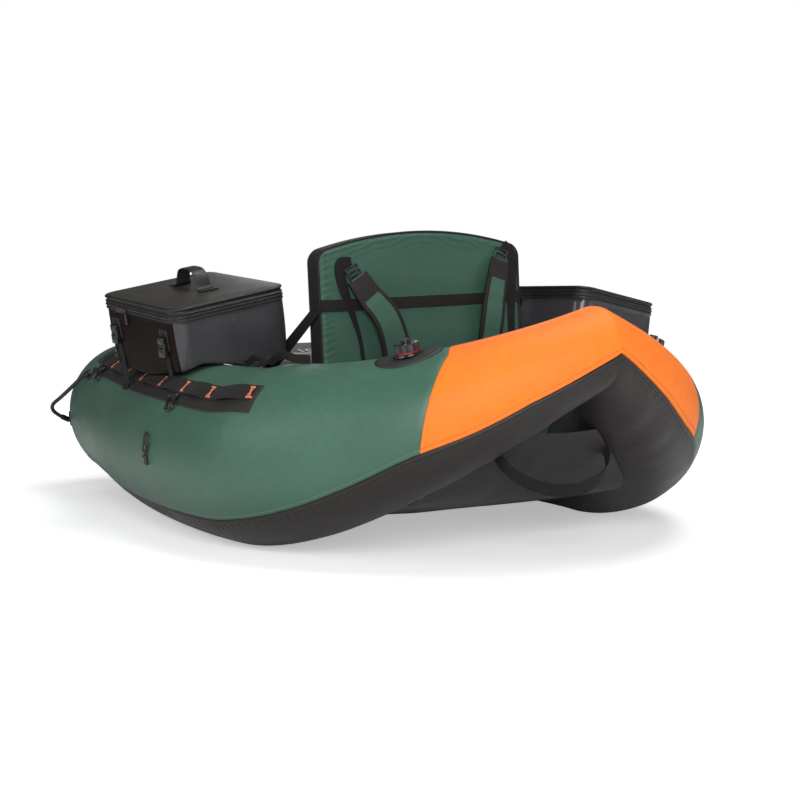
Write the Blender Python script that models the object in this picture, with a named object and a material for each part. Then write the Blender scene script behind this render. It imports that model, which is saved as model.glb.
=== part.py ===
"""Fishing float tube: two tapering inflated side tubes that meet in a raised tip, a seat with a folding
backrest, a lap apron, a hull panel and two zipped bags. Metres, +Z up, +Y towards the open front, the
origin under the middle of the outline. The two sides mirror each other in X except where a bag sits."""

import math

import bmesh
import bpy
import numpy as np
from mathutils import Matrix, Vector

LEFT, RIGHT = -1, 1
SIDE_NAMES = {LEFT: "left", RIGHT: "right"}

# Clearance between pieces that touch.
GAP = 0.0003

# Side tubes. Headings turn from straight across the tip (90) to straight ahead (0), at even steps.
TUBE_LENGTH = 1.671
TUBE_RADIUS = 0.180
TIP_RADIUS = 0.080
TIP_TAPER_LENGTH = 0.63
TIP_TAPER_POWER = 1.2
TIP_RISE = 0.327
TIP_RISE_LENGTH = 0.71
TIP_RISE_POWER = 1.6
FRONT_RISE = 0.031
FRONT_RISE_LENGTH = 0.67
HEADINGS = (68, 43, 23, 2, -5, -8, -4)
PATH_STEPS = 400
MITRE_FADE_LENGTH = 0.12
COVER_THICKNESS = 0.0012
DOME_HOLE_ANGLE = 78

# Seams of the cover. The hem angle is measured from the tube's outer side, negative below it.
HEM_SPAN = 0.60
HEM_ANGLES = (-5, -18, -24, -24.5, -31.5, -37, -40)
TIP_PANEL_LENGTH = 0.279
TIP_PANEL_SLANT_PER_RADIAN = 0.0217
SLANT_FADE_LENGTH = 0.40
TIP_RINGS = 5
MAIN_RINGS = 14
DOME_RINGS = 4
TOP_COLUMNS = 18
BASE_COLUMNS = 8

# Round patch that closes each front end.
END_PATCH_RADIUS = 0.058
END_PATCH_THICKNESS = 0.0016
END_PATCH_LIFT = 0.0011

# Valves.
VALVE_STATION = 0.335
VALVE_ANGLE = 77
VALVE_PATCH_HALF_LENGTH = 0.062
VALVE_PATCH_HALF_WIDTH = 0.050
VALVE_PATCH_THICKNESS = 0.0015
VALVE_PATCH_LIFT = 0.0014
VALVE_FLANGE_RADIUS = 0.0300
VALVE_FLANGE_THICKNESS = 0.0030
VALVE_NECK_RADIUS = 0.0180
VALVE_NECK_HEIGHT = 0.0170
VALVE_WALL = 0.0030
VALVE_RING_RADIUS = 0.0238
VALVE_RING_HEIGHT = 0.0035
VALVE_CAP_RADIUS = 0.0245
VALVE_CAP_HEIGHT = 0.0165
VALVE_CAP_LOBES = 8
VALVE_CAP_LOBE_DEPTH = 0.0036
VALVE_CAP_BOSS_RADIUS = 0.0090
VALVE_CAP_BOSS_HEIGHT = 0.0050

# Lashing strips along the tubes' outer tops.
STRIP_START = 0.585
STRIP_END = 1.560
STRIP_ANGLES = {LEFT: (41, 47, 50, 51.5, 50), RIGHT: (33, 44, 50, 51.5, 50)}
STRIP_WIDTH = 0.066
STRIP_THICKNESS = 0.0016
STRIP_LIFT = 0.0016
WEBBING_LIFT = 0.0005
STRIP_STEPS = 18
STRIP_COLUMNS = 4
WEBBING_WIDTH = 0.038
WEBBING_THICKNESS = 0.0016
WEBBING_OFFSET = 0.0105
WEBBING_TACKS = (0.597, 0.712, 0.817, 0.951, 1.106, 1.261, 1.441, 1.548)
WEBBING_LOOP_RISE = 0.0025
WEBBING_STEPS_PER_LOOP = 4

# Rope handles at the front ends and tether loops on the sides, on the left side.
ROPE_RADIUS = 0.0050
ROPE_ROUTE = (
    (-0.5115, 0.6217, 0.3186), (-0.5285, 0.6450, 0.3038), (-0.5480, 0.6700, 0.2780),
    (-0.5700, 0.6900, 0.2520), (-0.5860, 0.7080, 0.2330), (-0.5830, 0.7230, 0.2170),
    (-0.5640, 0.7380, 0.2020), (-0.5341, 0.7561, 0.1876),
)
ROPE_POINTS = 20
LOOP_RADIUS = 0.0022
LOOP_ROUTE = (
    (-0.6190, -0.1035, 0.1803), (-0.6195, -0.1095, 0.1920), (-0.6185, -0.1130, 0.2040),
    (-0.6165, -0.1090, 0.2180), (-0.6150, -0.0990, 0.2260), (-0.6160, -0.0900, 0.2190),
    (-0.6180, -0.0895, 0.2040), (-0.6190, -0.0945, 0.1920), (-0.6190, -0.0985, 0.1803),
)
LOOP_POINTS = 17
LOOP_TAB_STATION = 0.871
LOOP_TAB_ANGLE = -3.5
LOOP_TAB_WIDTH = 0.016
LOOP_TAB_HEIGHT = 0.020
LOOP_TAB_THICKNESS = 0.0085

# Hull panel under the tail, as heights above the floor along the middle, and its carrying handle.
HULL_PROFILE = (
    (-0.050, 0.028), (-0.130, 0.031), (-0.230, 0.040), (-0.330, 0.055), (-0.420, 0.073),
    (-0.500, 0.091), (-0.560, 0.108), (-0.610, 0.140), (-0.650, 0.180), (-0.680, 0.225),
    (-0.693, 0.247),
)
HULL_THICKNESS = 0.0016
HULL_SAG = 0.004
HULL_LIFT = 0.0012
HULL_COLUMNS = 8
HANDLE_END_ROW = 8
HANDLE_END_SHARE = 0.57
HANDLE_WIDTH = 0.025
HANDLE_THICKNESS = 0.0025
HANDLE_HALF_SPAN_SHARE = 0.92
HANDLE_DROP = 0.064
HANDLE_REACH = 0.055
HANDLE_STEPS = 14

# Seat.
SEAT_HEIGHT = 0.250
SEAT_REAR = -0.205
SEAT_FRONT = 0.255
SEAT_PANEL_THICKNESS = 0.0020
SEAT_LIFT = 0.0003
SEAT_ROWS = 6
CUSHION_WIDTH = 0.440
CUSHION_DEPTH = 0.358
CUSHION_EDGE_THICKNESS = 0.062
CUSHION_CROWN = 0.018
CUSHION_CORNER = 0.050
CUSHION_EDGE_ROUND = 0.016
CUSHION_WAIST = 0.010
CUSHION_CHANNEL = 0.007
CUSHION_CHANNELS = 2
CUSHION_STEPS = 12

# Backrest, with its fold axis at the height of the cushion's top.
BACK_WIDTH = 0.515
BACK_THICKNESS = 0.055
BACK_REAR = -0.1865
BACK_SIDE_TOP = 0.612
BACK_MIDDLE_TOP = 0.651
BACK_BOTTOM = 0.2614
BACK_CORNER = 0.022
BACK_FOOT_CORNER = 0.060
BACK_CROWN = 0.010
BACK_ROUND = 0.006
BACK_LEAN_TO_SIDE = 2.7
BACK_OFFSET = 0.007
BACK_PIVOT_HEIGHT = 0.336
BACK_EDGE_STEPS = 10
BINDING_THICKNESS = 0.0016
BAND_HEIGHT = 0.497
BAND_WIDTH = 0.026
BAND_THICKNESS = 0.0018
STAY_ANCHOR_AHEAD_LENGTHS = {LEFT: 0.3073, RIGHT: 0.2176}
STAY_ANCHOR_ANGLE = 140
STAY_ANCHOR_RUN = 0.035
STAY_CLEARANCE = 0.0030
STAY_THICKNESS = 0.0018

# Shoulder straps on the back of the backrest. Their places are shares of its half width, across, and of the
# height of its side corners over the fold axis, up; the pads' widths are shares of its width.
PAD_THICKNESS = 0.009
PAD_BOW = 0.020
STRAP_WEBBING_WIDTH = 0.025
STRAP_WEBBING_THICKNESS = 0.0016
PAD_ROUTE_SHARES = {
    LEFT: ((-0.6680, 0.7935), (-0.5709, 0.6413), (-0.4583, 0.5072), (-0.3845, 0.3551),
            (-0.3301, 0.1812), (-0.2990, -0.0725)),
    RIGHT: ((0.7728, 0.8877), (0.7146, 0.7428), (0.6602, 0.5797), (0.6291, 0.3986),
             (0.6097, 0.1993), (0.6058, -0.0725)),
}
PAD_WIDTH_SHARES = {
    LEFT: (0.0971, 0.1087, 0.1204, 0.1282, 0.1359, 0.1437),
    RIGHT: (0.0893, 0.1010, 0.1087, 0.1126, 0.1126, 0.1126),
}
TAIL_ROUTE_SHARES = {
    LEFT: ((-0.6990, 0.9130), (-0.8078, 0.8949), (-0.7883, 0.7246), (-0.7223, 0.5435),
            (-0.6524, 0.3261), (-0.6214, 0.1087)),
    RIGHT: ((0.8311, 1.0217), (0.9243, 0.9239), (0.9165, 0.7246), (0.9010, 0.5435),
             (0.8932, 0.3261), (0.8893, 0.1087)),
}
BACK_FACE_REACH = (BACK_WIDTH / 2, BACK_SIDE_TOP - BACK_PIVOT_HEIGHT)
LOCK_WIDTH = 0.034
LOCK_HEIGHT = 0.026
LOCK_THICKNESS = 0.0045
LOCK_BAR = 0.0045

# Lap apron across the tubes in front of the seat. Its angles are measured from each tube's outer side.
APRON_REAR = 0.335
APRON_FRONT = 0.620
APRON_EDGE_ANGLE = 77
APRON_LEAVE_ANGLE = 95
APRON_THICKNESS = 0.0020
APRON_LIFT = 0.0015
APRON_WRAP_STEPS = 3
APRON_SPAN_STEPS = 8
APRON_ROWS = 4

# Bags. Local axes: out from the seat, ahead and up, from the middle of the base.
BAG_WIDTH = 0.274
BAG_DEPTH = 0.355
BAG_BODY_HEIGHT = 0.128
BAG_CORNER = 0.034
BAG_CORNER_STEPS = 3
BAG_TAPER = 0.006
BAG_WALL = 0.0035
BAG_FOOT_ROUND = 0.007
BAG_RIDGE = 0.0030
BAG_RIDGE_HEIGHT = 0.0075
BAG_LID_HEIGHT = 0.0215
BAG_LID_CROWN = 0.0050
BAG_SAG = 0.006
BAG_BASE_LIFT = 0.0022
BAG_STRIP_RISE = 0.0085
BAG_AHEAD_LENGTHS = {LEFT: 0.0790, RIGHT: -0.0980}
BAG_INWARD_LENGTHS = {LEFT: 0.0044, RIGHT: 0.0014}
BAG_RISE_LENGTHS = {LEFT: 0.0178, RIGHT: 0.0055}
BAG_YAWS = {LEFT: 5.2, RIGHT: 13.0}
BAG_LEANS = {LEFT: 11.8, RIGHT: 9.0}
BAG_PITCHES = {LEFT: 6.1, RIGHT: 0.2}
BAG_HANDLE_HALF_SPAN = 0.062
BAG_HANDLE_BACK = 0.014
BAG_HANDLE_FOOT = 0.026
BAG_HANDLE_FOOT_WIDTH = 0.044
BAG_HANDLE_RISES = {LEFT: 0.041, RIGHT: 0.0035}
BAG_HANDLE_WIDTH = 0.032
BAG_HANDLE_THICKNESS = 0.0030
BAG_HANDLE_LIFT = 0.0004
BAG_STRAP_WIDTH = 0.020
BAG_STRAP_THICKNESS = 0.0016
BAG_STRAP_MARGIN = 0.060
BAG_STRAP_TOP = 0.095
BAG_STRAP_LIFT = 0.0010
BAG_STRAP_TAIL = 0.018
BUCKLE_WIDTH = 0.027
BUCKLE_LENGTH = 0.046
BUCKLE_THICKNESS = 0.0110
BUCKLE_HEIGHT = 0.064
PULL_WIDTH = 0.010
PULL_LENGTH = 0.032
PULL_THICKNESS = 0.0024
PULL_AHEAD = 0.052

# Colours as linear red, green and blue, with roughness.
FINISHES = {
    "green_fabric": ((0.070, 0.130, 0.100), 0.55),
    "orange_fabric": ((0.95, 0.235, 0.035), 0.50),
    "black_fabric": ((0.030, 0.028, 0.027), 0.55),
    "bladder_film": ((0.16, 0.16, 0.15), 0.45),
    "black_rubber": ((0.028, 0.027, 0.026), 0.60),
    "black_webbing": ((0.025, 0.022, 0.021), 0.85),
    "black_plastic": ((0.018, 0.018, 0.018), 0.30),
    "red_plastic": ((0.32, 0.012, 0.010), 0.40),
    "bag_film": ((0.028, 0.026, 0.024), 0.42),
    "black_rope": ((0.020, 0.018, 0.018), 0.80),
    "apron_cloth": ((0.085, 0.090, 0.075), 0.70),
}


def clear_scene():
    for item in list(bpy.data.objects):
        bpy.data.objects.remove(item, do_unlink=True)


def material(name):
    found = bpy.data.materials.get(name)
    if found:
        return found
    made = bpy.data.materials.new(name)
    made.use_nodes = True
    colour, roughness = FINISHES[name]
    shader = made.node_tree.nodes["Principled BSDF"]
    shader.inputs["Base Color"].default_value = (*colour, 1)
    shader.inputs["Roughness"].default_value = roughness
    shader.inputs["Metallic"].default_value = 0
    made.diffuse_color = (*colour, 1)
    return made


def place(item, finish, parent):
    bpy.context.scene.collection.objects.link(item)
    item.data.materials.append(material(finish))
    item.parent = parent
    return item


def solid(name, points, faces, finish, parent=None, sharp=35):
    """A closed solid from points and faces, turned so that its faces point outwards."""
    mesh = bpy.data.meshes.new(name)
    mesh.from_pydata([tuple(float(v) for v in point) for point in points], [], [tuple(face) for face in faces])
    shape = bmesh.new()
    shape.from_mesh(mesh)
    if shape.calc_volume(signed=True) < 0:
        bmesh.ops.reverse_faces(shape, faces=shape.faces)
    shape.to_mesh(mesh)
    shape.free()
    mesh.shade_smooth()
    mesh.set_sharp_from_angle(angle=math.radians(sharp))
    return place(bpy.data.objects.new(name, mesh), finish, parent)


def empty(name, matrix, parent=None):
    item = bpy.data.objects.new(name, None)
    bpy.context.scene.collection.objects.link(item)
    item.parent = parent
    item.matrix_local = matrix
    return item


def grid_triangles(rows, columns, start=0, flip=False):
    """Two triangles for each cell of a grid whose points are numbered row by row."""
    faces = []
    for i in range(rows - 1):
        for j in range(columns - 1):
            a = start + i * columns + j
            b = a + columns
            pair = ((a, b, b + 1), (a, b + 1, a + 1))
            faces += [face[::-1] if flip else face for face in pair]
    return faces


def shell(name, outer, inner, finish, parent=None, sharp=35):
    """A closed thin wall between two grids of points of the same shape."""
    rows, columns = outer.shape[:2]
    count = rows * columns
    faces = grid_triangles(rows, columns) + grid_triangles(rows, columns, count, True)
    rim = [j for j in range(columns)] + [i * columns + columns - 1 for i in range(1, rows)]
    rim += [(rows - 1) * columns + j for j in range(columns - 2, -1, -1)]
    rim += [i * columns for i in range(rows - 2, 0, -1)]
    for a, b in zip(rim, rim[1:] + rim[:1]):
        faces += [(a, b, b + count), (a, b + count, a + count)]
    points = np.concatenate([outer.reshape(-1, 3), inner.reshape(-1, 3)])
    return solid(name, points, faces, finish, parent, sharp)


def loft(name, rings, finish, parent=None, sharp=35):
    """A closed solid through rings of equal counts, each end closed by a flat face."""
    count = len(rings[0])
    points = [point for ring in rings for point in ring]
    faces = []
    for i in range(len(rings) - 1):
        for j in range(count):
            k = (j + 1) % count
            faces.append((i * count + j, i * count + k, (i + 1) * count + k, (i + 1) * count + j))
    faces.append(tuple(range(count))[::-1])
    faces.append(tuple(range((len(rings) - 1) * count, len(rings) * count)))
    return solid(name, points, faces, finish, parent, sharp)


def catmull_rom(values, share):
    """A smooth curve through evenly spaced values, read at shares of their span."""
    values = np.asarray(values, float)
    last = len(values) - 1
    before, after = 2 * values[:1] - values[1:2], 2 * values[-1:] - values[-2:-1]
    padded = np.concatenate([before, values, after])
    place_on = np.clip(share, 0, 1) * last
    index = np.minimum(place_on.astype(int), last - 1)
    t = place_on - index
    if values.ndim > 1:
        t = t[..., None]
    a, b, c, d = (padded[index + k] for k in range(4))
    return b + 0.5 * t * (c - a + t * (2 * a - 5 * b + 4 * c - d + t * (3 * (b - c) + d - a)))


def side_points(points, side):
    """Points modelled for the left side, carried to either side."""
    return np.asarray(points, float) * np.array([-side, 1, 1])


def ribbon(name, centres, sideways, widths, thickness, finish, parent=None):
    """A flat strap: each centre is the middle of its lower face, and it thickens along its own normal."""
    centres = np.asarray(centres, float)
    sideways = np.asarray(sideways, float)
    sideways = sideways / np.linalg.norm(sideways, axis=1)[:, None]
    along = np.gradient(centres, axis=0)
    normal = np.cross(sideways, along)
    normal = normal / np.linalg.norm(normal, axis=1)[:, None]
    half = np.broadcast_to(np.asarray(widths, float) / 2, (len(centres),))[:, None]
    low_left, low_right = centres - sideways * half, centres + sideways * half
    rise = normal * thickness
    rings = np.stack([low_left, low_right, low_right + rise, low_left + rise], 1)
    return loft(name, rings, finish, parent)


def slotted_plate(name, width, height, bar, thickness, finish, parent=None, turn=None):
    """A ladder-lock frame: a plate with two slots across it, rounded at its edges."""
    shape = bmesh.new()
    xs = (-width / 2, -width / 2 + bar, width / 2 - bar, width / 2)
    slot = (height - 3 * bar) / 2
    zs = (-height / 2, -height / 2 + bar, -bar / 2, bar / 2, height / 2 - bar, height / 2)
    assert slot > 0
    columns = [[shape.verts.new((x, 0, z)) for z in zs] for x in xs]
    for i in range(len(xs) - 1):
        for j in range(len(zs) - 1):
            if i == 1 and j in (1, 3):
                continue
            shape.faces.new((columns[i][j], columns[i + 1][j], columns[i + 1][j + 1], columns[i][j + 1]))
    grown = bmesh.ops.extrude_face_region(shape, geom=shape.faces[:])
    moved = [item for item in grown["geom"] if isinstance(item, bmesh.types.BMVert)]
    bmesh.ops.translate(shape, verts=moved, vec=(0, -thickness, 0))
    if turn is not None:
        bmesh.ops.transform(shape, matrix=turn, verts=shape.verts)
    shape.faces.ensure_lookup_table()
    points = [tuple(vertex.co) for vertex in shape.verts]
    shape.verts.index_update()
    faces = [tuple(vertex.index for vertex in face.verts) for face in shape.faces]
    shape.free()
    return solid(name, points, faces, finish, parent)


def turned(name, profile, steps, finish, parent, scallop=None):
    """A turned piece: a closed profile of (radius, height) pairs spun round Z; scallop changes a radius by angle."""
    shape = bmesh.new()
    corners = [shape.verts.new((radius, 0, height)) for radius, height in profile]
    edges = [shape.edges.new((a, b)) for a, b in zip(corners, corners[1:] + corners[:1])]
    bmesh.ops.spin(shape, geom=corners + edges, cent=(0, 0, 0), axis=(0, 0, 1), angle=math.tau, steps=steps,
                   use_merge=True)
    smallest = min(radius for radius, _ in profile if radius > 0)
    bmesh.ops.remove_doubles(shape, verts=shape.verts, dist=smallest / 1000)
    if scallop:
        for vertex in shape.verts:
            scallop(vertex)
    shape.verts.index_update()
    points = [tuple(vertex.co) for vertex in shape.verts]
    faces = [tuple(vertex.index for vertex in face.verts) for face in shape.faces]
    shape.free()
    return solid(name, points, faces, finish, parent)


class TubeAxis:
    """The left tube's centre line from the tip, where it crosses the middle, to the start of its front dome."""

    def __init__(self):
        self.station = np.linspace(0, TUBE_LENGTH, PATH_STEPS + 1)
        self.heading = np.radians(catmull_rom(HEADINGS, self.station / TUBE_LENGTH))
        step = TUBE_LENGTH / PATH_STEPS
        across, ahead = -np.sin(self.heading), np.cos(self.heading)
        self.x = np.concatenate([[0], np.cumsum((across[1:] + across[:-1]) / 2 * step)])
        run = np.concatenate([[0], np.cumsum((ahead[1:] + ahead[:-1]) / 2 * step)])
        rear_reach = TIP_RADIUS / math.sin(self.heading[0])
        front_reach = run[-1] + TUBE_RADIUS + END_PATCH_LIFT + END_PATCH_THICKNESS
        self.y = run + (rear_reach - front_reach) / 2

    def radius(self, station):
        left = np.clip(1 - station / TIP_TAPER_LENGTH, 0, 1)
        return TUBE_RADIUS - (TUBE_RADIUS - TIP_RADIUS) * left**TIP_TAPER_POWER

    def centre(self, station):
        """Centre points, unit tangents and unit outward directions at these stations."""
        x, y, heading = (np.interp(station, self.station, v) for v in (self.x, self.y, self.heading))
        left = np.clip(1 - station / TIP_RISE_LENGTH, 0, 1)
        front = np.clip((station - TUBE_LENGTH + FRONT_RISE_LENGTH) / FRONT_RISE_LENGTH, 0, 1)
        base = TIP_RISE * left**TIP_RISE_POWER + FRONT_RISE * front**2
        zero = np.zeros_like(x)
        centre = np.stack([x, y, base + self.radius(station)], -1)
        tangent = np.stack([-np.sin(heading), np.cos(heading), zero], -1)
        outward = np.stack([-np.cos(heading), -np.sin(heading), zero], -1)
        return centre, tangent, outward

    def skin(self, station, angle, lift=0.0):
        """Points on the skin, at angles in radians up from the outer side, lifted off it; past the tube's
        length the stations run on over the dome. Near the tip the rings slide along the tube, so that the
        first lies in the mitre between the two tubes."""
        station, angle = np.broadcast_arrays(np.asarray(station, float), np.asarray(angle, float))
        on_tube = np.minimum(station, TUBE_LENGTH)
        centre, tangent, outward = self.centre(on_tube)
        radius = self.radius(on_tube)
        over = np.clip((station - TUBE_LENGTH) / TUBE_RADIUS, 0, math.pi / 2)
        ring = (radius + lift) * np.cos(over)
        ahead = (TUBE_RADIUS + lift) * np.sin(over)
        up = np.array([0.0, 0.0, 1.0])
        spoke = np.cos(angle)[..., None] * outward + np.sin(angle)[..., None] * up
        points = centre + tangent * ahead[..., None] + spoke * ring[..., None]
        _, first_tangent, first_outward = self.centre(np.zeros(1))
        reach = (TIP_RADIUS + lift) * np.cos(angle) * first_outward[0, 0]
        slide = (-GAP / 2 - reach) / first_tangent[0, 0]
        fade = np.clip(1 - station / MITRE_FADE_LENGTH, 0, 1)
        return points + tangent * (slide * fade)[..., None]

    def station_at(self, y):
        """The station of the centre line at this place along the part."""
        return np.interp(y, self.y, self.station)

    def clearance(self, points):
        """How far each point is outside the left tube's skin, negative inside it."""
        centre, _, _ = self.centre(self.station)
        away = np.linalg.norm(points[:, None] - centre[None], axis=2)
        return (away - self.radius(self.station)).min(axis=1)

    def inner_half_width(self, y, height, lift):
        """How far the free width between the tubes reaches to a side, at this place along and this height."""
        centre, _, _ = self.centre(self.station)
        radius = self.radius(self.station) + lift
        level = np.maximum(radius**2 - (centre[:, 2] - height) ** 2, 0)
        near, far = 0.0, float(-centre[:, 0].min())
        for _ in range(40):
            middle = (near + far) / 2
            plan = (centre[:, 0] + middle) ** 2 + (centre[:, 1] - y) ** 2
            near, far = (middle, far) if (plan > level).all() else (near, middle)
        return near


AXIS = TubeAxis()


def hem_angle(station):
    return np.radians(catmull_rom(HEM_ANGLES, np.asarray(station, float) / HEM_SPAN))


def panel_edge_station(angle):
    """Where the tip panel ends, which is later along the tube the lower it is."""
    return TIP_PANEL_LENGTH - TIP_PANEL_SLANT_PER_RADIAN * np.minimum(angle, math.pi - angle)


def seam_station():
    """Where the tip panel's edge meets the hem."""
    station = TIP_PANEL_LENGTH
    for _ in range(30):
        station = float(panel_edge_station(hem_angle(np.array([station]))[0]))
    return station


SEAM_STATION = seam_station()


def ring_stations():
    """Stations along the hem of every ring of the skin: tip panel, main panel and dome."""
    tip = np.linspace(0, SEAM_STATION, TIP_RINGS + 1)
    main = np.linspace(SEAM_STATION, TUBE_LENGTH, MAIN_RINGS + 1)[1:]
    dome = TUBE_LENGTH + TUBE_RADIUS * np.radians(np.linspace(0, DOME_HOLE_ANGLE, DOME_RINGS + 1)[1:])
    return np.concatenate([tip, main, dome])


STATIONS = ring_stations()


def slanted(station, angle):
    """Stations of a ring over the top: each leans as the tip panel's edge does, and the lean fades away."""
    lower = np.minimum(angle, math.pi - angle)
    rise = lower - hem_angle(station)
    growing = station / SEAM_STATION
    fading = 1 - (station - SEAM_STATION) / SLANT_FADE_LENGTH
    lean = np.where(station <= SEAM_STATION, growing, np.clip(fading, 0, 1))
    return station - TIP_PANEL_SLANT_PER_RADIAN * rise * lean


def top_grid(rows, lift, seam_gap, shift=0.0):
    """Points over the top, from the outer hem to the inner one. The seam gap draws both hems back, and the
    shift moves the first or last ring along."""
    station = STATIONS[rows][:, None]
    edge = hem_angle(station) + seam_gap / AXIS.radius(np.minimum(station, TUBE_LENGTH))
    angle = edge + (math.pi - 2 * edge) * np.linspace(0, 1, TOP_COLUMNS + 1)
    leaning = slanted(station + 0 * angle, angle)
    return AXIS.skin(leaning + shift, angle, lift)


def base_grid(rows, lift, seam_gap):
    """Points under the tube, from the inner hem to the outer one."""
    station = STATIONS[rows][:, None]
    edge = hem_angle(station) - seam_gap / AXIS.radius(np.minimum(station, TUBE_LENGTH))
    angle = -math.pi - edge + (math.pi + 2 * edge) * np.linspace(0, 1, BASE_COLUMNS + 1)
    return AXIS.skin(station, angle, lift)


def build_tube(side):
    """The cover's three sewn panels and the air-filled bladder inside them."""
    word = SIDE_NAMES[side]
    half = GAP / 2
    tip = slice(0, TIP_RINGS + 1)
    main = slice(TIP_RINGS, len(STATIONS))
    every = slice(0, len(STATIONS))
    drawn_in = np.zeros((len(STATIONS), 1))
    panels = (
        ("cover_tip", top_grid, tip, "orange_fabric"),
        ("cover_top", top_grid, main, "green_fabric"),
        ("cover_base", base_grid, every, "black_fabric"),
    )
    for name, grid, rows, finish in panels:
        shift = drawn_in[rows].copy()
        extra = {}
        if name == "cover_tip":
            shift[-1] = -half
            extra = {"shift": shift}
        if name == "cover_top":
            shift[0] = half
            extra = {"shift": shift}
        outer = grid(rows, 0.0, half, **extra)
        inner = grid(rows, -COVER_THICKNESS, half, **extra)
        shell(f"{word}_{name}", side_points(outer, side), side_points(inner, side), finish)
    sunk = -COVER_THICKNESS - GAP
    over = top_grid(every, sunk, 0.0)
    under = base_grid(every, sunk, 0.0)
    rings = np.concatenate([over, under[:, 1:-1]], axis=1)
    count = rings.shape[1]
    pole = AXIS.skin(TUBE_LENGTH + TUBE_RADIUS * math.pi / 2, 0.0, sunk)
    points = np.concatenate([rings.reshape(-1, 3), pole[None]])
    faces = []
    for i in range(len(rings) - 1):
        for j in range(count):
            a, b = i * count + j, i * count + (j + 1) % count
            faces += [(a, a + count, b + count), (a, b + count, b)]
    last = (len(rings) - 1) * count
    faces += [(last + j, len(points) - 1, last + (j + 1) % count) for j in range(count)]
    faces.append(tuple(range(count)))
    solid(f"{word}_bladder", side_points(points, side), faces, "bladder_film")


def build_end_patch(side):
    """A round patch that closes the front dome, moulded to it."""
    rings = []
    reach = END_PATCH_RADIUS / TUBE_RADIUS
    start = TUBE_LENGTH + TUBE_RADIUS * (math.pi / 2 - reach)
    angle = np.linspace(0, math.tau, 17)[:-1]
    low, high = END_PATCH_LIFT, END_PATCH_LIFT + END_PATCH_THICKNESS
    middle = TUBE_LENGTH + TUBE_RADIUS * (math.pi / 2 - reach / 2)
    inner_ring = TUBE_LENGTH + TUBE_RADIUS * (math.pi / 2 - reach / 8)
    for station, lift in ((inner_ring, low), (middle, low), (start, low), (start, high), (middle, high),
                          (inner_ring, high)):
        rings.append(side_points(AXIS.skin(np.full(16, station), angle, lift), side))
    loft(f"{SIDE_NAMES[side]}_end_patch", rings, "black_rubber")


def frame_on_skin(side, station, angle):
    """A matrix with Z out of the skin, Y along the tube and its origin on the skin."""
    turn = math.radians(angle)
    small = 0.01
    at = side_points(AXIS.skin(station, turn), side)
    ahead = side_points(AXIS.skin(station + small * TUBE_RADIUS, turn), side)
    higher = side_points(AXIS.skin(station, turn + small), side)
    along = Vector(ahead - at).normalized()
    up = along.cross(Vector(higher - at)).normalized() * side
    across = along.cross(up)
    return Matrix.Translation(Vector(at)) @ Matrix((across, along, up)).transposed().to_4x4()


def build_valve(side):
    """An oval patch welded to the top, and on it the valve's body, red ring and lobed cap."""
    word = SIDE_NAMES[side]
    rings = []
    turn = np.linspace(0, math.tau, 25)[:-1]
    station_radius = float(AXIS.radius(VALVE_STATION))
    low, high = VALVE_PATCH_LIFT, VALVE_PATCH_LIFT + VALVE_PATCH_THICKNESS
    for share, lift in ((0.4, low), (0.7, low), (1.0, low), (1.0, high), (0.7, high), (0.4, high)):
        station = VALVE_STATION + VALVE_PATCH_HALF_LENGTH * share * np.cos(turn)
        angle = math.radians(VALVE_ANGLE) + VALVE_PATCH_HALF_WIDTH / station_radius * share * np.sin(turn)
        rings.append(side_points(AXIS.skin(station, angle, lift), side))
    loft(f"{word}_valve_patch", rings, "black_rubber")
    axis = empty(f"{word}_valve_axis", frame_on_skin(side, VALVE_STATION, VALVE_ANGLE))
    seat = high + GAP
    deck = seat + VALVE_FLANGE_THICKNESS
    top = seat + VALVE_NECK_HEIGHT
    bore = VALVE_NECK_RADIUS - VALVE_WALL
    body = ((0, seat), (VALVE_FLANGE_RADIUS, seat), (VALVE_FLANGE_RADIUS - VALVE_FLANGE_THICKNESS / 2, deck),
            (VALVE_NECK_RADIUS, deck), (VALVE_NECK_RADIUS, top), (bore, top), (bore, deck), (0, deck))
    turned(f"{word}_valve_body", body, 20, "black_plastic", axis)
    ring_low = deck + GAP
    ring_high = ring_low + VALVE_RING_HEIGHT
    ring_bore = VALVE_NECK_RADIUS + GAP
    ring = ((ring_bore, ring_low), (VALVE_RING_RADIUS, ring_low), (VALVE_RING_RADIUS, ring_high),
            (ring_bore, ring_high))
    turned(f"{word}_valve_ring", ring, 20, "red_plastic", axis)
    cap_low = ring_high + GAP
    cap_high = cap_low + VALVE_CAP_HEIGHT
    roof = top + GAP
    edge = VALVE_CAP_RADIUS - VALVE_WALL
    cap = ((ring_bore, cap_low), (VALVE_CAP_RADIUS, cap_low), (VALVE_CAP_RADIUS, cap_high - VALVE_WALL),
           (edge, cap_high), (VALVE_CAP_BOSS_RADIUS, cap_high),
           (VALVE_CAP_BOSS_RADIUS, cap_high + VALVE_CAP_BOSS_HEIGHT), (0, cap_high + VALVE_CAP_BOSS_HEIGHT),
           (0, roof), (ring_bore, roof))

    inner_edge = edge - VALVE_CAP_LOBE_DEPTH / 2

    def scallop(vertex):
        radius = math.hypot(vertex.co.x, vertex.co.y)
        if radius < inner_edge:
            return
        wave = (1 - math.cos(VALVE_CAP_LOBES * math.atan2(vertex.co.y, vertex.co.x))) / 2
        kept = 1 - VALVE_CAP_LOBE_DEPTH * wave / radius
        vertex.co.x *= kept
        vertex.co.y *= kept

    turned(f"{word}_valve_cap", cap, 4 * VALVE_CAP_LOBES, "black_plastic", axis, scallop)


def strip_angle(station, side):
    share = (station - STRIP_START) / (STRIP_END - STRIP_START)
    return np.radians(catmull_rom(STRIP_ANGLES[side], share))


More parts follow.
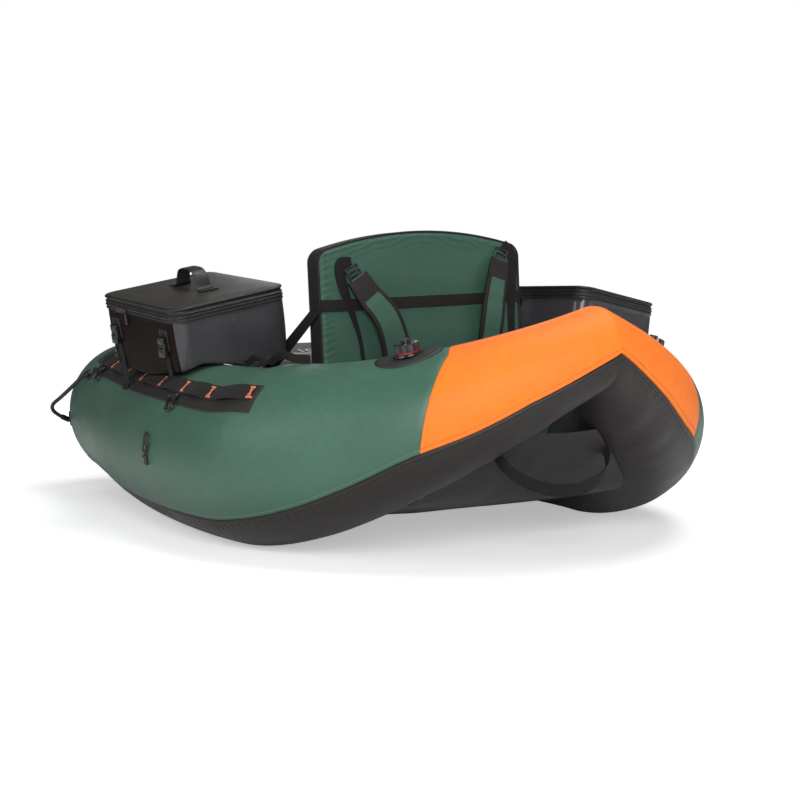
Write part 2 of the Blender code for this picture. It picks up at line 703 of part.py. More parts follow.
def build_lashing(side):
    """The welded strip and the webbing sewn to it in a row of loops."""
    word = SIDE_NAMES[side]
    station = np.linspace(STRIP_START, STRIP_END, STRIP_STEPS + 1)[:, None]
    radius = AXIS.radius(station)
    across = np.linspace(-STRIP_WIDTH / 2, STRIP_WIDTH / 2, STRIP_COLUMNS + 1)
    angle = strip_angle(station, side) + across / radius
    high = STRIP_LIFT + STRIP_THICKNESS
    outer = side_points(AXIS.skin(station, angle, high), side)
    inner = side_points(AXIS.skin(station, angle, STRIP_LIFT), side)
    shell(f"{word}_lash_strip", outer, inner, "black_rubber")
    stations, rises = [WEBBING_TACKS[0]], [0.0]
    for start, end in zip(WEBBING_TACKS, WEBBING_TACKS[1:]):
        for k in range(1, WEBBING_STEPS_PER_LOOP + 1):
            share = k / WEBBING_STEPS_PER_LOOP
            stations.append(start + (end - start) * share)
            rises.append(WEBBING_LOOP_RISE * math.sin(math.pi * share) ** 2)
    station = np.array(stations)[:, None]
    across = np.linspace(-WEBBING_WIDTH / 2, WEBBING_WIDTH / 2, 3) + WEBBING_OFFSET
    angle = strip_angle(station, side) + across / AXIS.radius(station)
    low = high + WEBBING_LIFT + np.array(rises)[:, None]
    outer = side_points(AXIS.skin(station, angle, low + WEBBING_THICKNESS), side)
    inner = side_points(AXIS.skin(station, angle, low), side)
    shell(f"{word}_lash_webbing", outer, inner, "black_webbing")


def cord(name, route, radius, count, side):
    """A cord along a smooth curve through its route, as a filled tube."""
    points = catmull_rom(side_points(route, side), np.linspace(0, 1, count))
    curve = bpy.data.curves.new(name, "CURVE")
    curve.dimensions = "3D"
    curve.bevel_depth = radius
    curve.bevel_resolution = 2
    curve.use_fill_caps = True
    spline = curve.splines.new("POLY")
    spline.points.add(count - 1)
    for knot, point in zip(spline.points, points):
        knot.co = (*point, 1)
    place(bpy.data.objects.new(name, curve), "black_rope", None)


def build_cords(side):
    """The rope handle at the front end, and the tether loop on the side with the tab that holds it."""
    word = SIDE_NAMES[side]
    cord(f"{word}_rope_handle", ROPE_ROUTE, ROPE_RADIUS, ROPE_POINTS, side)
    cord(f"{word}_tether_loop", LOOP_ROUTE, LOOP_RADIUS, LOOP_POINTS, side)
    frame = empty(f"{word}_tether_place", frame_on_skin(side, LOOP_TAB_STATION, LOOP_TAB_ANGLE))
    half, deep = LOOP_TAB_WIDTH / 2, LOOP_TAB_THICKNESS
    rings = []
    for share, height in ((1.0, GAP), (1.0, deep * 0.5), (0.7, deep)):
        corners = [(-half * share, -half * share), (half * share, -half * share),
                   (half * share, half * share), (-half * share, half * share)]
        tall = LOOP_TAB_HEIGHT / LOOP_TAB_WIDTH
        rings.append([(x * tall, y, height) for x, y in corners])
    loft(f"{word}_tether_tab", rings, "black_plastic", frame)


def sheet_between_tubes(name, rows, columns, finish, lift, thickness, parent=None):
    """A panel that spans the tubes: each row gives its place along, its height and its sag in the middle."""
    outer, inner = [], []
    across = np.linspace(-1, 1, columns + 1)
    slopes = np.gradient([row[1] for row in rows]) / np.gradient([row[0] for row in rows])
    for (y, height, sag), slope in zip(rows, slopes):
        half = min(AXIS.inner_half_width(y, z, lift) for z in (height, height - 2 * thickness))
        x = across * half
        z = height - sag * (1 - across**2)
        normal = np.array([0.0, -slope, 1.0]) / math.hypot(slope, 1)
        upper = np.stack([x, np.full_like(x, y), z], -1)
        outer.append(upper)
        inner.append(upper - normal * thickness)
    return shell(name, np.array(outer), np.array(inner), finish, parent)


def build_hull_panel():
    """The fabric that closes the tail between the tubes, its rear hem, and the webbing handle under it."""
    rows = [(y, z, HULL_SAG) for y, z in HULL_PROFILE]
    lift = HULL_LIFT
    sheet_between_tubes("hull_panel", rows, HULL_COLUMNS, "black_fabric", lift, HULL_THICKNESS)
    (y_low, z_low), (y_high, z_high) = HULL_PROFILE[HANDLE_END_ROW:HANDLE_END_ROW + 2]
    length = math.hypot(y_high - y_low, z_high - z_low)
    back = np.array([0.0, z_low - z_high, y_high - y_low]) / length
    down = np.array([0.0, y_low - y_high, z_low - z_high]) / length
    y_end = y_low + (y_high - y_low) * HANDLE_END_SHARE
    z_end = z_low + (z_high - z_low) * HANDLE_END_SHARE
    reach = AXIS.inner_half_width(y_end, z_end, lift) * HANDLE_HALF_SPAN_SHARE
    foot = np.array([0.0, y_end, z_end]) + back * (HULL_THICKNESS + 2 * GAP)
    fall = np.array([0.0, -HANDLE_REACH, -HANDLE_DROP])
    centres, sideways = [], []
    for share in np.linspace(-1, 1, HANDLE_STEPS + 1):
        slack = HULL_SAG * (1 - (share * HANDLE_HALF_SPAN_SHARE) ** 2)
        arch = math.sqrt(1 - share**2)
        centres.append(foot + fall * arch + np.array([share * reach, 0.0, -slack]))
        sideways.append(down + back * (1 - share**2) / 2)
    ribbon("carry_handle", centres, sideways, HANDLE_WIDTH, HANDLE_THICKNESS, "black_webbing")


def rounded_rectangle(half_x, half_y, corner, steps, extra=0):
    """Corners of a rectangle with round corners, anticlockwise, with extra points along its sides."""
    points = []
    for quarter, (sx, sy) in enumerate(((1, 1), (-1, 1), (-1, -1), (1, -1))):
        for k in range(steps + 1):
            turn = math.pi / 2 * (quarter + k / steps)
            points.append((sx * (half_x - corner) + corner * math.cos(turn),
                           sy * (half_y - corner) + corner * math.sin(turn)))
        start = np.array(points[-1])
        sx, sy = ((-1, 1), (-1, -1), (1, -1), (1, 1))[quarter]
        turn = math.pi / 2 * (quarter + 1)
        end = np.array([sx * (half_x - corner) + corner * math.cos(turn),
                        sy * (half_y - corner) + corner * math.sin(turn)])
        points += [tuple(start + (end - start) * (k + 1) / (extra + 1)) for k in range(extra)]
    return points


def build_seat():
    """The panel that hangs between the tubes and the crowned cushion on it, with its sewn channels."""
    rows = [(y, SEAT_HEIGHT, 0.0) for y in np.linspace(SEAT_REAR, SEAT_FRONT, SEAT_ROWS + 1)]
    sheet_between_tubes("seat_panel", rows, 2, "black_fabric", SEAT_LIFT, SEAT_PANEL_THICKNESS)
    front_of_back = BACK_REAR + BACK_THICKNESS + BACK_CROWN + 4 * BINDING_THICKNESS
    place_at = np.array([0.0, front_of_back + CUSHION_DEPTH / 2, SEAT_HEIGHT + GAP])
    side = np.linspace(-1, 1, CUSHION_STEPS + 1)
    u, v = np.meshgrid(side, side, indexing="ij")
    draw = CUSHION_CORNER * (1 - math.sqrt(0.5))
    x = u * (CUSHION_WIDTH / 2 - draw * v**4 * u**2)
    y = v * (CUSHION_DEPTH / 2 - draw * u**4 * v**2)
    roundness = 1 - np.sqrt((1 - np.abs(u) ** 6) * (1 - np.abs(v) ** 6))
    crown = CUSHION_CROWN * (1 - u**2) * (1 - v**2)
    channel = CUSHION_CHANNEL * channel_share(u) * (1 - v**4)
    top = CUSHION_EDGE_THICKNESS + crown - channel - CUSHION_EDGE_ROUND * roundness
    bottom = CUSHION_EDGE_ROUND * 0.6 * roundness
    upper = np.stack([x, y, top], -1) + place_at
    lower = np.stack([x, y, bottom], -1) + place_at
    cushion("seat_cushion", upper, lower, CUSHION_WAIST, "black_fabric")


def channel_share(u):
    """Depth of the sewn channels across the width, full on one line of the grid each."""
    depth = np.zeros_like(u)
    for k in range(CUSHION_CHANNELS):
        line = -1 + 2 * (k + 1) / (CUSHION_CHANNELS + 1)
        depth += np.clip(1 - np.abs(u - line) * CUSHION_STEPS / 2, 0, 1)
    return depth


def cushion(name, upper, lower, waist, finish, parent=None):
    """A soft block between two grids, whose sides have one more ring that draws in."""
    rows, columns = upper.shape[:2]
    count = rows * columns
    faces = grid_triangles(rows, columns) + grid_triangles(rows, columns, count, True)
    rim = [j for j in range(columns)] + [i * columns + columns - 1 for i in range(1, rows)]
    rim += [(rows - 1) * columns + j for j in range(columns - 2, -1, -1)]
    rim += [i * columns for i in range(rows - 2, 0, -1)]
    top, bottom = upper.reshape(-1, 3), lower.reshape(-1, 3)
    centre = (top.mean(axis=0) + bottom.mean(axis=0)) / 2
    middle = (top[rim] + bottom[rim]) / 2
    spoke = middle - centre
    spoke[:, 2] = 0
    reach = np.linalg.norm(spoke, axis=1)
    farthest = np.abs(spoke).max(axis=0)
    along = np.max(np.abs(spoke[:, :2]) / farthest[:2], axis=1)
    cornering = np.min(np.abs(spoke[:, :2]) / farthest[:2], axis=1) / along
    middle = middle - spoke / reach[:, None] * (waist * (1 - cornering**2))[:, None]
    ring = range(len(rim))
    for k in ring:
        a, b = rim[k], rim[(k + 1) % len(rim)]
        c, d = 2 * count + k, 2 * count + (k + 1) % len(rim)
        faces += [(a, b, d), (a, d, c), (c, d, b + count), (c, b + count, a + count)]
    return solid(name, np.concatenate([top, bottom, middle]), faces, finish, parent, 50)


def back_outline():
    """The backrest's outline from its fold axis, clockwise from the lower left: (across, up) pairs."""
    half = BACK_WIDTH / 2
    low, side_top = BACK_BOTTOM - BACK_PIVOT_HEIGHT, BACK_SIDE_TOP - BACK_PIVOT_HEIGHT
    crown = BACK_MIDDLE_TOP - BACK_SIDE_TOP
    foot, corner = BACK_FOOT_CORNER, BACK_CORNER
    right = []
    for k in range(BACK_EDGE_STEPS // 2 + 1):
        x = (half - corner) * k / (BACK_EDGE_STEPS // 2)
        right.append((x, side_top + crown * (1 - (x / half) ** 2)))
    end = right[-1][1]
    for k in (1, 2, 3):
        turn = math.pi / 2 * k / 3
        right.append((half - corner + corner * math.sin(turn), end - corner + corner * math.cos(turn)))
    right.append((half, (end + low) / 2))
    for k in (0, 1, 2, 3):
        turn = math.pi / 2 * k / 3
        right.append((half - foot + foot * math.cos(turn), low + foot - foot * math.sin(turn)))
    right.append((0.0, low))
    left = [(-x, z) for x, z in right[-2:0:-1]]
    return right + left


def offset_outline(outline, distance):
    """The outline moved outwards by a distance, corner by corner."""
    points = np.array(outline)
    before, after = np.roll(points, 1, axis=0), np.roll(points, -1, axis=0)
    one, two = points - before, after - points
    one = one / np.linalg.norm(one, axis=1)[:, None]
    two = two / np.linalg.norm(two, axis=1)[:, None]
    bisector = np.stack([-(one + two)[:, 1], (one + two)[:, 0]], -1)
    bisector = bisector / np.linalg.norm(bisector, axis=1)[:, None]
    stretch = 1 / np.sqrt((1 + (one * two).sum(axis=1)) / 2)
    return points + bisector * (distance * stretch)[:, None]


def build_backrest():
    """The padded backrest: a crowned pad, the binding round its edge, the band, and two shoulder straps."""
    lean = Matrix.Rotation(math.radians(-BACK_LEAN_TO_SIDE), 4, "Y")
    front = BACK_REAR + BACK_THICKNESS
    axis = empty("backrest_fold_axis", Matrix.Translation((BACK_OFFSET, front, BACK_PIVOT_HEIGHT)) @ lean)
    outline = back_outline()
    count = len(outline)
    centre = (0.0, (BACK_MIDDLE_TOP + BACK_BOTTOM) / 2 - BACK_PIVOT_HEIGHT)
    rings = []
    back_y, front_y = -BACK_THICKNESS, 0.0
    for share, y in ((0.5, back_y), (1 - 3 * BACK_ROUND / BACK_WIDTH, back_y), (1.0, back_y + BACK_ROUND),
                     (1.0, front_y - BACK_ROUND), (1 - 3 * BACK_ROUND / BACK_WIDTH, front_y),
                     (0.8, front_y + BACK_CROWN * 0.6), (0.5, front_y + BACK_CROWN)):
        rings.append([(centre[0] + (x - centre[0]) * share, y, centre[1] + (z - centre[1]) * share)
                      for x, z in outline])
    loft("backrest_pad", rings, "green_fabric", axis, 50)
    edge_in = offset_outline(outline, GAP)
    edge_out = offset_outline(outline, GAP + BINDING_THICKNESS)
    low, high = back_y + BACK_ROUND, front_y - BACK_ROUND
    points, faces = [], []
    for ring, y in ((edge_out, low), (edge_out, high), (edge_in, high), (edge_in, low)):
        points += [(x, y, z) for x, z in ring]
    for i in range(4):
        for j in range(count):
            k, n = (j + 1) % count, (i + 1) % 4
            faces.append((i * count + j, i * count + k, n * count + k, n * count + j))
    solid("backrest_gusset", points, faces, "black_fabric", axis)
    rear = back_y - GAP
    half = BACK_WIDTH / 2
    band_z = BAND_HEIGHT - BACK_PIVOT_HEIGHT
    ribbon("backrest_band", [(x, rear, band_z) for x in np.linspace(half, -half, 5)],
           [(0, 0, 1)] * 5, BAND_WIDTH, BAND_THICKNESS, "black_webbing", axis)
    for side in (LEFT, RIGHT):
        build_shoulder_strap(side, axis, rear)
    return axis


def build_shoulder_strap(side, axis, rear):
    """A padded strap bowed off the rear face, its ladder lock and the webbing through it."""
    word = SIDE_NAMES[side]
    route = np.array(PAD_ROUTE_SHARES[side]) * BACK_FACE_REACH
    share = np.linspace(0, 1, 9)
    places = catmull_rom(route, share)
    widths = catmull_rom(PAD_WIDTH_SHARES[side], share) * BACK_WIDTH
    clear = rear - BAND_THICKNESS - GAP
    stacked = BAND_THICKNESS + STRAP_WEBBING_THICKNESS + 2 * GAP
    bow = stacked * (1 - share) + PAD_BOW * np.sin(math.pi * share)
    centres = np.stack([places[:, 0], rear - bow, places[:, 1]], -1)
    along = np.gradient(places, axis=0)
    sideways = np.stack([-along[:, 1], 0 * share, along[:, 0]], -1)
    ribbon(f"{word}_shoulder_pad", centres, -sideways, widths, PAD_THICKNESS, "green_fabric", axis)
    ahead = (places[1] - places[0]) / np.linalg.norm(places[1] - places[0])
    lock_at = places[0] - ahead * (LOCK_HEIGHT / 2 + 8 * GAP)
    lock_y = clear - STRAP_WEBBING_THICKNESS - GAP
    tilt = math.atan2(ahead[0], -ahead[1])
    spot = empty(f"{word}_lock_place", Matrix.Translation((lock_at[0], lock_y, lock_at[1]))
                 @ Matrix.Rotation(-tilt, 4, "Y"), axis)
    slotted_plate(f"{word}_shoulder_lock", LOCK_WIDTH, LOCK_HEIGHT, LOCK_BAR, LOCK_THICKNESS,
                  "black_plastic", spot)
    tail = catmull_rom(np.array(TAIL_ROUTE_SHARES[side]) * BACK_FACE_REACH, np.linspace(0, 1, 11))
    run = np.gradient(tail, axis=0)
    sideways = np.stack([run[:, 1], 0 * run[:, 0], -run[:, 0]], -1)
    centres = np.stack([tail[:, 0], np.full(len(tail), clear), tail[:, 1]], -1)
    ribbon(f"{word}_shoulder_webbing", centres, sideways, STRAP_WEBBING_WIDTH, STRAP_WEBBING_THICKNESS,
           "black_webbing", axis)


def build_stays(axis):
    """The straps from the ends of the backrest's band down to the tubes' inner sides."""
    bpy.context.view_layer.update()
    for side in (LEFT, RIGHT):
        beyond = side * (BACK_WIDTH / 2 + BINDING_THICKNESS + STAY_CLEARANCE)
        start = np.array(axis.matrix_world @ Vector((beyond, -BACK_THICKNESS, BAND_HEIGHT - BACK_PIVOT_HEIGHT)))
        angle = math.radians(STAY_ANCHOR_ANGLE)
        station = AXIS.station_at(BACK_REAR + STAY_ANCHOR_AHEAD_LENGTHS[side])
        anchor = side_points(AXIS.skin(station, angle, APRON_LIFT), side)
        normal = side_points(AXIS.skin(station, angle, APRON_LIFT + TUBE_RADIUS), side) - anchor
        normal = normal / np.linalg.norm(normal)
        down = (anchor - start) / np.linalg.norm(anchor - start)
        lying = down - normal * np.dot(down, normal)
        lying = lying / np.linalg.norm(lying)
        last = anchor + lying * STAY_ANCHOR_RUN
        centres = [start + (anchor - start) * share for share in (0, 0.3, 0.6, 0.9)] + [anchor, last]
        first_across = np.cross(down, (-side, 0, 0))
        last_across = np.cross(lying, normal)
        across = [first_across + (last_across - first_across) * share for share in (0, 0.3, 0.6, 0.9, 1, 1)]
        ribbon(f"{SIDE_NAMES[side]}_back_stay", centres, across, BAND_WIDTH, STAY_THICKNESS, "black_webbing")


def build_apron():
    """The lap apron: it lies over the crowns of both tubes and hangs a little between them."""
    rows = []
    for y in np.linspace(APRON_REAR, APRON_FRONT, APRON_ROWS + 1):
        station = AXIS.station_at(y)
        angles = np.radians(np.linspace(APRON_EDGE_ANGLE, APRON_LEAVE_ANGLE, APRON_WRAP_STEPS + 1))
        wrap = AXIS.skin(station, angles, APRON_LIFT)
        wrap[:, 1] = y
        reach, height = -wrap[-1, 0], wrap[-1, 2]
        sag = reach * math.tan(math.radians(APRON_LEAVE_ANGLE - 90)) / 2
        across = np.linspace(-1, 1, APRON_SPAN_STEPS + 1)[1:-1]
        span = np.stack([across * reach, 0 * across + y, height - sag * (1 - across**2)], -1)
        rows.append(np.concatenate([wrap, span, side_points(wrap[::-1], RIGHT)]))
    lower = np.array(rows)
    upper = lower + np.array([0.0, 0.0, APRON_THICKNESS])
    first, last = upper[0, 0], upper[-1, 0]
    along = Vector(last - first).normalized()
    up = Vector((0, 0, 1))
    across = along.cross(up).normalized()
    turn = Matrix((across, along, across.cross(along))).transposed().to_4x4()
    frame = Matrix.Translation(Vector(first)) @ turn
    axis = empty("apron_fold_axis", frame)
    shell("lap_apron", into_frame(upper, frame), into_frame(lower, frame), "apron_cloth", axis)


def into_frame(points, frame):
    """Points in the part's axes, given in the axes of a frame."""
    back = np.array(frame.inverted())
    return points @ back[:3, :3].T + back[:3, 3]


def out_of_frame(points, frame):
    """Points in the axes of a frame, given in the part's axes."""
    forth = np.array(frame)
    return np.asarray(points) @ forth[:3, :3].T + forth[:3, 3]


class Bag:
    """A zipped cool bag strapped on a tube: its body, its lid with a webbing handle, and two outer straps."""

    def __init__(self, side):
        self.side = side
        self.word = SIDE_NAMES[side]
        turn = Matrix.Rotation(math.radians(BAG_YAWS[side]), 4, "Z")
        lean = Matrix.Rotation(math.radians(BAG_LEANS[side]) * side, 4, "Y")
        pitch = Matrix.Rotation(math.radians(BAG_PITCHES[side]), 4, "X")
        middle = AXIS.centre(AXIS.station_at(BAG_AHEAD_LENGTHS[side]))[0]
        rise = TUBE_RADIUS + BAG_RISE_LENGTHS[side]
        place = side_points(middle + np.array([BAG_INWARD_LENGTHS[side], 0.0, rise]), side)
        self.matrix = Matrix.Translation(Vector(place)) @ turn @ lean @ pitch
        self.frame = empty(f"{self.word}_bag_place", self.matrix)

    def outline(self, inset, extra):
        """The plan outline drawn in by an inset, or let out by a negative one."""
        corner = BAG_CORNER - inset
        points = rounded_rectangle(BAG_WIDTH / 2 - inset, BAG_DEPTH / 2 - inset, corner, BAG_CORNER_STEPS, extra)
        return np.array(points)

    def rest(self, plan):
        """Heights at which the base, at these plan points, lies on the tube, or hangs free beside it."""
        low = np.full(len(plan), -TUBE_RADIUS / 2)
        high = np.full(len(plan), BAG_BODY_HEIGHT / 2)
        outward = plan[:, 0] / (BAG_WIDTH / 2)
        lift = BAG_BASE_LIFT + BAG_STRIP_RISE * np.clip((outward - 0.3) / 0.3, 0, 1)
        for _ in range(24):
            middle = (low + high) / 2
            points = np.stack([plan[:, 0] * self.side, plan[:, 1], middle], -1)
            clear = AXIS.clearance(side_points(out_of_frame(points, self.matrix), self.side)) > lift
            low, high = np.where(clear, low, middle), np.where(clear, middle, high)
        return np.maximum(high, -BAG_SAG)

    def ring(self, plan, heights):
        heights = np.broadcast_to(heights, (len(plan),))
        return np.stack([plan[:, 0] * self.side, plan[:, 1], heights], -1)

    def build_body(self):
        foot = self.outline(BAG_FOOT_ROUND + BAG_TAPER, 3)
        side_low = self.outline(BAG_TAPER, 3)
        inner_low = self.outline(BAG_FOOT_ROUND + BAG_TAPER + BAG_WALL, 3)
        rings = [self.ring(foot * share, self.rest(foot * share)) for share in (0.35, 0.7, 1.0)]
        top = BAG_BODY_HEIGHT
        rings.append(self.ring(side_low, self.rest(side_low) + BAG_FOOT_ROUND))
        ridge = top - BAG_RIDGE_HEIGHT
        for inset, height in ((0, ridge - BAG_RIDGE), (-BAG_RIDGE, ridge), (-BAG_RIDGE, top), (BAG_WALL, top)):
            rings.append(self.ring(self.outline(inset, 3), height))
        for share in (1.0, 0.7, 0.35):
            rings.append(self.ring(inner_low * share, self.rest(inner_low * share) + BAG_WALL))
        loft(f"{self.word}_bag_body", rings, "bag_film", self.frame, 30)

    def lid_top(self, share):
        """Height of the lid's crowned top, at a share of the way out from its middle."""
        return BAG_BODY_HEIGHT + GAP + BAG_LID_HEIGHT + BAG_LID_CROWN * (1 - share**2)

    def build_lid(self):
        low = BAG_BODY_HEIGHT + GAP
        hinge = Matrix.Translation((0, BAG_DEPTH / 2 + BAG_RIDGE, BAG_BODY_HEIGHT + GAP / 2))
        axis = empty(f"{self.word}_lid_axis", hinge, self.frame)
        shift = np.array(hinge.translation)
        ridge_top = low + BAG_RIDGE_HEIGHT
        bead = low + BAG_LID_HEIGHT - 2 * BAG_RIDGE
        roof = low + BAG_LID_HEIGHT - BAG_WALL
        inner = self.outline(BAG_WALL, 1)
        rings = [self.ring(inner * 0.5, roof), self.ring(inner, roof)]
        for inset, height in (
            (BAG_WALL, low), (-BAG_RIDGE, low), (-BAG_RIDGE, ridge_top), (0, ridge_top + BAG_RIDGE / 2),
            (0, bead - BAG_RIDGE / 2), (-BAG_RIDGE, bead), (-BAG_RIDGE, bead + BAG_RIDGE),
            (0, bead + 2 * BAG_RIDGE),
        ):
            rings.append(self.ring(self.outline(inset, 1), height))
        edge = self.outline(0, 1)
        for share in (0.85, 0.5, 0.2):
            rings.append(self.ring(edge * share, self.lid_top(share)))
        loft(f"{self.word}_bag_lid", [ring - shift for ring in rings], "bag_film", axis, 30)
        self.build_handle(axis, shift)

    def build_handle(self, axis, shift):
        """A webbing arch along the lid, on two wide feet; it stands on one bag and lies down on the other."""
        half, rise, foot = BAG_HANDLE_HALF_SPAN, BAG_HANDLE_RISES[self.side], BAG_HANDLE_FOOT
        legs = [(half + foot / 2, 0), (half - foot / 2, 0)]
        arch_shares = ((0.70, 0.50), (0.52, 0.90), (0.28, 1.0))
        legs += [(half * along_share, rise * rise_share) for along_share, rise_share in arch_shares]
        route = legs + [(-y, up) for y, up in reversed(legs)]
        centres = []
        for y, up in route:
            y -= BAG_HANDLE_BACK
            seat = self.lid_top(abs(y) / (BAG_DEPTH / 2)) + BAG_HANDLE_LIFT
            centres.append((0, y, seat + up))
        feet = [BAG_HANDLE_FOOT_WIDTH] * 2
        widths = feet + [BAG_HANDLE_WIDTH] * (len(route) - 2 * len(feet)) + feet
        across = [(-1, 0, 0)] * len(route)
        ribbon(f"{self.word}_bag_handle", np.array(centres) - shift, across, widths, BAG_HANDLE_THICKNESS,
               "black_webbing", axis)

    def face(self, height):
        """How far out the tapering outer wall is at a height."""
        low, high = BAG_FOOT_ROUND, BAG_BODY_HEIGHT - BAG_RIDGE_HEIGHT - BAG_RIDGE
        share = min(max((height - low) / (high - low), 0), 1)
        return BAG_WIDTH / 2 - BAG_TAPER * (1 - share) + 3 * GAP

    def landing(self, y, lift):
        """Where a strap that runs straight down the outer wall comes within a lift of the tube."""
        low, high = -TUBE_RADIUS, BAG_STRAP_TOP / 2
        out = self.side * self.face(BAG_FOOT_ROUND)
        for _ in range(24):
            middle = (low + high) / 2
            point = out_of_frame(((out, y, middle),), self.matrix)
            clear = AXIS.clearance(side_points(point, self.side))[0] > lift
            low, high = (low, middle) if clear else (middle, high)
        return np.array((out, y, high))

    def build_straps(self):
        """On the outer wall, two straps that run down to the lashing strip, each with a release buckle."""
        inverse = self.matrix.inverted()
        lift = STRIP_LIFT + STRIP_THICKNESS + WEBBING_LIFT + WEBBING_LOOP_RISE + WEBBING_THICKNESS + BAG_STRAP_LIFT
        for word, direction in (("front", 1), ("rear", -1)):
            y = direction * (BAG_DEPTH / 2 - BAG_STRAP_MARGIN)
            landing = self.landing(y, lift)
            heights = (BAG_STRAP_TOP, (BAG_STRAP_TOP + landing[2]) / 2)
            centres = [np.array((self.side * self.face(height), y, height)) for height in heights] + [landing]
            touch = side_points(out_of_frame(landing, self.matrix), self.side)
            station = AXIS.station_at(touch[1])
            centre, _, outward = AXIS.centre(station)
            angle = math.atan2(touch[2] - centre[2], np.dot(touch - centre, outward))
            for share in (0.5, 1.0):
                lower = angle - share * BAG_STRAP_TAIL / AXIS.radius(station)
                point = side_points(AXIS.skin(station, lower, lift), self.side)
                point[1] = side_points(touch, self.side)[1]
                centres.append(np.array(inverse @ Vector(point)))
            across = [(0, -self.side, 0)] * len(centres)
            ribbon(f"{self.word}_bag_strap_{word}", centres, across, BAG_STRAP_WIDTH, BAG_STRAP_THICKNESS,
                   "black_webbing", self.frame)
            self.build_buckle(word, y)

    def build_buckle(self, word, y):
        out = self.face(BUCKLE_HEIGHT + BUCKLE_LENGTH / 2) + BAG_STRAP_THICKNESS + GAP
        sections = ((-0.50, 0.72, 0.60), (-0.36, 1.0, 1.0), (-0.10, 1.0, 1.0), (0.0, 0.76, 0.82), (0.12, 0.96, 1.0),
                    (0.38, 0.96, 1.0), (0.50, 0.66, 0.60))
        rings = []
        for along, width_share, depth_share in sections:
            wide = BUCKLE_WIDTH / 2 * width_share
            deep = BUCKLE_THICKNESS * depth_share
            bevel = deep * 0.3
            corners = ((-wide, 0), (wide, 0), (wide, deep - bevel), (wide - bevel, deep), (bevel - wide, deep),
                       (-wide, deep - bevel))
            z = BUCKLE_HEIGHT + BUCKLE_LENGTH * along
            rings.append([(self.side * (out + depth), y + across, z) for across, depth in corners])
        loft(f"{self.word}_bag_buckle_{word}", rings, "black_plastic", self.frame)

    def build_pull(self):
        """The zip's pull tab, hung from the lower ridge and free to swing out."""
        out = BAG_WIDTH / 2 + BAG_RIDGE + GAP
        top = BAG_BODY_HEIGHT - BAG_RIDGE_HEIGHT / 2
        axis = empty(f"{self.word}_pull_axis", Matrix.Translation((self.side * out, PULL_AHEAD, top)), self.frame)
        rings = []
        for down, width_share in ((0.0, 0.6), (0.15, 0.7), (0.4, 0.7), (0.55, 1.0), (0.9, 1.0), (1.0, 0.6)):
            half = PULL_WIDTH / 2 * width_share
            z = -PULL_LENGTH * down
            depth = self.side * PULL_THICKNESS
            rings.append([(0, -half, z), (0, half, z), (depth, half, z), (depth, -half, z)])
        loft(f"{self.word}_zip_pull", rings, "black_plastic", axis)

    def build(self):
        self.build_body()
        self.build_lid()
        self.build_straps()
        self.build_pull()


def main():
    clear_scene()
    for side in (LEFT, RIGHT):
        build_tube(side)
        build_end_patch(side)
        build_valve(side)
        build_lashing(side)
        build_cords(side)
    build_hull_panel()
    build_seat()
    build_stays(build_backrest())
    build_apron()
    for side in (LEFT, RIGHT):
        Bag(side).build()


main()
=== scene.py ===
"""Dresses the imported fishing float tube: its sewn covers, patches, strips, seat, backrest, apron and bags.

Metres, +Z up, +Y towards the open front, the origin on the floor. The tubes mirror each other in X.
"""

import logging
import math
from dataclasses import dataclass, field
from enum import Enum
from typing import Callable, Optional, Sequence

import bpy
import numpy as np
from mathutils import Matrix, Vector


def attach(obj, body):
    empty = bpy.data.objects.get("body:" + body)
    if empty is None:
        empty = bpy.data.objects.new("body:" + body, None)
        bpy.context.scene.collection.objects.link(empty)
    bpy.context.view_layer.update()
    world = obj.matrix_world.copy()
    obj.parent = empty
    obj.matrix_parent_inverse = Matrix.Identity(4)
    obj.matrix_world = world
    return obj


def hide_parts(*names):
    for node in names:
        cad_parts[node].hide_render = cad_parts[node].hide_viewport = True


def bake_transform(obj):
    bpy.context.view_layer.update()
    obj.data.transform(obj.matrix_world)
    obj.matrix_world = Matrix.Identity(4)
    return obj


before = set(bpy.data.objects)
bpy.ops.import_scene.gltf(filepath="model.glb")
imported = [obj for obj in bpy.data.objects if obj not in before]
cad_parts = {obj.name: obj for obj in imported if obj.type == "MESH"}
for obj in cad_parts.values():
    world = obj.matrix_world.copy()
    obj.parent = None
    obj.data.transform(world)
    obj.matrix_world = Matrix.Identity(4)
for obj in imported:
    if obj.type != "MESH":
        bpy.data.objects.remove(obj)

log = logging.getLogger("float_tube")
Array = np.ndarray
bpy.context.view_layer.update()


class Side(Enum):
    """The two sides of the float tube; the value is the sign of X."""

    LEFT = -1
    RIGHT = 1

    @property
    def word(self) -> str:
        """The side's name in node names."""
        return self.name.lower()

    def mirror(self, points: Array) -> Array:
        """Points modelled for the left side, carried to this side."""
        return np.asarray(points, float) * np.array([-self.value, 1.0, 1.0])


class Socket(Enum):
    """Where a finish reads its pattern from."""

    SURFACE = "UV"
    OBJECT = "Object"


# Numbers along curves


def curve_through(values: Sequence, share: Array) -> Array:
    """A Catmull-Rom curve through evenly spaced values: b + t/2 (c-a + t(2a-5b+4c-d + t(3(b-c)+d-a))).

    Args:
        values: Numbers or points, evenly spaced along the curve.
        share: Places along it, from 0 to 1.

    Returns:
        The curve at those places.
    """
    values = np.asarray(values, float)
    last = len(values) - 1
    ends = 2 * values[:1] - values[1:2], 2 * values[-1:] - values[-2:-1]
    padded = np.concatenate([ends[0], values, ends[1]])
    place = np.clip(share, 0, 1) * last
    index = np.minimum(place.astype(int), last - 1)
    t = place - index
    if values.ndim > 1:
        t = t[..., None]
    a, b, c, d = (padded[index + k] for k in range(4))
    return b + 0.5 * t * (c - a + t * (2 * a - 5 * b + 4 * c - d + t * (3 * (b - c) + d - a)))


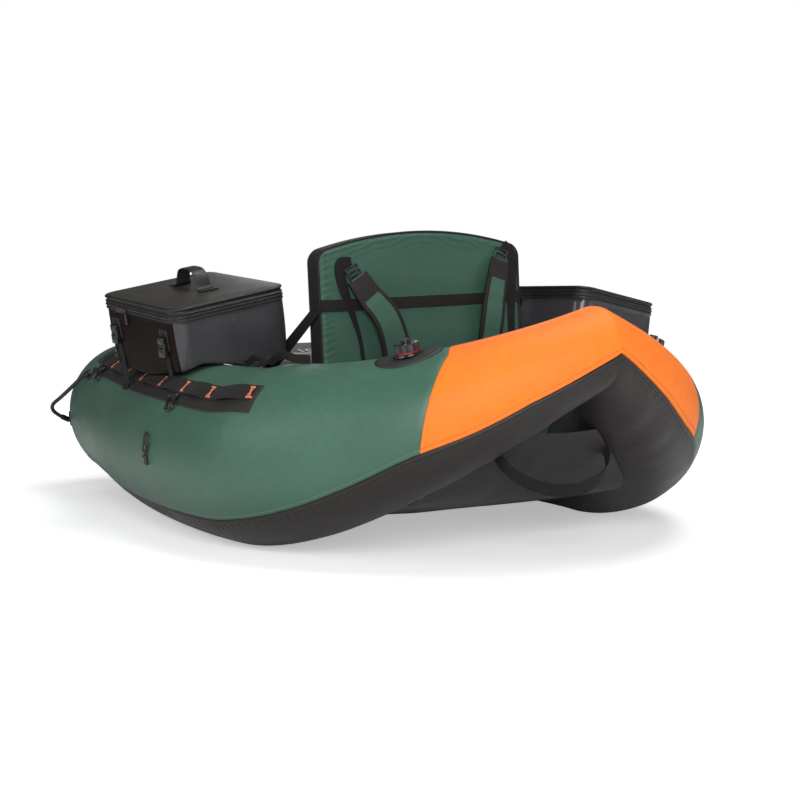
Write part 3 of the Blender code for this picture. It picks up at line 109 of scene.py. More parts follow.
def unit(vectors: Array) -> Array:
    """Vectors scaled to length one along their last axis."""
    return vectors / np.maximum(np.linalg.norm(vectors, axis=-1, keepdims=True), 1e-12)


def arc_length(points: Array) -> Array:
    """Distance along a line of points from its first one: the running sum of the steps' lengths."""
    return np.concatenate([[0.0], np.cumsum(np.linalg.norm(np.diff(points, axis=0), axis=1))])


def bell(x: Array, middle: float, width: float) -> Array:
    """A smooth bump of height one: exp(-((x - middle) / width)^2)."""
    return np.exp(-(((x - middle) / width) ** 2))


def step_up(x: Array, low: float, high: float) -> Array:
    """A smooth rise from 0 at low to 1 at high: t^2 (3 - 2t)."""
    t = np.clip((x - low) / (high - low), 0, 1)
    return t * t * (3 - 2 * t)


def round_edge(off: Array, radius: float) -> Array:
    """A quarter circle's rise from 0 at an edge to 1 at its radius: sqrt(1 - (1 - off / r)^2)."""
    return np.sqrt(1 - (1 - np.clip(off / radius, 0, 1)) ** 2)


def resampled(path: Array, count: int, closed: bool = False) -> tuple:
    """A path at even lengths along it.

    Args:
        path: Its points, with the first one again at the end where it is closed.
        count: How many points come back.
        closed: Whether the last point stays out, because it is the first one.

    Returns:
        The lengths and the points.
    """
    length = arc_length(path)
    even = np.linspace(0, length[-1], count, endpoint=not closed)
    return even, np.stack([np.interp(even, length, path[:, k]) for k in range(path.shape[1])], -1)


def smoothed(path: Array, rounds: int) -> Array:
    """A path with each inner point moved towards its neighbours, (a + 2b + c) / 4, round after round."""
    path = np.array(path)
    for _ in range(rounds):
        path[1:-1] = (path[:-2] + 2 * path[1:-1] + path[2:]) / 4
    return path


def halved(low: Array, high: Array, rounds: int, holds: Callable[[Array], Array]) -> tuple:
    """Ranges narrowed by halving: the middle becomes the high end where the test holds, else the low one.

    Args:
        low: Low ends.
        high: High ends, where the test holds.
        rounds: How often the ranges are halved.
        holds: The test.

    Returns:
        The low and high ends.
    """
    for _ in range(rounds):
        middle = (low + high) / 2
        past = holds(middle)
        low, high = np.where(past, low, middle), np.where(past, middle, high)
    return low, high


def closed_run(path: Array) -> Array:
    """Unit directions along a closed path, from each point's neighbours."""
    return unit(np.roll(path, -1, axis=0) - np.roll(path, 1, axis=0))


def outward_of(run: Array) -> Array:
    """Unit normals to the right of plane directions, so outward of an anticlockwise path."""
    return np.stack([run[:, 1], -run[:, 0]], -1)


@dataclass(frozen=True)
class Unevenness:
    """A smooth uneven field on a plane, repeatable by its seed, for creases and slack in cloth."""

    seed: int
    size: int = 48

    def at(self, u: Array, v: Array) -> Array:
        """Cubic-smoothed values between -1 and 1 on a unit lattice, read at (u, v) with wrap-around.

        Args:
            u: First coordinate, in lattice steps.
            v: Second coordinate, in lattice steps.

        Returns:
            The field at these places.
        """
        lattice = np.random.default_rng(self.seed).uniform(-1, 1, (self.size, self.size))
        u, v = np.broadcast_arrays(u, v)
        i, j = np.floor(u).astype(int), np.floor(v).astype(int)
        s, t = u - i, v - j
        s, t = s * s * (3 - 2 * s), t * t * (3 - 2 * t)
        i, j, k, m = i % self.size, j % self.size, (i + 1) % self.size, (j + 1) % self.size
        low = lattice[i, j] * (1 - s) + lattice[k, j] * s
        high = lattice[i, m] * (1 - s) + lattice[k, m] * s
        return low * (1 - t) + high * t


# Meshes


@dataclass
class Surface:
    """Points and faces of one piece before it becomes an object."""

    points: Array
    faces: list
    uv: Optional[Array] = None
    hint: Optional[Array] = None
    paint: Optional[list] = None

    def joined(self, other: "Surface") -> "Surface":
        """This surface and another as one piece, each keeping its own faces and pattern."""
        count = len(self.points)
        paint_a = self.paint or [np.zeros(len(f), int) for f in self.faces]
        paint_b = other.paint or [np.zeros(len(f), int) for f in other.faces]
        return Surface(np.concatenate([self.points, other.points]),
                       self.faces + [f + count for f in other.faces],
                       np.concatenate([self.uv, other.uv]), None, paint_a + paint_b)

    def outward(self) -> "Surface":
        """The same surface with its faces turned out.

        A closed one is turned by its signed volume, the sum of p0 . (p1 x p2) / 6 over its triangles; an
        open one by the hint, a vector for each point that shows the way out.
        """
        total = 0.0
        for faces in self.faces:
            corner = self.points[faces]
            if self.hint is None:
                centre = self.points.mean(axis=0)
                for k in range(1, faces.shape[1] - 1):
                    a, b, c = corner[:, 0] - centre, corner[:, k] - centre, corner[:, k + 1] - centre
                    total += float(np.einsum("ij,ij->", a, np.cross(b, c)))
            else:
                normal = np.cross(corner[:, 1] - corner[:, 0], corner[:, 2] - corner[:, 0])
                total += float((normal * self.hint[faces].mean(axis=1)).sum())
        if total < 0:
            self.faces = [faces[:, ::-1] for faces in self.faces]
        return self


def joined_up(parts: Sequence[Surface]) -> Surface:
    """Several surfaces as one piece, in their order."""
    whole = parts[0]
    for part in parts[1:]:
        whole = whole.joined(part)
    return whole


def grid_faces(rows: int, columns: int, wrap: bool = False) -> Array:
    """Four corners of each cell of a grid numbered row by row, joined round in columns where it wraps."""
    i, j = np.meshgrid(np.arange(rows - 1), np.arange(columns if wrap else columns - 1), indexing="ij")
    k = (j + 1) % columns
    return np.stack([i * columns + j, i * columns + k, (i + 1) * columns + k, (i + 1) * columns + j],
                    -1).reshape(-1, 4)


def grid_rim(rows: int, columns: int) -> Array:
    """Numbers of the points round a grid's rim, once round."""
    index = np.arange(rows * columns).reshape(rows, columns)
    return np.concatenate([index[0, :-1], index[:-1, -1], index[-1, :0:-1], index[:0:-1, 0]])


def faces_between(rings: Sequence[Array]) -> list:
    """Faces that join each ring of point numbers to the next one."""
    return [np.stack([np.roll(one, -1), one, two, np.roll(two, -1)], -1) for one,
            two in zip(rings, rings[1:])]


def grid_uv(points: Array) -> Array:
    """Pattern places of a grid in metres: the mean length along its rows and along its columns."""
    down = np.linalg.norm(np.diff(points, axis=0), axis=2).mean(axis=1)
    across = np.linalg.norm(np.diff(points, axis=1), axis=2).mean(axis=0)
    u = np.concatenate([[0], np.cumsum(down)])
    v = np.concatenate([[0], np.cumsum(across)])
    return np.stack(np.meshgrid(u, v, indexing="ij"), -1)


def open_sheet(points: Array, hint: Array, uv: Optional[Array] = None) -> Surface:
    """One layer of faces through a grid of points."""
    uv = grid_uv(points) if uv is None else uv
    return Surface(points.reshape(-1, 3), [grid_faces(*points.shape[:2])], uv.reshape(-1, 2),
                   hint.reshape(-1, 3))


def slab(upper: Array, lower: Array, uv: Optional[Array] = None) -> Surface:
    """A closed thin body between two grids of the same shape, joined round its rim."""
    rows, columns = upper.shape[:2]
    count = rows * columns
    top = grid_faces(rows, columns)
    under = top[:, ::-1] + count
    rim = grid_rim(rows, columns)
    after = np.roll(rim, -1)
    edge = np.stack([after, rim, rim + count, after + count], -1)
    uv = grid_uv(upper) if uv is None else uv
    flat = uv.reshape(-1, 2)
    return Surface(np.concatenate([upper.reshape(-1, 3), lower.reshape(-1, 3)]), [top, under, edge],
                   np.concatenate([flat, flat]))


def lathe_rows(rows: Array, uv: Optional[Array] = None) -> Surface:
    """A closed body through rings of equal counts, with each end closed by one face."""
    count = rows.shape[1]
    uv = grid_uv(rows) if uv is None else uv
    first = np.arange(count)[None, ::-1]
    last = (np.arange(count) + (len(rows) - 1) * count)[None]
    return Surface(rows.reshape(-1, 3), [grid_faces(len(rows), count, True), first, last], uv.reshape(-1, 2))


def round_section(width: Array, thickness: float, count: int = 14, power: float = 0.35) -> Array:
    """A flat oval section: (w/2 sgn(cos) |cos|^p, t/2 + t/2 sgn(sin) |sin|^p), one for each width."""
    turn = np.linspace(0, math.tau, count, endpoint=False) + math.pi / count
    x = np.sign(np.cos(turn)) * np.abs(np.cos(turn)) ** power
    y = np.sign(np.sin(turn)) * np.abs(np.sin(turn)) ** power
    width = np.atleast_1d(width)
    return np.stack([width[:, None] / 2 * x, np.broadcast_to(thickness / 2 * (1 + y), (len(width), count))],
                    -1)


def strap(path: Array, sideways: Array, width: Array, thickness: float, count: int = 14) -> Surface:
    """A flat strap: the section carried along a path, path + x side + y (side x along).

    Args:
        path: Middle of the strap's lower face, point by point.
        sideways: Direction of its width at each point.
        width: Its width, one value or one for each point.
        thickness: Its thickness.
        count: Points round the section.

    Returns:
        The closed surface.
    """
    path = np.asarray(path, float)
    side = unit(np.broadcast_to(np.asarray(sideways, float), path.shape))
    along = unit(np.gradient(path, axis=0))
    normal = unit(np.cross(side, along))
    section = round_section(np.broadcast_to(width, len(path)), thickness, count)
    rows = path[:, None] + section[..., :1] * side[:, None] + section[..., 1:] * normal[:, None]
    u = np.broadcast_to(arc_length(path)[:, None], section.shape[:2])
    return lathe_rows(rows, np.stack([u, section[..., 0]], -1))


def rod(path: Array, radius: Array, count: int = 12, squash: float = 1.0) -> Surface:
    """A round rod along a path, turned with the least twist.

    Args:
        path: Its centre line.
        radius: Its radius, one value or one for each point.
        count: Points round it.
        squash: Its second diameter as a share of the first.

    Returns:
        The closed surface, with its pattern in metres along and round it.
    """
    path = np.asarray(path, float)
    along = unit(np.gradient(path, axis=0))
    first = np.cross(along[0], [0.3, 0.5, 0.8])
    sides = [first / np.linalg.norm(first)]
    for tangent in along[1:]:
        carried = sides[-1] - tangent * np.dot(sides[-1], tangent)
        sides.append(carried / np.linalg.norm(carried))
    side = np.array(sides)
    other = np.cross(along, side)
    turn = np.linspace(0, math.tau, count, endpoint=False)
    radius = np.broadcast_to(radius, len(path))[:, None, None]
    spoke = np.cos(turn)[:, None] * side[:, None] + squash * np.sin(turn)[:, None] * other[:, None]
    rows = path[:, None] + radius * spoke
    u = np.broadcast_to(arc_length(path)[:, None], rows.shape[:2])
    v = np.broadcast_to(turn * float(radius.mean()), rows.shape[:2])
    return lathe_rows(rows, np.stack([u, v], -1))


def closed_rod(path: Array, radius: float, count: int = 10) -> Surface:
    """A round rod along a closed path, its rings joined end to end."""
    path = np.asarray(path, float)
    along = closed_run(path)
    centre = path.mean(axis=0)
    out = unit(path - centre)
    out = unit(out - along * (out * along).sum(axis=1, keepdims=True))
    other = np.cross(along, out)
    turn = np.linspace(0, math.tau, count, endpoint=False)
    rows = path[:, None] + radius * (np.cos(turn)[:, None] * out[:, None] + np.sin(turn)[:, None] *
                                     other[:, None])
    faces = grid_faces(len(rows) + 1, count, True) % (len(rows) * count)
    length = arc_length(path)
    uv = np.stack(np.broadcast_arrays(length[:, None], turn * radius), -1)
    return Surface(rows.reshape(-1, 3), [faces], uv.reshape(-1, 2))


def rounded_outline(half_x: float, half_y: float, corner: float, steps: int, extra: int) -> Array:
    """A rectangle with round corners, anticlockwise.

    Quarter circles of the corner's radius joined by straight runs, with one count of points at any size.

    Args:
        half_x: Half its first side.
        half_y: Half its second side.
        corner: Radius of its corners.
        steps: Steps round each corner.
        extra: Points along each straight side.

    Returns:
        The points in its plane.
    """
    signs = np.array([(1, 1), (-1, 1), (-1, -1), (1, -1)], float)
    turn = np.radians(90 * (np.arange(4)[:, None] + np.arange(steps + 1) / steps))
    middles = signs * np.array([half_x - corner, half_y - corner])
    arcs = middles[:, None] + corner * np.stack([np.cos(turn), np.sin(turn)], -1)
    share = (np.arange(extra) + 1)[:, None] / (extra + 1)
    starts, ends = arcs[:, -1], np.roll(arcs[:, 0], -1, axis=0)
    runs = starts[:, None] + (ends - starts)[:, None] * share
    return np.concatenate([arcs, runs], axis=1).reshape(-1, 2)


def box_surface(size: Sequence[float], bevel: float, matrix: Matrix) -> Surface:
    """A small block with bevelled edges: rings of a rounded outline drawn in at both ends.

    Args:
        size: Its three sides.
        bevel: Radius of its edges.
        matrix: Its place.

    Returns:
        The closed surface.
    """
    rows = []
    for inset, height in ((bevel, 0), (bevel * 0.3, bevel * 0.3), (0, bevel), (0, size[2] - bevel),
                          (bevel * 0.3, size[2] - bevel * 0.3), (bevel, size[2])):
        ring = rounded_outline(size[0] / 2 - inset, size[1] / 2 - inset,
                               max(bevel * 1.2 - inset, bevel * 0.2), 3, 1)
        rows.append(np.concatenate([ring, np.full((len(ring), 1), height - size[2] / 2)], axis=1))
    return lathe_rows(moved(np.array(rows), matrix))


def moved(points: Array, matrix: Matrix) -> Array:
    """Points carried by a matrix: R p + t."""
    m = np.array(matrix)
    return np.asarray(points, float) @ m[:3, :3].T + m[:3, 3]


def make(name: str, surface: Surface, finishes: Sequence["Finish"], body: str,
         replaces: Sequence[str] = (), sharp: float = 50.0) -> bpy.types.Object:
    """Turns a surface into a finished piece that rides on a body.

    Args:
        name: The piece's name.
        surface: Its points and faces.
        finishes: Its finishes, in the order that its paint numbers them.
        body: The body that it moves with.
        replaces: The nodes that it stands for.
        sharp: Angle in degrees from which an edge between faces is sharp.

    Returns:
        The object.
    """
    surface.outward()
    mesh = bpy.data.meshes.new(name)
    counts = np.concatenate([np.full(len(f), f.shape[1]) for f in surface.faces])
    corners = np.concatenate([f.reshape(-1) for f in surface.faces])
    mesh.vertices.add(len(surface.points))
    mesh.vertices.foreach_set("co", np.ascontiguousarray(surface.points, np.float32).reshape(-1))
    mesh.loops.add(len(corners))
    mesh.loops.foreach_set("vertex_index", corners.astype(np.int32))
    mesh.polygons.add(len(counts))
    mesh.polygons.foreach_set("loop_start", (np.cumsum(counts) - counts).astype(np.int32))
    if surface.paint is not None:
        mesh.polygons.foreach_set("material_index", np.concatenate(surface.paint).astype(np.int32))
    mesh.update(calc_edges=True)
    if surface.uv is not None:
        layer = mesh.uv_layers.new(name="Surface")
        layer.data.foreach_set("uv", surface.uv[corners].astype(np.float32).reshape(-1))
    mesh.validate()
    mesh.shade_smooth()
    mesh.set_sharp_from_angle(angle=math.radians(sharp))
    for finish in finishes:
        mesh.materials.append(finish.material())
    piece = bpy.data.objects.new(name, mesh)
    bpy.context.scene.collection.objects.link(piece)
    if replaces:
        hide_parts(*replaces)
    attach(piece, body)
    log.info("%s: %d faces on %s", name, len(mesh.polygons), body)
    return piece


def dress_node(node: str, finish: "Finish") -> None:
    """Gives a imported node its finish."""
    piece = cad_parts[node]
    piece.data.materials.clear()
    piece.data.materials.append(finish.material())
    log.info("%s: finish %s", node, finish.name)


# Finishes


class Nodes:
    """Adds and joins the shader nodes of one material."""

    def __init__(self, name: str) -> None:
        """Starts a material with only its Principled shader and output."""
        self.made = bpy.data.materials.new(name)
        self.made.use_nodes = True
        self.tree = self.made.node_tree
        self.shader = self.tree.nodes["Principled BSDF"]
        self.coordinates = self.tree.nodes.new("ShaderNodeTexCoord")

    def add(self, kind: str, inputs: Optional[dict] = None, **settings: object) -> bpy.types.Node:
        """A node with settings, and with values or sockets at its inputs.

        Args:
            kind: The node's type name, without its Shader prefix.
            inputs: Its inputs by name or number.
            settings: Its properties.

        Returns:
            The node.
        """
        node = self.tree.nodes.new("ShaderNode" + kind)
        for key, value in settings.items():
            setattr(node, key, value)
        for key, value in (inputs or {}).items():
            self.feed(node.inputs[key], value)
        return node

    def feed(self, socket: bpy.types.NodeSocket, value: object) -> None:
        """Links a socket to an input, or sets its value."""
        if isinstance(value, bpy.types.NodeSocket):
            self.tree.links.new(value, socket)
        else:
            socket.default_value = value

    def dress(self, inputs: dict) -> None:
        """Feeds the shader's inputs by name."""
        for name, value in inputs.items():
            self.feed(self.shader.inputs[name], value)

    def sum(self, operation: str, a: object, b: object = 0.0) -> bpy.types.NodeSocket:
        """The result of one arithmetic step on two values."""
        return self.add("Math", {0: a, 1: b}, operation=operation).outputs[0]

    def between(self, value: object, low: float, high: float, to_low: float = 0.0,
                to_high: float = 1.0) -> object:
        """A value carried smoothly from one range to another, held at its ends."""
        inputs = {"Value": value, "From Min": low, "From Max": high, "To Min": to_low, "To Max": to_high}
        return self.add("MapRange", inputs, interpolation_type="SMOOTHSTEP").outputs[0]

    def place(self, source: Socket, scale: Sequence[float] = (1, 1, 1), turn: float = 0.0) -> object:
        """Pattern coordinates from the piece's own surface or its object space, scaled and turned."""
        vector = self.coordinates.outputs[source.value]
        return self.add("Mapping", {"Vector": vector, "Scale": scale, "Rotation": (0, 0, turn)}).outputs[0]

    def noise(self, vector: object, scale: float, detail: float = 3.0, rough: float = 0.55) -> object:
        """Smooth noise around one half."""
        return self.add("TexNoise", {"Vector": vector, "Scale": scale, "Detail": detail,
                                     "Roughness": rough}).outputs["Fac"]

    def blend(self, share: object, a: object, b: object) -> object:
        """Two colours mixed by a share."""
        node = self.add("Mix", data_type="RGBA")
        for socket, value in zip((node.inputs[0], node.inputs[6], node.inputs[7]), (share, a, b)):
            self.feed(socket, value)
        return node.outputs[2]

    def bump(self, height: object, distance: float, strength: float = 1.0, before: object = None) -> object:
        """A bumped normal, on top of another one where given."""
        node = self.add("Bump", {"Height": height, "Distance": distance, "Strength": strength})
        if before is not None:
            self.feed(node.inputs["Normal"], before)
        return node.outputs[0]

    def weave(self, source: Socket, pitch: float) -> object:
        """Height of a plain weave: |sin x||sin y| + |sin y||sin z| + |sin z||sin x|, yarn by yarn."""
        scaled = self.place(source, (math.pi / pitch,) * 3)
        waves = self.add("VectorMath", {0: scaled}, operation="SINE").outputs[0]
        height = self.add("VectorMath", {0: waves}, operation="ABSOLUTE").outputs[0]
        parts = self.add("SeparateXYZ", {0: height}).outputs
        turned = self.add("CombineXYZ", {0: parts[1], 1: parts[2], 2: parts[0]}).outputs[0]
        return self.add("VectorMath", {0: height, 1: turned}, operation="DOT_PRODUCT").outputs["Value"]


@dataclass(frozen=True)
class Finish:
    """A material's name, colour in linear red, green and blue, and roughness."""

    name: str
    colour: tuple
    roughness: float

    def material(self) -> bpy.types.Material:
        """The material, made once and then shared."""
        found = bpy.data.materials.get(self.name)
        if found:
            return found
        nodes = Nodes(self.name)
        nodes.dress({"Metallic": 0.0, "Roughness": self.roughness})
        self.detail(nodes)
        nodes.made.diffuse_color = (*self.colour, 1)
        return nodes.made

    def shade(self, factor: float) -> tuple:
        """The finish's colour made lighter or darker."""
        return (*(min(c * factor, 1.0) for c in self.colour), 1)

    def detail(self, nodes: Nodes) -> None:
        """Adds the pattern, roughness and relief of this finish."""
        raise NotImplementedError


@dataclass(frozen=True)
class CoatedCloth(Finish):
    """Coated woven polyester: a fine weave, cloudy colour, soft creases, and stitches by each seam."""

    source: Socket = Socket.SURFACE
    shine: float = 0.28
    pitch: float = 0.0011
    crease: float = 0.0012
    stitched: bool = False
    thread: tuple = (0.02, 0.05, 0.035, 1)
    sheen: float = 0.02

    def detail(self, nodes: Nodes) -> None:
        """Weave and creases as relief; clouds, painted shade between the yarns and stitches as colour."""
        weave = nodes.weave(self.source, self.pitch)
        clouds = nodes.noise(nodes.place(Socket.OBJECT), 3.0, 4.0)
        fine = nodes.noise(nodes.place(Socket.OBJECT), 60.0, 3.0)
        colour = nodes.blend(nodes.between(clouds, 0.3, 0.7), self.shade(0.90), self.shade(1.10))
        colour = nodes.blend(nodes.between(fine, 0.35, 0.65, 0.0, 0.35), colour, self.shade(0.82))
        # Painted shade: the colour darkens where the weave is low, between the yarns.
        colour = nodes.blend(nodes.between(weave, 0.0, 0.9, 0.22, 0.0), colour, self.shade(0.45))
        creases = nodes.noise(nodes.place(Socket.OBJECT, (5, 5, 9)), 1.0, 4.0, 0.6)
        normal = nodes.bump(creases, self.crease * 6, 0.35)
        normal = nodes.bump(fine, 0.0004, 0.5, normal)
        normal = nodes.bump(weave, 0.00012, 0.6, normal)
        if self.stitched:
            colour, normal = self.stitches(nodes, colour, normal)
        rough = nodes.between(clouds, 0.25, 0.75, self.roughness - 0.07, self.roughness + 0.08)
        nodes.dress({"Base Color": colour, "Roughness": rough, "Normal": normal, "Sheen Weight": self.sheen,
                     "Sheen Roughness": 0.4, "Specular IOR Level": self.shine})

    def stitches(self, nodes: Nodes, colour: object, normal: object) -> tuple:
        """Dashes of thread a little in from the hem, in a shallow groove darkened by painted shade.

        Args:
            nodes: The material's nodes.
            colour: Colour socket without thread.
            normal: Normal socket without thread.

        Returns:
            Both sockets with the thread added.
        """
        seam = nodes.add("UVMap", uv_map="Seam").outputs[0]
        parts = nodes.add("SeparateXYZ", {0: seam}).outputs
        off = nodes.sum("ABSOLUTE", nodes.sum("SUBTRACT", parts[1], 0.0105))
        line = nodes.between(off, 0.0004, 0.0009, 1.0, 0.0)
        groove = nodes.between(off, 0.0006, 0.0024, 1.0, 0.0)
        dash = nodes.between(nodes.sum("SINE", nodes.sum("MULTIPLY", parts[0], math.tau / 0.0042)), -0.5,
                             -0.1)
        thread = nodes.sum("MULTIPLY", line, dash)
        # Painted shade in the groove along the stitches.
        colour = nodes.blend(nodes.sum("MULTIPLY", groove, 0.14), colour, self.shade(0.35))
        colour = nodes.blend(thread, colour, self.thread)
        normal = nodes.bump(groove, -0.0008, 0.8, normal)
        return colour, nodes.bump(thread, 0.0004, 0.8, normal)


@dataclass(frozen=True)
class Webbing(Finish):
    """Woven strap: chevron ribs along it, a tight selvedge and fuzzy yarn."""

    pitch: float = 0.0022
    width: float = 0.025

    def detail(self, nodes: Nodes) -> None:
        """Ribs run along the strap and lean to both sides of its middle: sin(k(u + |v|)); painted shade
        darkens their hollows.
        """
        surface = nodes.place(Socket.SURFACE)
        parts = nodes.add("SeparateXYZ", {0: surface}).outputs
        lean = nodes.sum("ADD", parts[0], nodes.sum("ABSOLUTE", parts[1]))
        ribs = nodes.sum("SINE", nodes.sum("MULTIPLY", lean, math.tau / self.pitch))
        yarn = nodes.sum("SINE", nodes.sum("MULTIPLY", parts[1], math.tau / (self.pitch * 0.8)))
        height = nodes.sum("ADD", nodes.sum("MULTIPLY", ribs, 0.6), nodes.sum("MULTIPLY", yarn, 0.4))
        fuzz = nodes.noise(nodes.place(Socket.OBJECT), 420.0, 2.0)
        wear = nodes.noise(nodes.place(Socket.OBJECT), 14.0, 3.0)
        # Painted shade: the colour darkens in the hollows between the ribs and lightens on their crests.
        colour = nodes.blend(nodes.between(height, -0.8, 0.8), self.shade(0.55), self.shade(1.35))
        colour = nodes.blend(nodes.between(wear, 0.45, 0.75, 0.0, 0.25), colour, self.shade(1.5))
        normal = nodes.bump(height, 0.0003, 0.8)
        normal = nodes.bump(fuzz, 0.00025, 0.5, normal)
        nodes.dress({"Base Color": colour, "Roughness": nodes.between(wear, 0.2, 0.8, 0.72, 0.9),
                     "Normal": normal, "Sheen Weight": 0.02, "Specular IOR Level": 0.25})


@dataclass(frozen=True)
class Film(Finish):
    """Rubber-coated film: a pebbled skin, slow dents, scuffs, and a satin gloss that varies."""

    pebble: float = 900.0
    dent: float = 0.0035
    gloss: float = 0.0
    scuff: float = 0.25
    grain: float = 0.00012
    shine: float = 0.5

    def detail(self, nodes: Nodes) -> None:
        """Pebbles and dents as relief, dents also as painted shade; scuffs lighten the colour and roughen the
        gloss.
        """
        place = nodes.place(Socket.OBJECT)
        pebbles = nodes.noise(place, self.pebble, 2.0)
        dents = nodes.noise(place, 9.0, 3.0, 0.5)
        scuffs = nodes.noise(nodes.place(Socket.OBJECT, (1, 1, 5), 0.4), 38.0, 5.0, 0.7)
        # Painted shade: the colour darkens in the dents' hollows and lightens on their crests.
        colour = nodes.blend(nodes.between(dents, 0.3, 0.7), self.shade(0.88), self.shade(1.14))
        colour = nodes.blend(nodes.between(scuffs, 0.58, 0.74, 0.0, self.scuff), colour, self.shade(2.2))
        normal = nodes.bump(dents, self.dent, 0.4)
        normal = nodes.bump(pebbles, self.grain, 0.5, normal)
        low, high = self.roughness - 0.2 * self.scuff, self.roughness + 0.56 * self.scuff
        nodes.dress({"Base Color": colour, "Roughness": nodes.between(scuffs, 0.35, 0.75, low, high),
                     "Normal": normal, "Specular IOR Level": self.shine, "Coat Weight": self.gloss,
                     "Coat Roughness": 0.28})


@dataclass(frozen=True)
class MouldedPlastic(Finish):
    """Injection-moulded nylon: a fine spark grain, small sink marks and lighter sharp edges."""

    grain: float = 1600.0

    def detail(self, nodes: Nodes) -> None:
        """Grain as relief; painted shade in the sink marks, and lighter colour on the sharp edges."""
        place = nodes.place(Socket.OBJECT)
        grain = nodes.noise(place, self.grain, 2.0)
        sink = nodes.noise(place, 70.0, 2.0)
        edge = nodes.between(nodes.add("NewGeometry").outputs["Pointiness"], 0.52, 0.62, 0.0, 0.5)
        # Painted shade: the colour darkens in the sink marks' hollows and lightens on their crests.
        colour = nodes.blend(nodes.between(sink, 0.3, 0.7), self.shade(0.8), self.shade(1.25))
        # The sharp edges, found by pointiness, are lighter in colour.
        colour = nodes.blend(edge, colour, self.shade(2.6))
        normal = nodes.bump(sink, 0.0006, 0.5)
        rough = nodes.between(sink, 0.3, 0.7, self.roughness - 0.06, self.roughness + 0.08)
        nodes.dress({"Base Color": colour, "Roughness": rough,
                     "Normal": nodes.bump(grain, 0.00008, 0.5, normal)})


@dataclass(frozen=True)
class Braid(Finish):
    """Braided cord: strands that cross at a slant, on the cord's own length and girth."""

    strand: float = 0.0024

    def detail(self, nodes: Nodes) -> None:
        """Diamonds of |sin(u+v)| against |sin(u-v)|, the higher one on top, with painted shade where the
        strands dip.
        """
        parts = nodes.add("SeparateXYZ", {0: nodes.place(Socket.SURFACE)}).outputs
        ups = []
        for operation in ("ADD", "SUBTRACT"):
            slant = nodes.sum(operation, parts[0], nodes.sum("MULTIPLY", parts[1], 1.3))
            wave = nodes.sum("SINE", nodes.sum("MULTIPLY", slant, math.pi / self.strand))
            ups.append(nodes.sum("ABSOLUTE", wave))
        height = nodes.sum("MAXIMUM", ups[0], ups[1])
        fuzz = nodes.noise(nodes.place(Socket.OBJECT), 500.0, 2.0)
        # Painted shade: the colour darkens where the strands dip and lightens on their crests.
        colour = nodes.blend(nodes.between(height, 0.5, 1.0), self.shade(0.5), self.shade(1.4))
        normal = nodes.bump(fuzz, 0.0002, 0.5, nodes.bump(height, 0.0005, 0.7))
        nodes.dress({"Base Color": colour, "Normal": normal,
                     "Roughness": nodes.between(fuzz, 0.3, 0.7, 0.45, 0.62)})


@dataclass(frozen=True)
class Thread(Finish):
    """Satin-stitched thread: close parallel turns across the tack, with a dull sheen."""

    turn: float = 0.0009

    def detail(self, nodes: Nodes) -> None:
        """Ridges of sin(k u) along the tack, with painted shade between the turns."""
        parts = nodes.add("SeparateXYZ", {0: nodes.place(Socket.SURFACE)}).outputs
        ridges = nodes.sum("SINE", nodes.sum("MULTIPLY", parts[0], math.tau / self.turn))
        fuzz = nodes.noise(nodes.place(Socket.OBJECT), 700.0, 2.0)
        # Painted shade: the colour darkens between the turns and lightens on their crests.
        colour = nodes.blend(nodes.between(ridges, -0.8, 0.6), self.shade(0.45), self.shade(1.1))
        normal = nodes.bump(fuzz, 0.0001, 0.5, nodes.bump(ridges, 0.0003, 0.8))
        nodes.dress({"Base Color": colour, "Normal": normal,
                     "Roughness": nodes.between(fuzz, 0.3, 0.7, 0.55, 0.75), "Sheen Weight": 0.2})


GREEN = CoatedCloth("green cloth", (0.044, 0.116, 0.078), 0.41, shine=0.45, stitched=True,
                    thread=(0.16, 0.24, 0.19, 1))
ORANGE = CoatedCloth("orange cloth", (1.0, 0.200, 0.014), 0.54, stitched=True, thread=(0.50, 0.12, 0.04, 1))
CHARCOAL = CoatedCloth("charcoal cloth", (0.023, 0.020, 0.0188), 0.44, pitch=0.0009, crease=0.0016,
                       stitched=True, thread=(0.015, 0.014, 0.013, 1))
HULL_CLOTH = CoatedCloth("hull cloth", (0.028, 0.026, 0.025), 0.46, pitch=0.0012, crease=0.0022)
PAD_GREEN = CoatedCloth("backrest cloth", (0.036, 0.094, 0.067), 0.55, pitch=0.0015, crease=0.0018)
STRAP_GREEN = CoatedCloth("strap cloth", (0.046, 0.112, 0.080), 0.58, pitch=0.0015, crease=0.0010)
BINDING = CoatedCloth("binding cloth", (0.015, 0.011, 0.011), 0.62, pitch=0.0010, crease=0.0010)
SEAT_CLOTH = CoatedCloth("seat cloth", (0.028, 0.027, 0.026), 0.6, source=Socket.OBJECT, pitch=0.0014)
APRON_CLOTH = CoatedCloth("apron cloth", (0.040, 0.043, 0.035), 0.55, pitch=0.0012, crease=0.0016)
PATCH = Film("patch rubber", (0.017, 0.014, 0.014), 0.52, pebble=700.0, dent=0.001)
STRIP = Film("strip rubber", (0.012, 0.009, 0.0085), 0.66, pebble=500.0, dent=0.0015, scuff=0.12)
BLADDER = Film("bladder film", (0.20, 0.20, 0.19), 0.4, pebble=500.0)
# The wall copy of the film: its lighter, bluish colour is a painted reflection of the lights.
BAG_WALL_LIT = Film("bag wall film lit", (0.042, 0.041, 0.046), 0.25, pebble=300.0, dent=0.0012, scuff=0.0,
                grain=0.00001, shine=0.40)
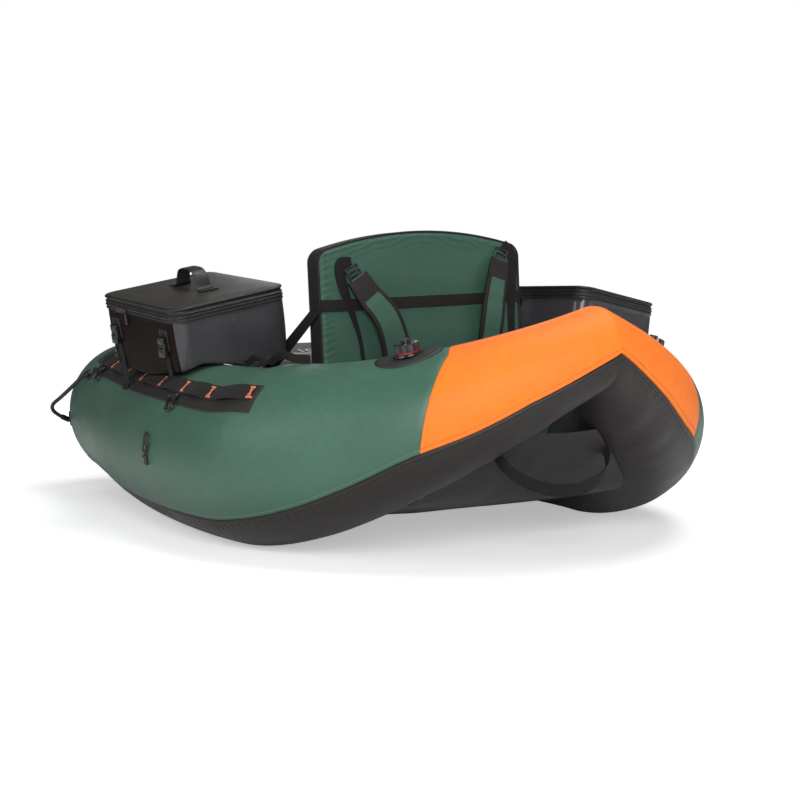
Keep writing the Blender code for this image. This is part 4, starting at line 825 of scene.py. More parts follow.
# The outer side wall's copy of the film: darker, brown and matt, painted shade.
BAG_SIDE_SHADED = Film("bag side film shaded", (0.0100, 0.0062, 0.0048), 0.55, pebble=300.0, dent=0.0030, scuff=0.03,
                grain=0.00002, shine=0.05)
BAG_TOP = Film("bag lid film", (0.030, 0.027, 0.021), 0.44, dent=0.0045, scuff=0.08, grain=0.00005)
BAG_TRIM = Film("bag zip trim", (0.0095, 0.008, 0.008), 0.50, pebble=600.0, dent=0.0008, gloss=0.03)
BAG_LINER = Film("bag liner", (0.42, 0.42, 0.41), 0.32, pebble=300.0)
ZIP_PATCH = Film("zip end patch", (0.034, 0.020, 0.026), 0.5, pebble=700.0, dent=0.0006)
BLACK_WEB = Webbing("black webbing", (0.009, 0.0075, 0.0075), 0.8)
DARK_WEB = Webbing("lash webbing", (0.011, 0.009, 0.0085), 0.8, pitch=0.0026)
NYLON = MouldedPlastic("black nylon", (0.010, 0.010, 0.011), 0.24)
RED = MouldedPlastic("red plastic", (0.10, 0.007, 0.006), 0.42)
CORD = Braid("black cord", (0.014, 0.012, 0.012), 0.5)
TACK = Thread("orange thread", (0.86, 0.19, 0.04), 0.65)
PRINT = MouldedPlastic("pale print", (0.55, 0.55, 0.52), 0.5)


# Tubes


@dataclass
class TubeLine:
    """The left tube's skin, by station along it and angle up from its outer side."""

    length: float = 1.671
    radius: float = 0.180
    tip_radius: float = 0.080
    taper_length: float = 0.63
    taper_power: float = 1.2
    tip_rise: float = 0.327
    tip_rise_length: float = 0.71
    tip_rise_power: float = 1.6
    front_rise: float = 0.031
    front_rise_length: float = 0.67
    headings: tuple = (68, 43, 23, 2, -5, -8, -4)
    steps: int = 400
    fade: float = 0.12
    gap: float = 0.0003
    front_margin: float = 0.0027
    hem_span: float = 0.60
    hem_angles: tuple = (-5, -18, -24, -24.5, -31.5, -37, -40)
    panel_length: float = 0.279
    panel_slant: float = 0.0217
    slant_fade: float = 0.40
    inner_raise: float = 56.0
    inner_from: float = 0.12
    inner_to: float = 0.45
    inner_fade: float = 0.20
    seam: float = field(init=False)

    def __post_init__(self) -> None:
        """Works out the centre line: x' = -sin(heading), y' = cos(heading)."""
        self.station = np.linspace(0, self.length, self.steps + 1)
        self.heading = np.radians(curve_through(self.headings, self.station / self.length))
        step = self.length / self.steps
        across, ahead = -np.sin(self.heading), np.cos(self.heading)
        self.x = np.concatenate([[0], np.cumsum((across[1:] + across[:-1]) / 2 * step)])
        run = np.concatenate([[0], np.cumsum((ahead[1:] + ahead[:-1]) / 2 * step)])
        front = run[-1] + self.radius + self.front_margin
        self.y = run + (self.tip_radius / math.sin(self.heading[0]) - front) / 2
        self.seam = self.panel_length
        for _ in range(30):
            self.seam = float(self.panel_edge(self.hem(np.array([self.seam]))[0]))

    def girth(self, station: Array) -> Array:
        """The tube's radius: R - (R - r)(1 - s / taper)^power."""
        left = np.clip(1 - station / self.taper_length, 0, 1)
        return self.radius - (self.radius - self.tip_radius) * left**self.taper_power

    def centre(self, station: Array) -> tuple:
        """Centre points, tangents and outward directions at stations."""
        x, y, heading = (np.interp(station, self.station, v) for v in (self.x, self.y, self.heading))
        left = np.clip(1 - station / self.tip_rise_length, 0, 1)
        front = np.clip((station - self.length + self.front_rise_length) / self.front_rise_length, 0, 1)
        base = self.tip_rise * left**self.tip_rise_power + self.front_rise * front**2
        zero = np.zeros_like(x)
        centre = np.stack([x, y, base + self.girth(station)], -1)
        tangent = np.stack([-np.sin(heading), np.cos(heading), zero], -1)
        return centre, tangent, np.stack([-np.cos(heading), -np.sin(heading), zero], -1)

    def skin(self, station: Array, angle: Array, lift: Array = 0.0) -> Array:
        """Points on the skin: centre + (r + lift)(cos a outward + sin a up), domed past the tube's length and
        slid along to the mitre between the tubes near the tip.

        Args:
            station: Distance along the tube, in metres.
            angle: Angle up from the outer side, in radians.
            lift: Distance off the skin.

        Returns:
            The points, for the left tube.
        """
        station, angle, lift = np.broadcast_arrays(station, angle, lift)
        on_tube = np.minimum(station, self.length)
        centre, tangent, outward = self.centre(on_tube)
        radius = self.girth(on_tube)
        over = np.clip((station - self.length) / self.radius, 0, math.pi / 2)
        ring = (radius + lift) * np.cos(over)
        ahead = (self.radius + lift) * np.sin(over)
        spoke = np.cos(angle)[..., None] * outward + np.sin(angle)[..., None] * np.array([0.0, 0.0, 1.0])
        points = centre + tangent * ahead[..., None] + spoke * ring[..., None]
        _, first_tangent, first_outward = self.centre(np.zeros(1))
        reach = (self.tip_radius + lift) * np.cos(angle) * first_outward[0, 0]
        slide = (-self.gap / 2 - reach) / first_tangent[0, 0]
        fade = np.clip(1 - station / self.fade, 0, 1)
        return points + tangent * (slide * fade)[..., None]

    def hem(self, station: Array) -> Array:
        """The hem's angle along the tube, in radians."""
        return np.radians(curve_through(self.hem_angles, np.asarray(station, float) / self.hem_span))

    def inner_hem(self, station: Array) -> Array:
        """The hem's angle on the inner side, raised where the tubes close the tail, in radians."""
        at = np.asarray(station, float)
        raised = step_up(at, 0.0,
                         self.inner_from) * (1 - step_up(at, self.inner_to, self.inner_to + self.inner_fade))
        return self.hem(at) + math.radians(self.inner_raise) * raised

    def panel_edge(self, angle: Array) -> Array:
        """Where the tip panel ends at an angle."""
        return self.panel_length - self.panel_slant * np.minimum(angle, math.pi - angle)

    def slanted(self, station: Array, angle: Array) -> Array:
        """Stations of rings over the top, leaning as the tip panel's edge does."""
        over = np.minimum(angle - self.hem(station), math.pi - self.inner_hem(station) - angle)
        fading = 1 - (station - self.seam) / self.slant_fade
        lean = np.where(station <= self.seam, station / self.seam, np.clip(fading, 0, 1))
        return station - self.panel_slant * over * lean

    def clearance(self, points: Array) -> Array:
        """How far each point is outside the left tube's skin."""
        centre = self.centre(self.station)[0]
        away = np.linalg.norm(points[:, None] - centre[None], axis=2)
        return (away - self.girth(self.station)).min(axis=1)

    def half_width(self, y: Array, height: Array, lift: float) -> Array:
        """How far the free width between the tubes reaches to a side, by halving the range 40 times."""
        centre = self.centre(self.station)[0]
        level = (self.girth(self.station) + lift) ** 2 - (centre[:, 2] - height[:, None]) ** 2

        def blocked(width: Array) -> Array:
            """Whether the tube's nearest upright ring reaches in to this width."""
            plan = (centre[:, 0] + width[:, None]) ** 2 + (centre[:, 1] - y[:, None]) ** 2
            ring = plan.argmin(axis=1)[:, None]
            return ~(np.take_along_axis(plan - level, ring, 1)[:, 0] > 0)

        return halved(np.zeros(len(y)), np.full(len(y), float(-centre[:, 0].min())), 40, blocked)[0]

    def frame(self, side: Side, station: float, angle: float) -> Matrix:
        """A matrix on the skin: Z out of it, Y along the tube, X up the skin on the left."""
        turn = math.radians(angle)
        at, ahead, higher = (side.mirror(self.skin(np.array(station + a), np.array(turn + b)))
                             for a, b in ((0, 0), (0.002, 0), (0, 0.01)))
        along = Vector(ahead - at).normalized()
        up = along.cross(Vector(higher - at)).normalized() * side.value
        across = along.cross(up)
        return Matrix.Translation(Vector(at)) @ Matrix((across, along, up)).transposed().to_4x4()


TUBE = TubeLine()


@dataclass
class TubeCover:
    """One tube's sewn cover over its bladder: orange tip panel, green top panel and charcoal base."""

    side: Side
    tip_rows: int = 110
    main_rows: int = 300
    top_columns: int = 84
    base_columns: int = 72
    dome_angle: float = 84.0
    bladder_depth: float = 0.0045
    pucker_pitch: float = 0.017

    def seam_relief(self, off: Array, along: Array, strength: float) -> Array:
        """Lift near a hem: the folded edge dips, the felled strip stands proud, and puckers fade inwards.

        Args:
            off: Distance from the hem.
            along: Distance along the hem.
            strength: Height of the puckers.

        Returns:
            The lift, in metres.
        """
        roll = -0.0032 * bell(off, 0.0, 0.0016)
        felled = 0.0007 * step_up(off, 0.0, 0.002) * (1 - step_up(off, 0.0065, 0.0085))
        slack = Unevenness(5)
        pitch = self.pucker_pitch
        wave = np.sin(math.tau * along / pitch + 2.2 * slack.at(along / 0.11, off / 0.05))
        height = 0.5 + 0.5 * slack.at(along / 0.07 + 9, off * 0)
        puckers = strength * height * wave * step_up(off, 0.004, 0.012) * (1 - step_up(off, 0.016, 0.042))
        return roll + felled + puckers

    def top_points(self, station: Array) -> tuple:
        """The grid over the top from the outer hem to the inner one, with seam coordinates.

        Args:
            station: Stations of its rings along the hem.

        Returns:
            Points, hints of the way out, pattern places and seam places.
        """
        ring = station[:, None]
        radius = TUBE.girth(np.minimum(ring, TUBE.length))
        edge, inner = TUBE.hem(ring) + TUBE.gap / 2 / radius, TUBE.inner_hem(ring) + TUBE.gap / 2 / radius
        share = np.linspace(-1, 1, self.top_columns + 1)
        share = (0.5 + 0.5 * np.sin(share * math.pi / 2) * 0.45 + 0.5 * share * 0.55)
        angle = edge + (math.pi - edge - inner) * share
        lean = TUBE.slanted(ring + 0 * angle, angle)
        girth_way = radius * (angle - edge)
        off_hem = np.minimum(girth_way, radius * (math.pi - inner - angle))
        off_seam = np.abs(ring - TUBE.seam) + 0 * angle
        lift = self.seam_relief(off_hem, ring, 0.0006) - 0.0012 * bell(off_seam, 0.0, 0.0011)
        lift = lift - 0.0022 * bell(ring + 0 * angle, 0.0, 0.004)
        swell = Unevenness(11)
        lift = lift + 0.0005 * swell.at(ring / 0.16, girth_way / 0.12)
        points = TUBE.skin(lean, angle, lift)
        hint = TUBE.skin(lean, angle, lift + 0.01) - points
        pattern = np.stack([lean, girth_way], -1)
        return self.side.mirror(points), self.side.mirror(hint), pattern, np.stack([ring + 0 * off_hem,
                                                                                    off_hem], -1)

    def base_points(self, station: Array) -> tuple:
        """The grid under the tube from the inner hem to the outer one, with seam coordinates."""
        ring = station[:, None]
        radius = TUBE.girth(np.minimum(ring, TUBE.length))
        edge, inner = TUBE.hem(ring) - TUBE.gap / 2 / radius, TUBE.inner_hem(ring) - TUBE.gap / 2 / radius
        share = np.linspace(-1, 1, self.base_columns + 1)
        share = 0.5 + 0.5 * np.sin(share * math.pi / 2) * 0.5 + 0.5 * share * 0.5
        angle = -math.pi - inner + (math.pi + edge + inner) * share
        way = radius * (angle + math.pi + inner)
        width = radius * (math.pi + edge + inner)
        off = np.minimum(way, width - way)
        lift = self.seam_relief(off, ring, 0.0013)
        slack = Unevenness(23)
        tip = 1 - step_up(ring, 0.05, 0.34)
        folds = np.sin(math.tau * (ring / 0.13 + way / 0.3) + 4.2 * slack.at(ring / 0.14, way / 0.11))
        uneven = 0.5 + 0.5 * slack.at(ring / 0.07 + 5, way / 0.12 + 5)
        lift = lift + 0.0020 * tip * folds * uneven * step_up(off, 0.01, 0.05)
        low = 1 - step_up(np.abs(angle + math.pi / 2), 0.10, 0.5)
        resting = step_up(ring, 0.55, 0.75)
        lift = np.where(low * resting > 0.02, lift * (1 - low * resting) - 0.0002, lift)
        lift = lift - 0.0022 * bell(ring + 0 * angle, 0.0, 0.004)
        lift = lift + 0.0006 * slack.at(ring / 0.13 + 3, way / 0.1) * (1 - low * resting)
        points = TUBE.skin(ring + 0 * angle, angle, lift)
        hint = TUBE.skin(ring + 0 * angle, angle, lift + 0.01) - points
        pattern = np.stack([ring + 0 * way, way], -1)
        return self.side.mirror(points), self.side.mirror(hint), pattern, np.stack([ring + 0 * way, off], -1)

    def panel(self, name: str, grids: tuple, finish: Finish, slot: str) -> bpy.types.Object:
        """One panel as a piece that stands for its node, with its seam coordinates in a second map."""
        points, hint, pattern, seam = grids
        node = f"{self.side.word}_{name}"
        piece = make(f"{node}_sewn", open_sheet(points, hint, pattern), [finish], "hull", [node], 60)
        layer = piece.data.uv_layers.new(name="Seam")
        index = np.empty(len(piece.data.loops), np.int32)
        piece.data.loops.foreach_get("vertex_index", index)
        layer.data.foreach_set("uv", seam.reshape(-1, 2)[index].astype(np.float32).reshape(-1))
        return piece

    def bladder(self) -> None:
        """The air-filled bladder: the cover's skin at a constant depth inside it, closed by its dome."""
        end = TUBE.length + TUBE.radius * math.radians(89)
        ring = np.concatenate([np.linspace(0.004, TUBE.length, 150), np.linspace(TUBE.length, end, 26)[1:]])
        angle = np.linspace(0, math.tau, 64, endpoint=False)
        crease = 0.0008 * np.sin(angle * 9)[None] * bell(ring, 0.0, 0.06)[:, None]
        rows = TUBE.skin(ring[:, None], angle[None], crease - self.bladder_depth)
        make(f"{self.side.word}_bladder_film", lathe_rows(self.side.mirror(rows)), [BLADDER], "hull",
             [f"{self.side.word}_bladder"], 60)

    def build(self) -> None:
        """Builds the three panels and the bladder."""
        tip = np.linspace(0, TUBE.seam, self.tip_rows)
        end = TUBE.length + TUBE.radius * math.radians(self.dome_angle)
        tip[-1] = TUBE.seam - TUBE.gap / 2
        main = np.linspace(TUBE.seam, end, self.main_rows)
        main[0] = TUBE.seam + TUBE.gap / 2
        every = np.linspace(0, end, self.tip_rows + self.main_rows)
        self.panel("cover_tip", self.top_points(tip), ORANGE, "orange_fabric")
        self.panel("cover_top", self.top_points(main), GREEN, "green_fabric")
        self.panel("cover_base", self.base_points(every), CHARCOAL, "black_fabric")
        self.bladder()


@dataclass
class SkinPatch:
    """A thin welded patch on the skin, oval or round, with a bevelled rim."""

    side: Side
    station: float
    angle: float
    half_length: float
    half_width: float
    low: float
    high: float
    bevel: float = 0.0035

    def surface(self) -> Surface:
        """Rings from the middle to the rim; the lift is the top's, rounding off over the bevel's width."""
        reach = np.concatenate([np.linspace(0.02, 0.9, 16), 1 - np.geomspace(0.1, 0.001, 14) + 0.001])
        off = (1 - reach) * self.half_width
        lift = 0.0003 + (self.high - 0.0003) * round_edge(off, self.bevel)
        turn = np.linspace(0, math.tau, 96, endpoint=False)
        radius = float(TUBE.girth(np.array(min(self.station, TUBE.length))))
        station = self.station + self.half_length * reach[:, None] * np.cos(turn)
        angle = math.radians(self.angle) + self.half_width / radius * reach[:, None] * np.sin(turn)
        rows = self.side.mirror(TUBE.skin(station, angle, lift[:, None]))
        uv = np.stack([reach[:, None] * self.half_length * np.cos(turn),
                       reach[:, None] * self.half_width * np.sin(turn)], -1)
        return lathe_rows(rows, uv)


@dataclass
class Valve:
    """The valve's oval patch, and the finishes of its body, ring and cap."""

    side: Side

    def build(self) -> None:
        """Builds the patch and dresses the moulded pieces."""
        word = self.side.word
        patch = SkinPatch(self.side, 0.335, 77, 0.062, 0.050, 0.0014, 0.0029)
        make(f"{word}_valve_patch_welded", patch.surface(), [PATCH], "hull",
             [f"{word}_valve_patch"])
        dress_node(f"{word}_valve_body", NYLON)
        dress_node(f"{word}_valve_cap", NYLON)
        dress_node(f"{word}_valve_ring", RED)


@dataclass
class EndPatch:
    """The round patch on the front dome."""

    side: Side
    radius: float = 0.058
    high: float = 0.0027

    def build(self) -> None:
        """Rings about the dome's pole, station = pole - reach, with a bevelled rim."""
        reach = np.concatenate([np.linspace(0.02, 0.92, 14),
                                1 - np.geomspace(0.08, 0.001, 10) + 0.001]) * self.radius
        rise = round_edge(self.radius - reach, 0.0035)
        turn = np.linspace(0, math.tau, 80, endpoint=False)
        pole = TUBE.length + TUBE.radius * math.pi / 2
        rows = TUBE.skin(pole - reach[:, None], turn[None], (0.0003 + (self.high - 0.0003) * rise)[:, None])
        word = self.side.word
        make(f"{word}_end_patch_welded", lathe_rows(self.side.mirror(rows)), [PATCH], "hull",
             [f"{word}_end_patch"])


@dataclass
class LashingStrip:
    """The welded strip on a tube's outer top: webbing sewn in loops, tacks, rings and an adjuster."""

    side: Side
    start: float = 0.585
    end: float = 1.560
    width: float = 0.066
    high: float = 0.0032
    web_width: float = 0.038
    web_offset: float = 0.0105
    web_thickness: float = 0.0016
    loop_rise: float = 0.0060
    tacks: tuple = (0.597, 0.712, 0.817, 0.951, 1.106, 1.261, 1.441, 1.548)
    bevel: float = 0.003
    seam_inset: float = 0.006
    seam_width: float = 0.0012
    seam_depth: float = 0.0005
    wave: float = 0.0006
    ring_places: tuple = (0.817, 1.483)
    ring_half: tuple = (0.0135, 0.0165)
    ring_corner: float = 0.005
    ring_wire: float = 0.0029
    ring_degrees: float = -18.0
    tab_width: float = 0.017
    lock_station: float = 1.535
    lock_ahead_degrees: float = 4.5
    lock_tilt_degrees: float = -14.0
    lock_size: tuple = (0.052, 0.036, 0.0065, 0.0055)

    @property
    def angles(self) -> tuple:
        """The strip's angle up the tube at even steps, in degrees."""
        return (41, 47, 50, 51.5, 50) if self.side is Side.LEFT else (33, 44, 50, 51.5, 50)

    def angle(self, station: Array) -> Array:
        """The strip's angle at a station, in radians."""
        return np.radians(curve_through(self.angles, (station - self.start) / (self.end - self.start)))

    def on_skin(self, station: Array, across: Array, lift: Array) -> Array:
        """Points on the skin at a distance across the strip, upwards."""
        angle = self.angle(station) + across / TUBE.girth(station)
        return self.side.mirror(TUBE.skin(station, angle, lift))

    def strip(self) -> None:
        """The strip: a slab whose top rounds off at its rim."""
        station = np.linspace(self.start, self.end, 240)[:, None]
        across = np.linspace(-self.width / 2, self.width / 2, 37)[None]
        off = np.minimum(self.width / 2 - np.abs(across),
                         np.minimum(station - self.start, self.end - station))
        rise = round_edge(off, self.bevel)
        stitch = self.seam_depth * bell(off, self.seam_inset, self.seam_width)
        wave = self.wave * Unevenness(31).at(station / 0.05, across / 0.02) * step_up(off, 0.004, 0.012)
        top = self.on_skin(station, across, 0.0004 + (self.high - 0.0004) * rise - stitch + wave)
        low = self.on_skin(station, across, 0.0002 + 0 * off)
        node = f"{self.side.word}_lash_strip"
        make(f"{node}_welded", slab(top, low), [STRIP], "hull", [node])

    def webbing(self) -> None:
        """The webbing: between tacks its lift is rise sin^2(pi t), fuller towards one end of each loop."""
        station, rise = [], []
        for first, last in zip(self.tacks, self.tacks[1:]):
            share = np.linspace(0, 1, 26, endpoint=False)
            station.append(first + (last - first) * share)
            rise.append(self.loop_rise * np.sin(math.pi * share**0.8) ** 2)
        station = np.concatenate(station + [[self.tacks[-1]]])[:, None]
        rise = np.concatenate(rise + [[0.0]])[:, None]
        across = np.linspace(-self.web_width / 2, self.web_width / 2, 13)[None]
        thin = 1 - 0.8 * step_up(np.abs(across), self.web_width / 2 - 0.002, self.web_width / 2)
        droop = 1 - 0.25 * (across / self.web_width * 2)
        low = self.high + 0.0002 + rise * droop
        top = self.on_skin(station, across + self.web_offset, low + self.web_thickness * thin)
        under = self.on_skin(station, across + self.web_offset, low)
        uv = np.stack(np.broadcast_arrays(station, across), -1)
        node = f"{self.side.word}_lash_webbing"
        make(f"{node}_sewn", slab(top, under, uv), [DARK_WEB], "hull", [node])

    def tack(self, station: float) -> Surface:
        """One bar tack: a satin bar across the webbing with a short bar at each end, leaning a little."""
        half = 0.0125
        lift = self.high + self.web_thickness
        made = []
        bars = (((-0.004, -half), (0.004, half), 0.0042), ((-0.0105, -half), (0.0030, -half), 0.0040),
                ((-0.0030, half), (0.0105, half), 0.0040), ((0.0034, -half), (-0.0034, half), 0.0024))
        for (s0, a0), (s1, a1), width in bars:
            share = np.linspace(0, 1, 9)
            places = station + s0 + (s1 - s0) * share
            across = a0 + (a1 - a0) * share + self.web_offset
            path = self.on_skin(places, across, lift + 0 * share)
            out = unit(self.on_skin(places, across, lift + 0.01 + 0 * share) - path)
            side = np.cross(unit(np.gradient(path, axis=0)), out)
            made.append(strap(path, side, width, 0.0013, 8))
        return joined_up(made)

    def ring(self, station: float) -> tuple:
        """A rectangular ring that hangs over the strip's lower edge, and the webbing tab that holds it."""
        drop = -self.width / 2 + 0.001
        outline = rounded_outline(*self.ring_half, self.ring_corner, 5, 3)
        turn = math.radians(self.ring_degrees)
        along = outline[:, 0] * math.cos(turn) - outline[:, 1] * math.sin(turn)
        across = outline[:, 0] * math.sin(turn) + outline[:, 1] * math.cos(turn)
        lift = 0.0058 + 0.0035 * step_up(across, -0.012, 0.012)
        path = self.on_skin(station + along, drop + across, lift)
        spread = np.linspace(-0.004, 0.026, 12)
        tab_lift = self.high + 0.0006 + 0.0062 * bell(spread, -0.001, 0.007)
        at, up = np.full(12, station - 0.004), drop + 0.010 + spread
        tab = self.on_skin(at, up, tab_lift)
        out = unit(self.on_skin(at, up, tab_lift + 0.01) - tab)
        sideways = np.cross(unit(np.gradient(tab, axis=0)), out)
        return closed_rod(path, self.ring_wire), strap(tab, sideways, self.tab_width, self.web_thickness)

    def adjuster(self) -> tuple:
        """The wide ladder lock on the webbing's front end, and the doubled webbing through it."""
        angle = math.degrees(float(self.angle(np.array(self.lock_station)))) + self.lock_ahead_degrees
        place = TUBE.frame(self.side, self.lock_station, angle)
        turned = place @ Matrix.Rotation(math.radians(self.lock_tilt_degrees * -self.side.value), 4, "Z")
        lock = ladder_lock(turned @ Matrix.Translation((0, 0.010, 0.0125)), *self.lock_size)
        share = np.linspace(0, 1, 20)
        lift = 0.0065 + 0.0075 * np.sin(math.pi * share) ** 2
        path = np.stack([0 * share, -0.030 + 0.060 * share, lift], -1)
        across = moved(np.array([[1.0, 0, 0]]), turned)[0] - np.array(place.translation)
        return lock, strap(moved(path, turned), across, self.web_width, self.web_thickness)

    def build(self) -> None:
        """Builds the strip with everything sewn to it."""
        word = self.side.word
        self.strip()
        self.webbing()
        tacks = joined_up([self.tack(station) for station in (*self.tacks[1:-1], self.tacks[0] + 0.004)])
        make(f"{word}_bar_tacks", tacks, [TACK], "hull")
        for number, station in enumerate(self.ring_places, 1):
            ring, tab = self.ring(station)
            make(f"{word}_lash_ring_{number}", ring, [NYLON], "hull")
            make(f"{word}_ring_tab_{number}", tab, [DARK_WEB], "hull")
        lock, web = self.adjuster()
        make(f"{word}_strip_adjuster", lock, [NYLON], "hull")
        make(f"{word}_adjuster_webbing", web, [DARK_WEB], "hull")


def ladder_lock(matrix: Matrix, width: float, height: float, bar: float, thickness: float) -> Surface:
    """A ladder lock: two rails and three cross bars with rounded edges, the middle bar raised.

    Args:
        matrix: Its place, with X across it and Y along the webbing.
        width: Its width.
        height: Its length along the webbing.
        bar: Width of a bar.
        thickness: Its thickness.

    Returns:
        The surface.
    """
    bevel = thickness * 0.3
    parts = []
    rail = (bar, height, thickness)
    rung = (width - bar, bar, thickness)
    for size, at in ((rail, (width / 2 - bar / 2, 0, 0)), (rail, (bar / 2 - width / 2, 0, 0)),
                     (rung, (0, height / 2 - bar / 2, 0)), (rung, (0, bar / 2 - height / 2, 0)),
                     (rung, (0, 0, thickness * 0.25))):
        parts.append(box_surface(size, bevel, matrix @ Matrix.Translation(at)).outward())
    return joined_up(parts)


@dataclass
class Cords:
    """The rope handle at the tube's front end and the tether loop on its side, on the solids' routes."""

    side: Side
    rope_radius: float = 0.0050
    loop_radius: float = 0.0022
    cuff_wall: float = 0.0022
    patch_half: tuple = (0.024, 0.020)
    patch_high: float = 0.0028
    lock_centre: tuple = (-0.6205, -0.1005, 0.1935)
    lock_radius: float = 0.0052
    lock_length: float = 0.015
    rope_route: tuple = (
        (-0.5115, 0.6217, 0.3186), (-0.5285, 0.6450, 0.3038), (-0.5480, 0.6700, 0.2780),
        (-0.5700, 0.6900, 0.2520), (-0.5860, 0.7080, 0.2330), (-0.5830, 0.7230, 0.2170),
        (-0.5640, 0.7380, 0.2020), (-0.5341, 0.7561, 0.1876),
    )
    loop_route: tuple = (
        (-0.6190, -0.1035, 0.1803), (-0.6195, -0.1095, 0.1920), (-0.6185, -0.1130, 0.2040),
        (-0.6165, -0.1090, 0.2180), (-0.6150, -0.0990, 0.2260), (-0.6160, -0.0900, 0.2190),
        (-0.6180, -0.0895, 0.2040), (-0.6190, -0.0945, 0.1920), (-0.6190, -0.0985, 0.1803),
    )

    def cord(self, name: str, route: Sequence, radius: float, points: int) -> None:
        """One cord along a smooth curve through its route."""
        path = curve_through(self.side.mirror(np.array(route)), np.linspace(0, 1, points))
        node = f"{self.side.word}_{name}"
        piece = make(f"{node}_braided", rod(path, radius, 16), [CORD], "hull", [node])

    def build(self) -> None:
        """Builds both cords and dresses the tab that holds the loop."""
        word = self.side.word
        self.cord("rope_handle", self.rope_route, self.rope_radius, 60)
        self.cord("tether_loop", self.loop_route, self.loop_radius, 50)
        self.rope_ends()
        self.loop_lock()
        dress_node(f"{word}_tether_tab", NYLON)

    def rope_ends(self) -> None:
        """At each end of the rope a welded patch on the skin and a cuff around the rope."""
        places = curve_through(self.side.mirror(np.array(self.rope_route)), np.linspace(0, 1, 60))
        stations = np.linspace(1.2, TUBE.length + 0.25, 240)[:, None]
        angles = np.radians(np.linspace(-60, 120, 181))[None]
        skin = self.side.mirror(TUBE.skin(stations, angles))
        for name, end, cuff in (("upper", places[0], places[:6]), ("lower", places[-1], places[:-7:-1])):
            far = np.linalg.norm(skin - end, axis=2)
            row, column = np.unravel_index(far.argmin(), far.shape)
            place = float(stations[row, 0]), math.degrees(angles[0, column])
            patch = SkinPatch(self.side, *place, *self.patch_half, 0.0, self.patch_high)
            make(f"{self.side.word}_rope_patch_{name}", patch.surface(), [PATCH], "hull")
            root = skin[row, column] + (end - skin[row, column]) * 0.4
            path = curve_through(np.concatenate([root[None], cuff]), np.linspace(0, 1, 14))
            sleeve = rod(path, self.rope_radius + self.cuff_wall, 16)
            make(f"{self.side.word}_rope_cuff_{name}", sleeve, [NYLON], "hull")

    def loop_lock(self) -> None:
        """The small cord lock on the loop: a ribbed barrel with a round button."""
        centre = self.side.mirror(np.array(self.lock_centre))
        share = np.linspace(0, 1, 24)
        radius = self.lock_radius * (1 - 0.25 * (2 * share - 1) ** 6) + 0.0005 * np.sin(share * 28) ** 2
        path = centre + np.stack([0 * share, 0 * share, (share - 0.5) * self.lock_length], -1)
        make(f"{self.side.word}_loop_lock", rod(path, radius, 20, 0.8), [NYLON], "hull")


# Tail, seat and apron


def one_side_area(points: Array) -> float:
    """Area of a grid of points: half the cross product of each cell's diagonals."""
    first = points[1:, 1:] - points[:-1, :-1]
    second = points[1:, :-1] - points[:-1, 1:]
    return float(np.linalg.norm(np.cross(first, second), axis=2).sum() / 2)


def grid_normals(points: Array) -> Array:
    """Unit normals of a grid of points, from its steps along rows and columns."""
    return unit(np.cross(np.gradient(points, axis=1), np.gradient(points, axis=0)))


